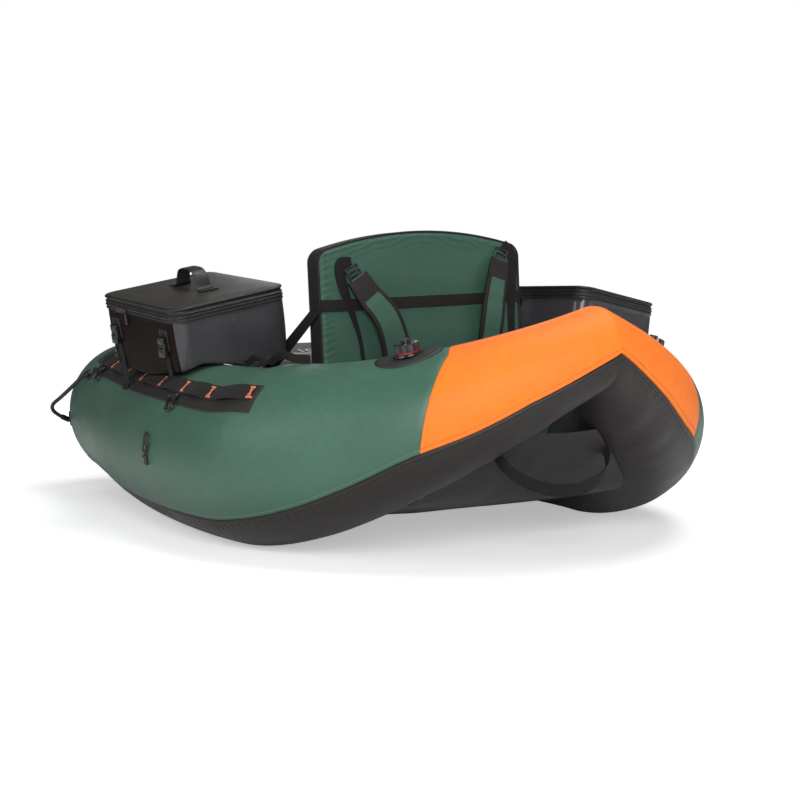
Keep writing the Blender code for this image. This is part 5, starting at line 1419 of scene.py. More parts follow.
@dataclass
class HullPanel:
    """The cloth that closes the tail between the tubes, hemmed at its front edge, and the handle under it."""

    profile: tuple = (
        (-0.050, 0.028), (-0.130, 0.031), (-0.230, 0.040), (-0.330, 0.055), (-0.420, 0.073), (-0.500, 0.091),
        (-0.560, 0.108), (-0.610, 0.140), (-0.650, 0.180), (-0.680, 0.225), (-0.693, 0.247),
    )
    thickness: float = 0.0016
    sag: float = 0.004
    lift: float = 0.0012
    rows: int = 120
    columns: int = 100
    handle_row: int = 8
    handle_share: float = 0.57
    handle_width: float = 0.025
    handle_thickness: float = 0.0025
    handle_span: float = 0.92
    handle_drop: float = 0.064
    handle_reach: float = 0.055

    def grid(self) -> tuple:
        """The panel's upper face, row by row towards the tail, with its relief.

        Returns:
            The points, their distance from the front hem, and the relief in metres.
        """
        share = np.linspace(0, 1, self.rows)
        line = curve_through(self.profile, share)
        heights = [line[:, 1], line[:, 1] - 2 * self.thickness]
        half = np.minimum(*(TUBE.half_width(line[:, 0], z, self.lift) for z in heights))
        across = np.linspace(-1, 1, self.columns)[None]
        x = across * half[:, None]
        z = line[:, 1:] - self.sag * (1 - across**2)
        points = np.stack([x, np.broadcast_to(line[:, :1], x.shape), z], -1)
        run = arc_length(line)[:, None]
        slack = Unevenness(41)
        fan = np.arctan2(x, run[-1] + 0.08 - run)
        folds = np.sin(10 * fan + 3.5 * slack.at(run / 0.20, x / 0.14)) * (0.5 + 0.5 *
                                                                           slack.at(fan * 4 + 9, run / 0.2))
        edge = step_up(half[:, None] - np.abs(x), 0.0, 0.03) * step_up(np.minimum(run, run[-1] - run), 0.02,
                                                                       0.06)
        tail = step_up(run, 0.30, 0.62)
        relief = (0.0006 + 0.0014 * tail) * folds * edge + 0.0016 * slack.at(run / 0.12, x / 0.10 + 7) * edge
        return points, run + 0 * x, relief

    def panel(self) -> None:
        """The cloth with its folds and a doubled hem."""
        points, run, relief = self.grid()
        out = -grid_normals(points)
        out = out * np.sign(out[..., 2:])
        off = np.minimum(run, run.max() - run)
        hem = 0.0014 * step_up(off, 0, 0.001) * (1 - step_up(off, 0.022, 0.024)) - 0.0006 * bell(off, 0.018,
                                                                                                 0.0012)
        upper = points + out * (relief + hem)[..., None]
        lower = points + out * (relief - self.thickness)[..., None]
        piece = make("hull_panel_hemmed", slab(upper, lower), [HULL_CLOTH], "hull",
                     ["hull_panel"])
        one_side_area(points)

    def handle(self) -> None:
        """The webbing: foot + fall sqrt(1 - s^2), across the tail."""
        (y_low, z_low), (y_high, z_high) = self.profile[self.handle_row:self.handle_row + 2]
        step = np.array([0.0, y_high - y_low, z_high - z_low])
        down = -step / np.linalg.norm(step)
        back = np.array([0.0, down[2], -down[1]])
        end = np.array([0.0, y_low, z_low]) + step * self.handle_share
        reach = float(TUBE.half_width(end[1:2], end[2:3], self.lift)[0]) * self.handle_span
        share = np.sin(np.linspace(-math.pi / 2, math.pi / 2, 70))
        arch = np.sqrt(np.maximum(1 - share**2, 0))
        slack = self.sag * (1 - (share * self.handle_span) ** 2)
        fall = np.array([0.0, -self.handle_reach, -self.handle_drop])
        centre = end + back * (self.thickness + 0.0006) + arch[:, None] * fall
        centre = centre + np.stack([share * reach, 0 * share, -slack], -1)
        sideways = down + back * ((1 - share**2) / 2)[:, None]
        web = strap(centre, sideways, self.handle_width, self.handle_thickness, 16)
        make("carry_handle_webbing", web, [BLACK_WEB], "hull", ["carry_handle"])

    def build(self) -> None:
        """Builds the panel and the handle."""
        self.panel()
        self.handle()


def evened(values: Array, faces: Array, rounds: int) -> Array:
    """Vectors at a mesh's points, each round mixed half with the mean over the faces around its point."""
    count = np.bincount(faces.reshape(-1), minlength=len(values))[:, None]
    for _ in range(rounds):
        mean = values[faces].mean(axis=1)
        around = np.zeros_like(values)
        np.add.at(around, faces.reshape(-1), np.repeat(mean, faces.shape[1], axis=0))
        values = (values + around / np.maximum(count, 1)) / 2
    return values


def swollen(points: Array, faces: Array, pressure: float, cap: float, pinned: Array) -> Array:
    """Lets a closed cloth skin swell for twenty frames, and returns where its points went, held to a cap.

    Args:
        points: The skin's points.
        faces: Its four-cornered faces.
        pressure: Pressure inside it.
        cap: Farthest that a point may go.
        pinned: Share of hold for each point, from 0 to 1.

    Returns:
        The points after swelling.
    """
    mesh = bpy.data.meshes.new("swelling")
    mesh.from_pydata(points.tolist(), [], faces.tolist())
    piece = bpy.data.objects.new("swelling", mesh)
    scene = bpy.context.scene
    scene.collection.objects.link(piece)
    group = piece.vertex_groups.new(name="held")
    for level in np.unique(np.round(pinned, 1)):
        if level > 0:
            group.add(np.flatnonzero(np.round(pinned, 1) == level).tolist(), float(level), "REPLACE")
    cloth = piece.modifiers.new("Cloth", "CLOTH")
    settings = cloth.settings
    settings.quality = 6
    settings.mass = 0.25
    settings.tension_stiffness = settings.compression_stiffness = 12
    settings.bending_stiffness = 0.4
    settings.use_pressure = True
    settings.uniform_pressure_force = pressure
    settings.shrink_min = -0.012
    settings.effector_weights.gravity = 0
    settings.vertex_group_mass = "held"
    cloth.collision_settings.use_collision = False
    cloth.point_cache.frame_start, cloth.point_cache.frame_end = 1, 20
    for number in range(1, 21):
        scene.frame_set(number)
    shaped = piece.evaluated_get(bpy.context.evaluated_depsgraph_get()).data
    result = np.empty(len(points) * 3, np.float32)
    shaped.vertices.foreach_get("co", result)
    scene.frame_set(1)
    bpy.data.objects.remove(piece)
    bpy.data.meshes.remove(mesh)
    moved_by = evened(result.reshape(-1, 3) - points, faces, 30)
    size = np.linalg.norm(moved_by, axis=1, keepdims=True)
    return points + moved_by * np.minimum(1, cap / np.maximum(size, 1e-9))


def refined(grid: Array) -> Array:
    """A grid with a point added between each two, on the cubic curve (-a + 9b + 9c - d) / 16."""
    for _ in range(2):
        ends = 2 * grid[:1] - grid[1:2], 2 * grid[-1:] - grid[-2:-1]
        padded = np.concatenate([ends[0], grid, ends[1]])
        middle = (9 * (grid[:-1] + grid[1:]) - padded[:-3] - padded[3:]) / 16
        both = np.empty((2 * len(grid) - 1, *grid.shape[1:]))
        both[::2], both[1::2] = grid, middle
        grid = both.swapaxes(0, 1)
    return grid


@dataclass
class Seat:
    """The panel that hangs between the tubes, and the cushion on it with two sewn channels."""

    height: float = 0.250
    rear: float = -0.205
    front: float = 0.255
    panel_thickness: float = 0.002
    panel_lift: float = 0.0003
    width: float = 0.440
    depth: float = 0.358
    cushion_rear: float = -0.1151
    edge_thickness: float = 0.062
    crown: float = 0.018
    corner: float = 0.050
    edge_round: float = 0.016
    waist: float = 0.008
    channel: float = 0.008
    steps: int = 56

    def panel(self) -> None:
        """The seat's cloth, stretched from tube to tube, with bound front and rear edges."""
        y = np.linspace(self.rear, self.front, 70)
        height = np.full(70, self.height)
        low = height - 2 * self.panel_thickness
        half = np.minimum(*(TUBE.half_width(y, z, self.panel_lift) for z in (height, low)))
        across = np.linspace(-1, 1, 80)[None]
        x = across * half[:, None]
        off = np.minimum(y - self.rear, self.front - y)[:, None]
        free = step_up(np.abs(x), self.width / 2, self.width / 2 + 0.02)
        relief = -0.0008 * free * (0.5 + 0.5 * Unevenness(52).at(x / 0.03, y[:, None] / 0.05))
        bound = -0.0006 * bell(off, 0.016, 0.0014)
        z = self.height + relief + bound
        points = np.stack(np.broadcast_arrays(x, y[:, None], z), -1)
        lower = points - np.array([0, 0, self.panel_thickness - 0.0008])
        piece = make("seat_panel_cloth", slab(points, lower), [HULL_CLOTH], "hull",
                     ["seat_panel"])
        one_side_area(points)

    def skins(self) -> tuple:
        """The cushion's upper and lower faces on one grid, with the grid's places across from -1 to 1."""
        side = np.sin(np.linspace(-1, 1, self.steps + 1) * math.pi /
                      2) * 0.35 + np.linspace(-1, 1, self.steps + 1) * 0.65
        u, v = np.meshgrid(side, side, indexing="ij")
        draw = self.corner * (1 - math.sqrt(0.5))
        x = u * (self.width / 2 - draw * v**4 * u**2)
        y = v * (self.depth / 2 - draw * u**4 * v**2)
        roundness = 1 - np.sqrt(np.maximum((1 - np.abs(u) ** 6) * (1 - np.abs(v) ** 6), 0))
        crown = self.crown * (1 - u**2) * (1 - v**2)
        lines = bell(u, -1 / 3, 0.045) + bell(u, 1 / 3, 0.045)
        channel = self.channel * lines * (1 - v**4)
        top = self.edge_thickness + crown - channel - self.edge_round * roundness
        base = self.edge_round * 0.6 * roundness
        place = np.array([0.0, self.cushion_rear + self.depth / 2, self.height + 0.0003])
        return np.stack([x, y, top], -1) + place, np.stack([x, y, base], -1) + place, u

    def cushion(self) -> None:
        """The cushion: two faces, a drawn-in side, swollen between channels, with piping at both seams."""
        upper, lower, u = self.skins()
        log.info("cushion of %d points", 2 * u.size)
        count = self.steps + 1
        ring = grid_rim(count, count)
        top_rim, low_rim = upper.reshape(-1, 3)[ring], lower.reshape(-1, 3)[ring]
        middle = (top_rim + low_rim) / 2
        centre = middle.mean(axis=0)
        spoke = (middle - centre) * np.array([1, 1, 0])
        inward = -spoke / np.linalg.norm(spoke, axis=1, keepdims=True)
        levels = [top_rim + (low_rim - top_rim) * share + inward * self.waist * math.sin(math.pi * share)
                  for share in np.linspace(0, 1, 9)[1:-1]]
        points = np.concatenate([upper.reshape(-1, 3), lower.reshape(-1, 3), *levels])
        base = 2 * count * count
        rows = [base + len(ring) * k + np.arange(len(ring)) for k in range(len(levels))]
        sides = faces_between([ring, *rows, ring + count * count])
        faces = [grid_faces(count, count), grid_faces(count, count)[:, ::-1] + count * count, *sides]
        held = np.zeros(len(points))
        held[:count * count] = (bell(np.abs(u), 1 / 3, 0.03) > 0.4).reshape(-1)
        held[ring] = held[ring + count * count] = 1
        held[count * count:2 * count * count] = 1
        faces = np.concatenate(faces)
        shaped = swollen(points, faces, 4.0, 0.007, held)
        place = np.stack([shaped[:, 0], shaped[:, 1] + shaped[:, 2]], -1)
        piece = make("seat_cushion_sewn", Surface(shaped, [faces], place), [SEAT_CLOTH], "hull",
                     ["seat_cushion"], 60)
        for name, rail in (("upper", top_rim), ("lower", low_rim)):
            path = rail + inward * 0.0004 + np.array([0, 0, -0.001 if name == "upper" else 0.0012])
            make(f"seat_cushion_piping_{name}", closed_rod(path, 0.0024), [BINDING], "hull")

    def build(self) -> None:
        """Builds the panel and the cushion."""
        self.panel()
        self.cushion()


@dataclass
class Backrest:
    """The folding backrest: a wrinkled pad with bound sides, a band, and two padded shoulder straps."""

    offset: float = 0.007
    front: float = -0.1315
    pivot: float = 0.336
    lean: float = 2.7
    width: float = 0.515
    thickness: float = 0.055
    low: float = 0.2614 - 0.336
    side_top: float = 0.612 - 0.336
    crown_up: float = 0.039
    corner: float = 0.022
    foot: float = 0.060
    crown: float = 0.010
    binding: float = 0.0016
    band_height: float = 0.497
    band_width: float = 0.026
    band_thickness: float = 0.0018
    pad_thickness: float = 0.009
    pad_bow: float = 0.020
    web_width: float = 0.025
    web_thickness: float = 0.0016
    steps: tuple = (64, 52)
    level_crease: float = 0.0006
    upright_crease: float = 0.0007
    broad_crease: float = 0.0012
    gather: float = 0.0005
    gather_pitch: float = 0.014
    seam_depth: float = 0.0006
    seam_inset: float = 0.006
    seam_width: float = 0.0012
    side_rings: tuple = (420, 14)
    gusset_rings: int = 15
    gusset_pitch: float = 0.0142
    gusset_dent: float = 0.0008
    piping: float = 0.0024
    skin_gap: float = 0.0003
    lock_size: tuple = (0.034, 0.026, 0.0045, 0.0045)
    pad_fill: float = 0.7
    tape_width: float = 0.0100
    patch_rows: int = 19
    patch_thickness: float = 0.0012
    tail_twists: tuple = (0.62, 0.25)
    pad_routes: tuple = (
        ((-0.172, 0.219), (-0.147, 0.177), (-0.118, 0.140), (-0.099, 0.098), (-0.085, 0.050),
         (-0.077, -0.020)),
        ((0.199, 0.245), (0.184, 0.205), (0.170, 0.160), (0.162, 0.110), (0.157, 0.055), (0.156, -0.020)),
    )
    pad_widths: tuple = ((0.050, 0.056, 0.062, 0.066, 0.070, 0.074),
                         (0.046, 0.052, 0.056, 0.058, 0.058, 0.058))
    tail_routes: tuple = (
        ((-0.180, 0.252), (-0.208, 0.247), (-0.203, 0.200), (-0.186, 0.150), (-0.168, 0.090),
         (-0.160, 0.030)),
        ((0.214, 0.282), (0.238, 0.255), (0.236, 0.200), (0.232, 0.150), (0.230, 0.090), (0.229, 0.030)),
    )

    def __post_init__(self) -> None:
        """Places the fold axis."""
        turn = Matrix.Rotation(math.radians(-self.lean), 4, "Y")
        self.place = Matrix.Translation((self.offset, self.front, self.pivot)) @ turn

    def spread(self, u: Array, v: Array) -> tuple:
        """Across and up for grid places: a corner's square goes to a quarter disc, a sqrt(1 - b^2/2).

        Args:
            u: Place across, from -1 to 1.
            v: Place up, from -1 to 1.

        Returns:
            Distance across and height over the fold axis.
        """
        half = self.width / 2
        x = u * half
        middle = (self.side_top + self.low) / 2
        z = middle + v * (self.side_top - middle)
        for up, radius in ((1, self.corner), (-1, self.foot)):
            end = self.side_top if up > 0 else self.low
            a = (np.abs(x) - (half - radius)) / radius
            b = (up * (z - end) + radius) / radius
            inside = (a > 0) & (b > 0)
            a, b = np.clip(a, 0, 1), np.clip(b, 0, 1)
            near_x = np.sign(x) * (half - radius + radius * a * np.sqrt(1 - b * b / 2))
            near_z = end - up * radius + up * radius * b * np.sqrt(1 - a * a / 2)
            x, z = np.where(inside, near_x, x), np.where(inside, near_z, z)
        lifted = np.clip((z - self.low) / (self.side_top - self.low), 0, 1)
        return x, z + self.crown_up * (1 - (x / half) ** 2) * lifted

    def outline(self, out: float, count: int = 420) -> Array:
        """The pad's outline from its fold axis, moved outwards: (across, up) pairs at even lengths."""
        side = np.linspace(-1, 1, 160)
        one = np.ones_like(side)
        ring = [self.spread(side, -one), self.spread(one, side), self.spread(-side, one),
                self.spread(-one, -side)]
        path = np.concatenate([np.stack(part, -1)[:-1] for part in ring])
        path = resampled(np.concatenate([path, path[:1]]), count, True)[1]
        run = closed_run(path)
        return path + outward_of(run) * out

    def pad(self) -> None:
        """The pad: a wrinkled rear face, a crowned front one and its sides, swollen a little."""
        columns, rows = self.steps
        u, v = np.meshgrid(np.linspace(-1, 1, columns + 1), np.linspace(-1, 1, rows + 1), indexing="ij")
        x, z = self.spread(u, v)
        edge = np.minimum((1 - np.abs(u)) * self.width / 2, (1 - np.abs(v)) * (self.side_top - self.low) / 2)
        round_off = 0.006 * (1 - round_edge(edge, 0.010))
        rear = np.stack([x, -self.thickness + round_off, z], -1)
        crown = self.crown * (1 - u**2) * (1 - v**2)
        face = np.stack([x, crown - round_off, z], -1)
        points = np.concatenate([rear.reshape(-1, 3), face.reshape(-1, 3)])
        count = (columns + 1) * (rows + 1)
        ring = grid_rim(columns + 1, rows + 1)
        face_grid = grid_faces(columns + 1, rows + 1)
        sides = [ring]
        for k in range(1, 6):
            sides.append(len(points) + np.arange(len(ring)))
            points = np.concatenate([points, points[ring] + (points[ring + count] - points[ring]) * k / 6])
        sides.append(ring + count)
        faces = np.concatenate([face_grid, face_grid[:, ::-1] + count, *faces_between(sides)])
        held = np.zeros(len(points))
        held[2 * count:] = 1
        held[ring] = held[ring + count] = 1
        held[:count] = np.maximum(held[:count], 0.7)
        shaped = swollen(points, faces, 3.0, 0.006, held)
        shaped[:count, 1] = np.maximum(shaped[:count, 1], points[:count, 1] - 0.0015)
        shaped = self.wrinkled(shaped, columns, rows, edge)
        piece = make("backrest_pad_sewn", shaped, [PAD_GREEN], "backrest", ["backrest_pad"],
                     60)

    def wrinkled(self, shaped: Array, columns: int, rows: int, edge: Array) -> Surface:
        """Both faces refined and creased: long level creases in the middle, short gathers along the seams.

        Args:
            shaped: The swollen points.
            columns: Steps across.
            rows: Steps up.
            edge: Distance from the outline on the grid.

        Returns:
            The finished surface in the fold axis's place.
        """
        parts = []
        count = (columns + 1) * (rows + 1)
        for which, way in ((0, -1.0), (1, 1.0)):
            grid = shaped[which * count:(which + 1) * count].reshape(columns + 1, rows + 1, 3)
            off = edge[..., None]
            for _ in range(2):
                grid, off = refined(grid), np.maximum(refined(off), 0)
            x, z, off = grid[..., 0], grid[..., 2], off[..., 0]
            slack = Unevenness(61 + which)
            level = slack.at(x / 0.12 + 0.6 * slack.at(x / 0.07, z / 0.05), z / 0.030)
            upright = slack.at(x / 0.035 + 2, z / 0.16 + 0.3 * slack.at(x / 0.09, z / 0.06))
            broad = slack.at(x / 0.16 + 5, z / 0.07)
            phase = math.tau * (z + 0.3 * np.abs(x)) / self.gather_pitch
            gather = np.sin(phase + 3 * slack.at(x / 0.04, z / 0.05 + 3))
            near_side = step_up(off, 0.001, 0.006) * (1 - step_up(off, 0.012, 0.045))
            fade = step_up(off, 0.002, 0.03)
            creases = self.level_crease * level + self.upright_crease * upright + self.broad_crease * broad
            seam = self.seam_depth * bell(off, self.seam_inset, self.seam_width)
            relief = creases * fade + self.gather * gather * near_side - seam
            grid = grid.copy()
            grid[..., 1] += way * relief
            hint = np.zeros_like(grid)
            hint[..., 1] = way
            parts.append(open_sheet(moved(grid, self.place), hint, grid[..., [0, 2]]).outward())
        round_count, deep_count = self.side_rings
        ring_path = self.outline(-0.0002, round_count)
        depth = np.linspace(-self.thickness + 0.0058, -0.0058, deep_count)
        rows_out = np.stack([np.insert(ring_path, 1, y, axis=1) for y in depth])
        faces = [grid_faces(deep_count, round_count, True)]
        tube = Surface(moved(rows_out, self.place).reshape(-1, 3), faces, grid_uv(rows_out).reshape(-1, 2))
        whole = joined_up([*parts, tube.outward()])
        # Each part faces out by now, so the joined hint is zero and turns nothing.
        whole.hint = np.zeros_like(whole.points)
        return whole

    def gusset(self) -> None:
        """The binding round the pad's edge with piping on both seams and shallow gathers."""
        low, high = -self.thickness + 0.006, -0.006
        rings, count = self.gusset_rings, self.side_rings[0]
        depth = np.concatenate([[low], np.linspace(low, high, rings - 2), [high]])
        out = np.full(rings, self.skin_gap + self.binding)
        out[[0, -1]] = self.skin_gap
        base = self.outline(0.0)
        run = closed_run(base)
        normal = outward_of(run)
        length = np.linspace(0, 1.7, count, endpoint=False)
        slack = Unevenness(71)
        gather = 0.5 + 0.5 * np.sin(length * math.tau / self.gusset_pitch)
        rows = []
        for k, (y, lift) in enumerate(zip(depth, out)):
            uneven = 0.5 + 0.5 * slack.at(length / 0.06, length * 0 + k / 5)
            dent = -self.gusset_dent * gather * uneven * (0 < k < rings - 1)
            place = base + normal * (lift + dent)[:, None]
            rows.append(np.stack([place[:, 0], np.full(count, y), place[:, 1]], -1))
        rows = np.array(rows + [rows[0]])
        surface = Surface(moved(rows, self.place).reshape(-1, 3), [grid_faces(len(rows), count, True)],
                          grid_uv(rows).reshape(-1, 2))
        make("backrest_gusset_bound", surface, [BINDING], "backrest", ["backrest_gusset"], 60)
        for name, y in (("rear", low - 0.0022), ("front", high + 0.0022)):
            ring = self.outline(-0.0002)
            path = np.stack([ring[:, 0], np.full(count, y), ring[:, 1]], -1)
            cord = closed_rod(moved(path, self.place), self.piping)
            make(f"backrest_piping_{name}", cord, [BINDING], "backrest")

    def band(self) -> None:
        """The stay band across the rear face, a little proud between its tacks."""
        rear = -self.thickness - self.skin_gap
        share = np.linspace(-1, 1, 120)
        height = self.band_height - self.pivot
        sag = 0.0006 * np.sin(share * 26) ** 2
        up = np.full(len(share), height) - 0.001 * (1 - share**2)
        path = np.stack([-share * self.width / 2, rear - sag, up], -1)
        web = strap(moved(path, self.place), self.turned((0, 0, 1)), self.band_width, self.band_thickness)
        make("backrest_band_sewn", web, [DARK_WEB], "backrest", ["backrest_band"])

    def turned(self, direction: Sequence[float]) -> Array:
        """A direction carried from the fold axis's place."""
        return np.array(self.place.to_3x3() @ Vector(direction))

    def shoulder(self, number: int, side: Side) -> None:
        """One shoulder strap: its pad with bound edges, its patch, ladder lock and loose webbing."""
        word = side.word
        rear = -self.thickness - self.skin_gap
        share = np.linspace(0, 1, 90)
        places = curve_through(self.pad_routes[number], share)
        widths = curve_through(self.pad_widths[number], share)
        stacked = self.band_thickness + self.web_thickness + 0.0006
        bow = stacked * (1 - share) + self.pad_bow * np.sin(math.pi * share)
        path = np.stack([places[:, 0], rear - bow, places[:, 1]], -1)
        along = np.gradient(places, axis=0)
        sideways = unit(np.stack([along[:, 1], 0 * share, -along[:, 0]], -1))
        slack = Unevenness(81 + number)
        path[:, 1] -= 0.0008 * slack.at(share * 14, share * 0)
        path = moved(path, self.place)
        sideways = np.array([self.turned(d) for d in sideways])
        out = self.turned((0, -1, 0))
        sign = float(np.sign(np.dot(np.cross(sideways[40], unit(np.gradient(path, axis=0))[40]), out)))
        sideways = sideways * sign
        pad = strap(path, sideways, widths - 0.003, self.pad_thickness, 26)
        piece = make(f"{word}_shoulder_pad_sewn", pad, [STRAP_GREEN], "backrest",
                     [f"{word}_shoulder_pad"])
        tapes = []
        for way in (-1, 1):
            rail = path + sideways * (way * (widths / 2 - 0.0042))[:, None] + out * self.pad_thickness * 0.05
            tapes.append(strap(rail, sideways, self.tape_width, self.pad_thickness * 0.96, 14))
        make(f"{word}_shoulder_binding", joined_up(tapes), [BINDING], "backrest")
        first = slice(self.patch_rows)
        at = path[first] + out * (self.pad_thickness + 0.0002)
        patch = strap(at, sideways[first], widths[first] - 0.004, self.patch_thickness, 12)
        make(f"{word}_shoulder_patch", patch, [BINDING], "backrest")
        self.lock_and_tail(number, side, rear)

    def lock_and_tail(self, number: int, side: Side, rear: float) -> None:
        """The ladder lock over the pad's upper end, and the webbing that runs through it and hangs."""
        word = side.word
        route = np.array(self.pad_routes[number])
        ahead = (route[1] - route[0]) / np.linalg.norm(route[1] - route[0])
        clear = rear - self.band_thickness - self.skin_gap
        lock_at = route[0] - ahead * (0.013 + 0.0024)
        lock_y = clear - self.web_thickness - self.skin_gap - self.lock_size[3] / 2
        tilt = math.atan2(ahead[0], -ahead[1])
        turn = Matrix.Rotation(-tilt, 4, "Y") @ Matrix.Rotation(math.pi / 2, 4, "X")
        place = self.place @ Matrix.Translation((lock_at[0], lock_y, lock_at[1])) @ turn
        lock = ladder_lock(place, *self.lock_size)
        make(f"{word}_ladder_lock", lock, [NYLON], "backrest", [f"{word}_shoulder_lock"])
        tail = curve_through(self.tail_routes[number], np.linspace(0, 1, 90))
        run = np.gradient(tail, axis=0)
        sideways = unit(np.stack([-run[:, 1], 0 * run[:, 0], run[:, 0]], -1))
        waver = 0.0006 * np.sin(np.linspace(0, 9, 90)) ** 2
        path = np.stack([tail[:, 0], clear - waver, tail[:, 1]], -1)
        width = self.web_width * (1 - self.tail_twists[number] * step_up(np.linspace(0, 1, 90), 0.30, 0.85))
        across = np.array([self.turned(d) for d in sideways])
        web = strap(moved(path, self.place), across, width, self.web_thickness, 14)
        make(f"{word}_shoulder_tail", web, [BLACK_WEB], "backrest",
             [f"{word}_shoulder_webbing"])

    def build(self) -> None:
        """Builds the backrest and its straps."""
        self.pad()
        self.gusset()
        self.band()
        self.shoulder(0, Side.LEFT)
        self.shoulder(1, Side.RIGHT)


@dataclass
class Stay:
    """A strap from the backrest band's end to the tube's inner side."""

    side: Side
    back: Backrest
    anchor_angle: float = 140.0
    anchor_run: float = 0.035
    lift: float = 0.0015
    clearance: float = 0.003
    width: float = 0.026
    thickness: float = 0.0018
    loose: tuple = (0.775, 0.575)
    loose_angle: float = 88.0

    @property
    def station(self) -> float:
        """Where along the tube the strap is sewn down."""
        return 1.09 if self.side is Side.LEFT else 1.00

    def build(self) -> None:
        """The strap: straight to the anchor, then flat on the skin, its width turning with it."""
        sign = self.side.value
        beyond = sign * (self.back.width / 2 + self.back.binding + self.clearance)
        height = self.back.band_height - self.back.pivot
        start = moved(np.array([[beyond, -self.back.thickness, height]]), self.back.place)[0]
        angle = math.radians(self.anchor_angle)
        anchor = self.side.mirror(TUBE.skin(np.array(self.station), np.array(angle), self.lift))
        normal = unit(self.side.mirror(TUBE.skin(np.array(self.station), np.array(angle), self.lift + 0.1)) -
                      anchor)
        down = unit(anchor - start)
        lying = unit(down - normal * np.dot(down, normal))
        share = np.linspace(0, 1, 60)[:, None]
        slack = np.array([0, 0, -0.003]) * np.sin(math.pi * share)
        run = np.concatenate([start + (anchor - start) * share + slack,
                              anchor + lying * self.anchor_run * np.linspace(0.1, 1, 12)[:, None]])
        first, last = np.cross(down, (-sign, 0, 0)), np.cross(lying, normal)
        turn = np.concatenate([share[:, 0], np.ones(12)])[:, None]
        web = strap(run, first + (last - first) * turn, self.width, self.thickness)
        word = self.side.word
        web.outward()
        piece = make(f"{word}_back_stay_webbing", web, [BLACK_WEB], "hull",
                     [f"{word}_back_stay"])
        matrix = piece.matrix_world.copy()
        piece.parent = None
        piece.matrix_world = matrix
        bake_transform(piece)
        self.loose_end()

    def loose_end(self) -> None:
        """The strap's loose end, which lies in waves along the tube's crown towards the backrest."""
        share = np.linspace(0, 1, 120)
        station = self.loose[0] + (self.loose[1] - self.loose[0]) * share
        angle = np.radians(self.loose_angle + 5 * np.sin(share * 7))
        wave = 0.5 - 0.5 * np.cos(share * math.tau * 3.5 + 1.2 * np.sin(share * 5))
        ends = step_up(share, 0.0, 0.12) * (1 - step_up(share, 0.88, 1.0))
        lift = 0.008 + (0.002 + 0.009 * wave) * ends
        path = self.side.mirror(TUBE.skin(station, angle, lift))
        out = unit(self.side.mirror(TUBE.skin(station, angle, lift + 0.01)) - path)
        along = unit(np.gradient(path, axis=0))
        lean = (0.35 + 0.5 * np.sin(share * 11 + 1))[:, None]
        sideways = unit(out * (1 - lean / 2) + np.cross(along, out) * lean)
        web = strap(path, sideways, 0.018, self.thickness)
        make(f"{self.side.word}_stay_loose_end", web, [DARK_WEB], "hull")


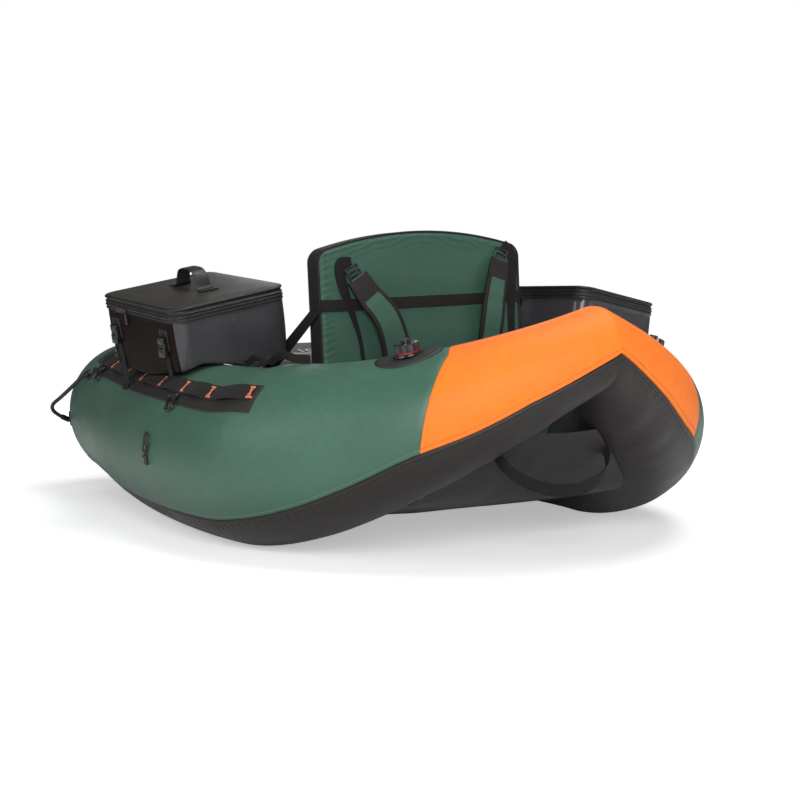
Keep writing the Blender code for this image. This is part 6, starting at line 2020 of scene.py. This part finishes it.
@dataclass
class Apron:
    """The lap apron over both tubes' crowns, bound at its edges, with a printed ruler across it."""

    rear: float = 0.335
    front: float = 0.620
    edge_angle: float = 77.0
    leave_angle: float = 95.0
    thickness: float = 0.0020
    lift: float = 0.0015
    rows: int = 70
    wrap_steps: int = 16
    span_steps: int = 90
    ruler_y: float = 0.470
    ruler_start: float = -0.06
    ruler_length: float = 0.30
    tilt: float = 0.012
    droop: float = 0.020

    def lower(self, y: Array) -> Array:
        """The apron's lower face: it lies on each tube from the edge to the leave angle, then sags.

        Args:
            y: Places along the float tube.

        Returns:
            Points row by row, from the left edge to the right one.
        """
        station = np.interp(y, TUBE.y, TUBE.station)[:, None]
        angles = np.radians(np.linspace(self.edge_angle, self.leave_angle, self.wrap_steps + 1))[None]
        wrap = TUBE.skin(station, angles, self.lift)
        wrap[..., 1] = y[:, None]
        reach, height = -wrap[:, -1, 0][:, None], wrap[:, -1, 2][:, None]
        sag = reach * math.tan(math.radians(self.leave_angle - 90)) / 2
        across = np.linspace(-1, 1, self.span_steps + 1)[None, 1:-1]
        span = np.stack([across * reach, 0 * across + y[:, None], height - sag * (1 - across**2)], -1)
        whole = np.concatenate([wrap, span, Side.RIGHT.mirror(wrap[:, ::-1])], axis=1)
        whole[..., 2] += self.slackness(whole[..., 0], whole[..., 1])
        return whole

    def slackness(self, x: Array, y: Array) -> Array:
        """How the free cloth tilts towards the seat, and droops at its rear edge, between the tubes."""
        free = 1 - step_up(np.abs(x), 0.14, 0.34)
        middle, half = (self.rear + self.front) / 2, (self.front - self.rear) / 2
        drooping = (1 - step_up(y, self.rear, self.rear + 0.05)) * (1 - step_up(np.abs(x), 0.14, 0.26))
        return self.tilt * (y - middle) / half * free - self.droop * drooping

    def grid(self) -> tuple:
        """The upper and lower faces with a doubled hem, a stitch line and soft level waves."""
        y = np.linspace(self.rear, self.front, self.rows)
        low = self.lower(y)
        x = low[..., 0]
        side_off = np.minimum(np.abs(x - x[:, :1]), np.abs(x - x[:, -1:]))
        off = np.minimum(np.minimum(y - self.rear, self.front - y)[:, None], side_off)
        free = step_up(off, 0.01, 0.05) * (1 - step_up(np.abs(x), 0.30, 0.36))
        slack = Unevenness(91)
        wave = 0.0014 * slack.at(x / 0.12, y[:, None] / 0.05) * free
        hem = 0.0005 * (1 - step_up(off, 0.014, 0.016)) - 0.0005 * bell(off, 0.012, 0.0012)
        upper, under = low.copy(), low.copy()
        upper[..., 2] += self.thickness - 0.0005 + hem + wave
        under[..., 2] += wave
        return upper, under, low

    def cloth(self) -> None:
        """The apron as a stretched sheet that rests on the covers."""
        upper, under, low = self.grid()
        uv = np.stack(np.broadcast_arrays(upper[..., 0], upper[..., 1]), -1)
        piece = make("lap_apron_hemmed", slab(upper, under, uv), [APRON_CLOTH], "apron",
                     ["lap_apron"])
        flat = (float(np.linalg.norm(np.diff(low[self.rows // 2], axis=0), axis=1).sum()) + 0.06,
                self.front - self.rear)
        min(one_side_area(low), flat[0] * flat[1])

    def height_at(self, x: Array, y: Array) -> Array:
        """Height of the upper face between the tubes: z = height - sag (1 - (x / reach)^2) + thickness."""
        row = self.lower(y.reshape(-1))
        first, last = row[:, self.wrap_steps], row[:, -1 - self.wrap_steps]
        reach = (last[:, 0] - first[:, 0]) / 2
        sag = reach * math.tan(math.radians(self.leave_angle - 90)) / 2
        level = first[:, 2] - sag * (1 - (x.reshape(-1) / reach) ** 2) + self.slackness(x, y).reshape(-1)
        return (level + self.thickness).reshape(x.shape)

    def printed(self, name: str, flat_points: Array, faces: list) -> None:
        """Thin print on the apron: plan points raised just over the cloth."""
        z = self.height_at(flat_points[:, 0], flat_points[:, 1]) + 0.0013
        points = np.concatenate([flat_points, z[:, None]], axis=1)
        hint = np.tile([0.0, 0, 1.0], (len(points), 1))
        make(name, Surface(points, faces, flat_points, hint), [PRINT], "apron")

    def ticks(self) -> None:
        """Ruler ticks each 10 mm, longer each 50 mm, and the ruler's base line."""
        at = np.arange(round(self.ruler_length / 0.010) + 1)
        length = np.where(at % 5 == 0, 0.030, 0.018)
        corners = np.array([(-1, 0), (1, 0), (1, 1), (-1, 1)], float)
        x = self.ruler_start + at[:, None] * 0.010 + corners[None, :, 0] * 0.0008
        y = self.ruler_y - corners[None, :, 1] * length[:, None]
        points = np.stack([x, y], -1).reshape(-1, 2)
        faces = np.arange(len(points)).reshape(-1, 4)
        line = np.linspace(self.ruler_start, self.ruler_start + self.ruler_length, 80)
        base = np.concatenate([np.stack([line, 0 * line + self.ruler_y + s], -1) for s in (0, 0.006)])
        k = np.arange(79) + len(points)
        joined = np.stack([k, k + 1, k + 81, k + 80], -1)
        self.printed("ruler_lines", np.concatenate([points, base]), [faces, joined])

    def numbers(self) -> None:
        """The ruler's numbers, each 100 mm, as they read from the seat."""
        for number in range(4):
            curve = bpy.data.curves.new("ruler number", "FONT")
            curve.body = str(number * 10)
            curve.size = 0.055
            curve.align_x = "CENTER"
            holder = bpy.data.objects.new("ruler number", curve)
            bpy.context.scene.collection.objects.link(holder)
            mesh = bpy.data.meshes.new_from_object(holder)
            flat_points = np.empty(len(mesh.vertices) * 3)
            mesh.vertices.foreach_get("co", flat_points)
            shift = np.array([self.ruler_start + number * 0.10, self.ruler_y + 0.020])
            flat_points = flat_points.reshape(-1, 3)[:, :2] + shift
            mesh.calc_loop_triangles()
            corners = np.empty(len(mesh.loop_triangles) * 3, np.int32)
            mesh.loop_triangles.foreach_get("vertices", corners)
            bpy.data.objects.remove(holder)
            self.printed(f"ruler_number_{number * 10}", flat_points, [corners.reshape(-1, 3)])

    def build(self) -> None:
        """Builds the apron and its ruler."""
        self.cloth()
        self.ticks()
        self.numbers()


# Bags


@dataclass
class Bag:
    """A zipped cool bag on a tube: film body and lid with beads, a strap handle, and two buckled straps."""

    side: Side
    width: float = 0.274
    depth: float = 0.355
    height: float = 0.128
    corner: float = 0.034
    taper: float = 0.006
    wall: float = 0.0035
    foot: float = 0.007
    ridge: float = 0.0030
    ridge_height: float = 0.0075
    lid_height: float = 0.0215
    lid_crown: float = 0.0050
    sag: float = 0.018
    base_lift: float = 0.0022
    strip_rise: float = 0.0085
    gap: float = 0.0003
    handle_half: float = 0.062
    handle_back: float = 0.014
    handle_foot: float = 0.026
    handle_width: float = 0.032
    handle_foot_width: float = 0.044
    handle_thickness: float = 0.0030
    strap_top: float = 0.095
    strap_margin: float = 0.060
    strap_tail: float = 0.018
    pull_ahead: float = 0.052
    pull_length: float = 0.032
    buckle_height: float = 0.064
    belly: float = 0.0022
    dent: float = 0.0012
    rest_halvings: int = 24
    lap_share: float = 0.74
    lap_size: tuple = (0.007, 0.0008)
    plate_size: tuple = (0.078, 0.036, 0.046, 0.0011)
    coil_points: int = 900
    coil_radius: float = 0.0011
    coil_pitch: float = 0.0045
    coil_wave: float = 0.0004
    eyelet_radius: float = 0.0009
    lid_slack: float = 0.0013
    lid_seam: float = 0.0016
    crease_degrees: float = 55.0
    # Each block's size, offset and bevel: the socket, the gap, the plug, two prongs and three grips.
    buckle_blocks: tuple = (
        ((0.0270, 0.0230, 0.0110), (0, 0.0105, 0), 0.0026),
        ((0.0200, 0.0060, 0.0085), (0, -0.0035, 0), 0.0018),
        ((0.0250, 0.0165, 0.0100), (0, -0.0142, 0), 0.0024),
        ((0.0044, 0.0150, 0.0070), (0.0112, -0.002, 0), 0.0018),
        ((0.0044, 0.0150, 0.0070), (-0.0112, -0.002, 0), 0.0018),
        ((0.0150, 0.0016, 0.0018), (0, 0.0040, 0.0052), 0.0005),
        ((0.0150, 0.0016, 0.0018), (0, 0.0090, 0.0052), 0.0005),
        ((0.0180, 0.0024, 0.0020), (0, -0.0190, 0.0046), 0.0006),
    )
    # The pull's sections: share of its length down, and shares of its half width and depth.
    pull_sections: tuple = (
        (0.0, 0.55, 0.5), (0.04, 0.66, 0.9), (0.15, 0.7, 1.0), (0.42, 0.7, 1.0),
        (0.50, 0.9, 1.0), (0.58, 1.0, 1.0), (0.64, 1.0, 0.8), (0.70, 1.0, 1.0),
        (0.76, 1.0, 0.8), (0.82, 1.0, 1.0), (0.92, 0.96, 0.9), (1.0, 0.62, 0.4),
    )

    def __post_init__(self) -> None:
        """Places the bag: moved, turned, leaned outwards and pitched."""
        left = self.side is Side.LEFT
        place = (-0.4245, 0.0790, 0.3780) if left else (0.4340, -0.0980, 0.3655)
        yaw, lean, pitch = (5.2, 11.8, 6.1) if left else (13.0, 9.0, 0.2)
        self.rise = 0.041 if left else 0.0035
        turn = Matrix.Rotation(math.radians(yaw), 4, "Z")
        turn = turn @ Matrix.Rotation(math.radians(lean) * self.side.value, 4, "Y")
        self.place = Matrix.Translation(place) @ turn @ Matrix.Rotation(math.radians(pitch), 4, "X")
        self.back = self.place.inverted()

    def outline(self, inset: Array) -> Array:
        """The plan outline drawn in by an inset, with the same count of points each time."""
        return rounded_outline(self.width / 2 - inset, self.depth / 2 - inset, self.corner - inset, 12, 26)

    def out(self, plan: Array, heights: Array) -> Array:
        """Local points from plan points and heights, mirrored to the side."""
        heights = np.broadcast_to(heights, (len(plan),))
        return np.stack([plan[:, 0] * self.side.value, plan[:, 1], heights], -1)

    def rest(self, plan: Array) -> Array:
        """Heights at which the base lies on the tube or hangs beside it, found by halving the range."""
        low, high = np.full(len(plan), -TUBE.radius / 2), np.full(len(plan), self.height / 2)
        lift = self.base_lift + self.strip_rise * np.clip((plan[:, 0] / (self.width / 2) - 0.3) / 0.3, 0, 1)

        def clear(heights: Array) -> Array:
            """Whether the base's points at these heights are off the tube."""
            return TUBE.clearance(self.side.mirror(moved(self.out(plan, heights), self.place))) > lift

        return np.maximum(halved(low, high, self.rest_halvings, clear)[1], -self.sag)

    def dented(self, rings: list, strength: float, seed: int, keep: Sequence[int] = ()) -> Array:
        """Rings pressed in and out a little along their plan direction, uneven from place to place.

        Args:
            rings: Rings of local points.
            strength: Depth of the dents.
            seed: Seed of the unevenness.
            keep: Rings that stay as they are.

        Returns:
            The rings as one array.
        """
        rows = np.array(rings)
        slack = Unevenness(seed)
        along = arc_length(rows[len(rows) // 2])
        ways = unit(rows * np.array([1, 1, 0]))
        relief = strength * slack.at(along[None] / 0.07, rows[..., 2] / 0.05)
        relief[list(keep)] = 0
        return rows + ways * relief[..., None]

    def body(self) -> None:
        """The body: base on the tube, tapering walls with painted shade on the outer side and a painted
        reflection on the others, the rim bead and a pale liner.
        """
        foot = self.outline(self.foot + self.taper)
        low = self.outline(self.taper)
        floor = self.rest(low)
        rings = [self.out(foot * s, self.rest(foot * s)) for s in (0.05, 0.25, 0.45, 0.65, 0.85, 0.95)]
        for turn in np.radians((0, 30, 60, 90)):
            plan = self.outline(self.taper + self.foot * (1 - math.sin(turn)))
            rings.append(self.out(plan, self.rest(plan) + self.foot * (1 - math.cos(turn))))
        ridge = self.height - self.ridge_height
        for share in np.linspace(0.08, 1, 16):
            height = (floor + self.foot) * (1 - share) + (ridge - self.ridge) * share
            belly = self.belly * math.sin(math.pi * share)
            rings.append(self.out(self.outline(self.taper * (1 - share) - belly), height))
        first_bead = len(rings)
        top = self.height
        bead = ((-0.6, ridge - 0.0016), (-1.0, ridge), (-0.9, ridge + 0.0018), (-0.35, ridge + 0.0026),
                (-0.3, top - 0.0026), (-0.9, top - 0.0016), (-1.0, top - 0.0005), (-0.8, top))
        rings += [self.out(self.outline(self.ridge * share), height) for share, height in bead]
        rings.append(self.out(self.outline(self.wall), top))
        liner = len(rings) - 1
        inner = self.outline(self.foot + self.taper + self.wall)
        rings.append(self.out(self.outline(self.wall + 0.001), top - 0.01))
        rings += [self.out(inner * s, self.rest(inner * s) + self.wall) for s in (1.0, 0.7, 0.35, 0.05)]
        keep = [*range(8), *range(first_bead, len(rings))]
        rows = self.dented(rings, self.dent, 101 + self.side.value, keep)
        surface = lathe_rows(moved(rows, self.place))
        count = rows.shape[1]
        numbers = np.arange(len(surface.faces[0]))
        wall_faces = np.zeros(len(numbers), int)
        row_of = numbers // count
        wall_faces[(row_of >= first_bead) & (row_of < liner)] = 1
        wall_faces[row_of >= liner] = 2
        # The outer side wall takes the shaded copy of the film, painted shade; the other walls take the
        # lighter copy, a painted reflection.
        outer = self.outline(self.taper)[:, 0] > self.width / 2 - self.taper - 0.004
        at_side = outer[numbers % count]
        wall_faces[(row_of < first_bead) & at_side] = 3
        surface.paint = [wall_faces, np.array([0]), np.array([2])]
        word = self.side.word
        make(f"{word}_bag_body_welded", surface, [BAG_WALL_LIT, BAG_TRIM, BAG_LINER, BAG_SIDE_SHADED], "hull",
             [f"{word}_bag_body"], self.crease_degrees)
        self.trim()

    def on_wall(self, face: str, along: Array, height: Array, lift: float) -> Array:
        """Local points on a wall of the body, off it by a lift.

        Args:
            face: "outer", "rear" or "front".
            along: Distance along the wall from its middle.
            height: Height over the base.
            lift: Distance off the wall.

        Returns:
            The points.
        """
        low, high = self.foot, self.height - self.ridge_height - self.ridge
        share = np.clip((height - low) / (high - low), 0, 1)
        inset = self.taper * (1 - share) - self.belly * np.sin(math.pi * share)
        if face == "outer":
            return np.stack([self.side.value * (self.width / 2 - inset + lift), along + 0 * height,
                             height + 0 * along], -1)
        sign = 1 if face == "front" else -1
        return np.stack([self.side.value * along + 0 * height, sign * (self.depth / 2 - inset + lift),
                         height + 0 * along], -1)

    def plate(self, face: str, at: float, height: float, wide: float, tall: float, thick: float) -> Surface:
        """A thin stitched or welded plate on a wall, rounded at its rim."""
        u, v = np.meshgrid(np.linspace(-1, 1, 25), np.linspace(-1, 1, 25), indexing="ij")
        off = np.minimum((1 - np.abs(u)) * wide / 2, (1 - np.abs(v)) * tall / 2)
        rise = thick * round_edge(off, 0.0015) - 0.0004 * bell(off, 0.003, 0.0007)
        along, up = at + u * wide / 2, height + v * tall / 2
        top = self.on_wall(face, along, up, 0.0004) + (
            self.on_wall(face, along, up, 1.0) - self.on_wall(face, along, up, 0.0)) * rise[..., None]
        low = self.on_wall(face, along, up, -0.0012)
        return slab(moved(top, self.place), moved(low, self.place), np.stack([along, up], -1))

    def trim(self) -> None:
        """Zip coil, weld laps, the zip's end patch, the plates behind the buckles and the slider."""
        word = self.side.word
        coil = self.out(self.outline(-self.ridge * 0.75), self.height + self.gap / 2)
        even, path = resampled(coil, self.coil_points, True)
        wave = self.coil_wave * np.sin(even * math.tau / self.coil_pitch)
        path[:, :2] += unit(path[:, :2]) * wave[:, None]
        coil = closed_rod(moved(path, self.place), self.coil_radius, 8)
        make(f"{word}_zip_coil", coil, [NYLON], "hull")
        wide, thick = self.lap_size
        laps = [self.plate(face, 0.0, self.height * 0.44, wide, self.height * self.lap_share, thick)
                for face in ("rear", "front")]
        make(f"{word}_bag_weld_laps", joined_up(laps), [BAG_WALL_LIT], "hull")
        low = self.height - self.ridge_height * 0.75
        patch = self.plate("outer", self.pull_ahead + 0.034, low, 0.034, 0.014, 0.0036)
        make(f"{word}_zip_end_patch", patch, [ZIP_PATCH], "hull")
        plates = [self.plate("outer", sign * (self.depth / 2 - self.strap_margin), *self.plate_size)
                  for sign in (-1, 1)]
        make(f"{word}_buckle_plates", joined_up(plates), [BAG_TRIM], "hull")
        out = self.width / 2 + self.ridge + 0.0008
        spot = Matrix.Translation((self.side.value * out, self.pull_ahead, self.height - 0.0025))
        slider = box_surface((0.0030, 0.013, 0.0075), 0.0010, self.place @ spot)
        make(f"{word}_zip_slider", slider, [NYLON], "hull")

    def lid_top(self, share: Array) -> Array:
        """Height of the lid's crowned top, at a share of the way out from its middle."""
        return self.height + self.gap + self.lid_height + self.lid_crown * (1 - share**2)

    def lid(self) -> None:
        """The lid: its rim, two beads and a crowned, slightly slack top."""
        low = self.height + self.gap
        bead = low + self.lid_height - 2 * self.ridge
        roof = low + self.lid_height - self.wall
        inner = self.outline(self.wall)
        rings = [self.out(inner * s, roof) for s in (0.05, 0.5, 1.0)]
        profile = ((self.wall, low), (-self.ridge * 0.8, low), (-self.ridge, low + 0.0008),
                   (-self.ridge * 0.9, low + 0.0020), (-self.ridge * 0.3, low + 0.0028),
                   (-self.ridge * 0.3, low + self.ridge_height - 0.0028),
                   (-self.ridge, low + self.ridge_height - 0.0008),
                   (-self.ridge * 0.6, low + self.ridge_height + 0.0010),
                   (0, low + self.ridge_height + 0.0022), (0.0006, (low + self.ridge_height + bead) / 2),
                   (0, bead - 0.0018), (-self.ridge * 0.7, bead - 0.0006), (-self.ridge, bead + 0.0012),
                   (-self.ridge * 0.8, bead + 0.0032), (-self.ridge * 0.2, bead + 0.0044),
                   (0.002, bead + 0.0050))
        rings += [self.out(self.outline(inset), height) for inset, height in profile]
        rim = len(rings)
        edge = self.outline(0.0)
        shares = np.array([0.96, 0.90, 0.80, 0.70, 0.60, 0.50, 0.40, 0.30, 0.20, 0.10, 0.02])
        for share in shares:
            seam = self.lid_seam * bell(share, 0.97, 0.02)
            rings.append(self.out(edge * share, self.lid_top(share) - seam))
        rows = np.array(rings)
        slack = Unevenness(121 + self.side.value)
        soft = self.lid_slack * slack.at(rows[rim:, :, 0] / 0.08 + 20, rows[rim:, :, 1] / 0.06 + 20)
        inward = 1 - shares[:, None]
        rows[rim:, :, 2] += soft * step_up(inward, 0.05, 0.3) - 0.0004 * step_up(inward, 0.3, 1.0)
        surface = lathe_rows(moved(rows, self.place))
        count = rows.shape[1]
        row_of = np.arange(len(surface.faces[0])) // count
        paint = np.where(row_of >= rim - 1, 0, 1)
        paint[row_of < 3] = 2
        surface.paint = [paint, np.array([2]), np.array([0])]
        word = self.side.word
        make(f"{word}_bag_lid_welded", surface, [BAG_TOP, BAG_TRIM, BAG_LINER], f"{word}_lid",
             [f"{word}_bag_lid"], self.crease_degrees)
        self.handle()

    def handle(self) -> None:
        """The lid's strap handle on two flared feet, each with two eyelets."""
        half, foot = self.handle_half, self.handle_foot
        legs = [(half + foot / 2, 0.0), (half - foot / 2, 0.0)]
        legs += [(half * a, self.rise * b) for a, b in ((0.70, 0.50), (0.52, 0.90), (0.28, 1.0))]
        route = np.array(legs + [(-y, up) for y, up in reversed(legs)])
        even, route = resampled(route, 90)
        y, up = smoothed(route, 12).T
        y = y - self.handle_back
        seat = self.lid_top(np.abs(y) / (self.depth / 2)) + 0.0006
        path = np.stack([0 * y, y, seat + np.maximum(up, 0)], -1)
        flare = 1 - step_up(np.minimum(even, even[-1] - even), foot * 0.8, foot * 1.5)
        widths = self.handle_width + (self.handle_foot_width - self.handle_width) * flare
        turned = np.array(self.place.to_3x3())
        across = turned @ np.array([-1.0, 0, 0])
        web = strap(moved(path, self.place), across, widths, self.handle_thickness, 16)
        word = self.side.word
        body = f"{word}_lid"
        make(f"{word}_bag_handle_strap", web, [BAG_TRIM], body, [f"{word}_bag_handle"])
        eyelets = []
        turn = np.linspace(0, math.tau, 20, endpoint=False)
        for sign in (-1, 1):
            for x in (-0.012, 0.012):
                centre_y = sign * half - self.handle_back
                height = self.lid_top(np.array(abs(centre_y) /
                                               (self.depth / 2))) + 0.0006 + self.handle_thickness
                ring = np.stack([x + 0.0034 * np.cos(turn), centre_y + 0.0034 * np.sin(turn),
                                 0 * turn + height], -1)
                eyelets.append(closed_rod(moved(ring, self.place), self.eyelet_radius, 8))
        make(f"{word}_handle_eyelets", joined_up(eyelets), [NYLON], body)

    def landing(self, y: float, lift: float) -> Array:
        """Where a strap that runs straight down the outer wall comes within a lift of the tube."""
        out = self.side.value * (self.width / 2 - self.taper + 0.0009)

        def clear(height: Array) -> bool:
            """Whether the strap at this height is off the tube."""
            point = moved(np.array([[out, y, float(height)]]), self.place)
            return TUBE.clearance(self.side.mirror(point))[0] > lift

        foot = halved(-TUBE.radius, self.strap_top / 2, self.rest_halvings, clear)[1]
        return np.array((out, y, float(foot)))

    def face(self, height: float) -> float:
        """How far out the tapering outer wall is at a height, with its clearance."""
        low, high = self.foot, self.height - self.ridge_height - self.ridge
        share = min(max((height - low) / (high - low), 0), 1)
        return self.width / 2 - self.taper * (1 - share) + 0.0009

    def straps(self) -> None:
        """Two straps down the outer wall to the lashing strip, each with a release buckle."""
        word = self.side.word
        lift = 0.0016 + 0.0016 + 0.0005 + 0.0025 + 0.0016 + 0.0010
        for name, sign in (("front", 1), ("rear", -1)):
            y = sign * (self.depth / 2 - self.strap_margin)
            landing = self.landing(y, lift)
            heights = (self.strap_top, self.strap_top * 0.7 + landing[2] * 0.3,
                       (self.strap_top + landing[2]) / 2)
            belly = (0.0012, 0.0024, 0.0018)
            points = [np.array((self.side.value * (self.face(h) + b), y, h)) for h,
                      b in zip(heights, belly)] + [landing]
            touch = self.side.mirror(moved(landing[None], self.place))[0]
            station = np.interp(touch[1], TUBE.y, TUBE.station)
            centre, _, outward = TUBE.centre(np.array(station))
            angle = math.atan2(touch[2] - centre[2], float(np.dot(touch - centre, outward)))
            for share in (0.5, 1.0):
                lower = angle - share * self.strap_tail / float(TUBE.girth(np.array(station)))
                point = TUBE.skin(np.array(station), np.array(lower), lift)
                point[1] = touch[1]
                points.append(moved(self.side.mirror(point)[None], self.back)[0])
            path = smoothed(resampled(np.array(points), 60)[1], 8)
            turned = np.array(self.place.to_3x3())
            sideways = turned @ np.array([0.0, -self.side.value, 0])
            web = strap(moved(path, self.place), sideways, 0.020, 0.0016)
            make(f"{word}_bag_strap_{name}_sewn", web, [BLACK_WEB], "hull",
                 [f"{word}_bag_strap_{name}"])
            self.buckle(name, y)

    def buckle(self, name: str, y: float) -> None:
        """A side-release buckle: the socket with its window, the plug's shoulders, and two prongs."""
        word = self.side.word
        out = self.face(self.buckle_height + 0.023) + 0.0016 + 0.0003
        sign = self.side.value
        at = Matrix.Translation((sign * (out + 0.0055), y, self.buckle_height))
        stand = Matrix(((0, 0, sign), (-sign, 0, 0), (0, -1, 0))).to_4x4()
        place = self.place @ at @ stand
        whole = joined_up([box_surface(size, bevel, place @ Matrix.Translation(offset)).outward()
                           for size, offset, bevel in self.buckle_blocks])
        make(f"{word}_release_buckle_{name}", whole, [NYLON], "hull",
             [f"{word}_bag_buckle_{name}"])

    def pull(self) -> None:
        """The zip's pull tab, hung from the lower bead: a rounded tab with a moulded grip."""
        out = self.width / 2 + self.ridge + self.gap
        top = self.height - self.ridge_height / 2
        rows = []
        turn = np.linspace(0, math.tau, 20, endpoint=False)
        for down, wide, deep in self.pull_sections:
            x = out + 0.0012 + 0.0012 * deep * np.sign(np.cos(turn)) * np.abs(np.cos(turn)) ** 0.5
            y = self.pull_ahead + 0.005 * wide * np.sign(np.sin(turn)) * np.abs(np.sin(turn)) ** 0.5
            level = np.full(len(turn), top - self.pull_length * down)
            rows.append(np.stack([self.side.value * x, y, level], -1))
        word = self.side.word
        make(f"{word}_zip_pull_tab", lathe_rows(moved(np.array(rows), self.place)), [NYLON], f"{word}_pull",
             [f"{word}_zip_pull"])

    def build(self) -> None:
        """Builds the bag with its lid, handle, straps and pull."""
        self.body()
        self.lid()
        self.straps()
        self.pull()


# Studio


@dataclass
class Studio:
    """A pale floor, soft lights, a white surround, and the camera at the photo's angle."""

    target: tuple = (0.0, -0.197, 0.3)
    azimuth: float = -30.8527
    elevation: float = 3.5136
    distance: float = 2.98796
    lens: float = 60.337
    shift: tuple = (-0.03403, -0.01314)
    sensor: float = 36.0
    far_clip: float = 60.0
    floor_size: float = 9.0
    seen_white: tuple = (1, 1, 1, 1)
    room_light: tuple = (0.090, 0.091, 0.094, 1)
    paper: tuple = ((0.93, 0.93, 0.93, 1), (0.95, 0.95, 0.95, 1))
    lamps: tuple = (
        ("overhead", (0.6, -0.6, 3.3), (2.2, 2.2), 74, (0, 0, 0.3)),
        ("camera left", (-1.9, -3.7, 1.4), (1.3, 2.3), 124, (0, 0, 0.3)),
        ("camera right", (2.6, -3.0, 0.9), (2.6, 1.7), 24, (0, 0, 0.4)),
        ("tube gloss", (-3.0, -0.1, 1.3), (1.3, 1.1), 22, (-0.5, -0.4, 0.3)),
        ("far side", (1.9, 3.2, 2.2), (2.0, 1.0), 14, (0, 0, 0.3)),
    )

    def camera(self) -> None:
        """Looks at the target from its azimuth and elevation."""
        az, el = math.radians(self.azimuth), math.radians(self.elevation)
        back = Vector((math.sin(az) * math.cos(el), -math.cos(az) * math.cos(el), math.sin(el)))
        right = Vector((math.cos(az), math.sin(az), 0))
        up = back.cross(right)
        data = bpy.data.cameras.new("camera")
        data.sensor_width = self.sensor
        data.lens = self.lens
        data.shift_x, data.shift_y = self.shift
        data.clip_end = self.far_clip
        camera = bpy.data.objects.new("camera", data)
        turn = Matrix((right, up, back)).transposed().to_4x4()
        camera.matrix_world = Matrix.Translation(Vector(self.target) + back * self.distance) @ turn
        bpy.context.scene.collection.objects.link(camera)
        bpy.context.scene.camera = camera

    def light(self, name: str, place: tuple, size: tuple, power: float, aim: tuple) -> None:
        """A soft rectangular light that faces its aim."""
        data = bpy.data.lights.new(name, "AREA")
        data.shape = "RECTANGLE"
        data.size, data.size_y = size
        data.energy = power
        lamp = bpy.data.objects.new(name, data)
        way = (Vector(aim) - Vector(place)).to_track_quat("-Z", "Y")
        lamp.matrix_world = Matrix.Translation(place) @ way.to_matrix().to_4x4()
        bpy.context.scene.collection.objects.link(lamp)

    def surround(self) -> None:
        """White where the camera looks past the floor, softer grey as light."""
        world = bpy.data.worlds.new("surround")
        world.use_nodes = True
        tree = world.node_tree
        path = tree.nodes.new("ShaderNodeLightPath")
        mix = tree.nodes.new("ShaderNodeMix")
        mix.data_type = "RGBA"
        tree.links.new(path.outputs["Is Camera Ray"], mix.inputs[0])
        mix.inputs[6].default_value = self.room_light
        mix.inputs[7].default_value = self.seen_white
        background = tree.nodes["Background"]
        tree.links.new(mix.outputs[2], background.inputs["Color"])
        background.inputs["Strength"].default_value = 1.0
        bpy.context.scene.world = world

    def floor(self) -> None:
        """One pale matt plane under the float tube."""
        half = self.floor_size / 2
        mesh = bpy.data.meshes.new("floor")
        mesh.from_pydata([(-half, -half, 0), (half, -half, 0), (half, half, 0), (-half, half, 0)], [],
                         [(0, 1, 2, 3)])
        nodes = Nodes("floor paper")
        shade = nodes.noise(nodes.place(Socket.OBJECT), 1.5, 2.0)
        away = nodes.add("VectorMath", {0: nodes.place(Socket.OBJECT)}, operation="LENGTH").outputs["Value"]
        seen = nodes.add("LightPath").outputs["Is Camera Ray"]
        lift = nodes.between(away, 1.3, 2.9, 0.42, 1.0)
        nodes.dress({"Base Color": nodes.blend(shade, *self.paper),
                     "Roughness": nodes.between(shade, 0, 1, 0.85, 0.95), "Emission Color": self.seen_white,
                     "Emission Strength": nodes.sum("MULTIPLY", seen, lift), "Specular IOR Level": 0.1})
        mesh.materials.append(nodes.made)
        piece = bpy.data.objects.new("floor", mesh)
        bpy.context.scene.collection.objects.link(piece)

    def build(self) -> None:
        """Sets up the camera, lights, surround and floor."""
        scene = bpy.context.scene
        scene.view_settings.view_transform = "Standard"
        self.camera()
        self.surround()
        self.floor()
        for lamp in self.lamps:
            self.light(*lamp)


def main() -> None:
    """Builds every sub-assembly in order."""
    logging.basicConfig(level=logging.INFO, format="%(name)s: %(message)s")
    back = Backrest()
    HullPanel().build()
    Seat().build()
    back.build()
    Apron().build()
    for side in Side:
        TubeCover(side).build()
        EndPatch(side).build()
        Valve(side).build()
        LashingStrip(side).build()
        Cords(side).build()
        Stay(side, back).build()
        Bag(side).build()
    Studio().build()
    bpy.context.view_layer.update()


if __name__ == "__main__":
    main()
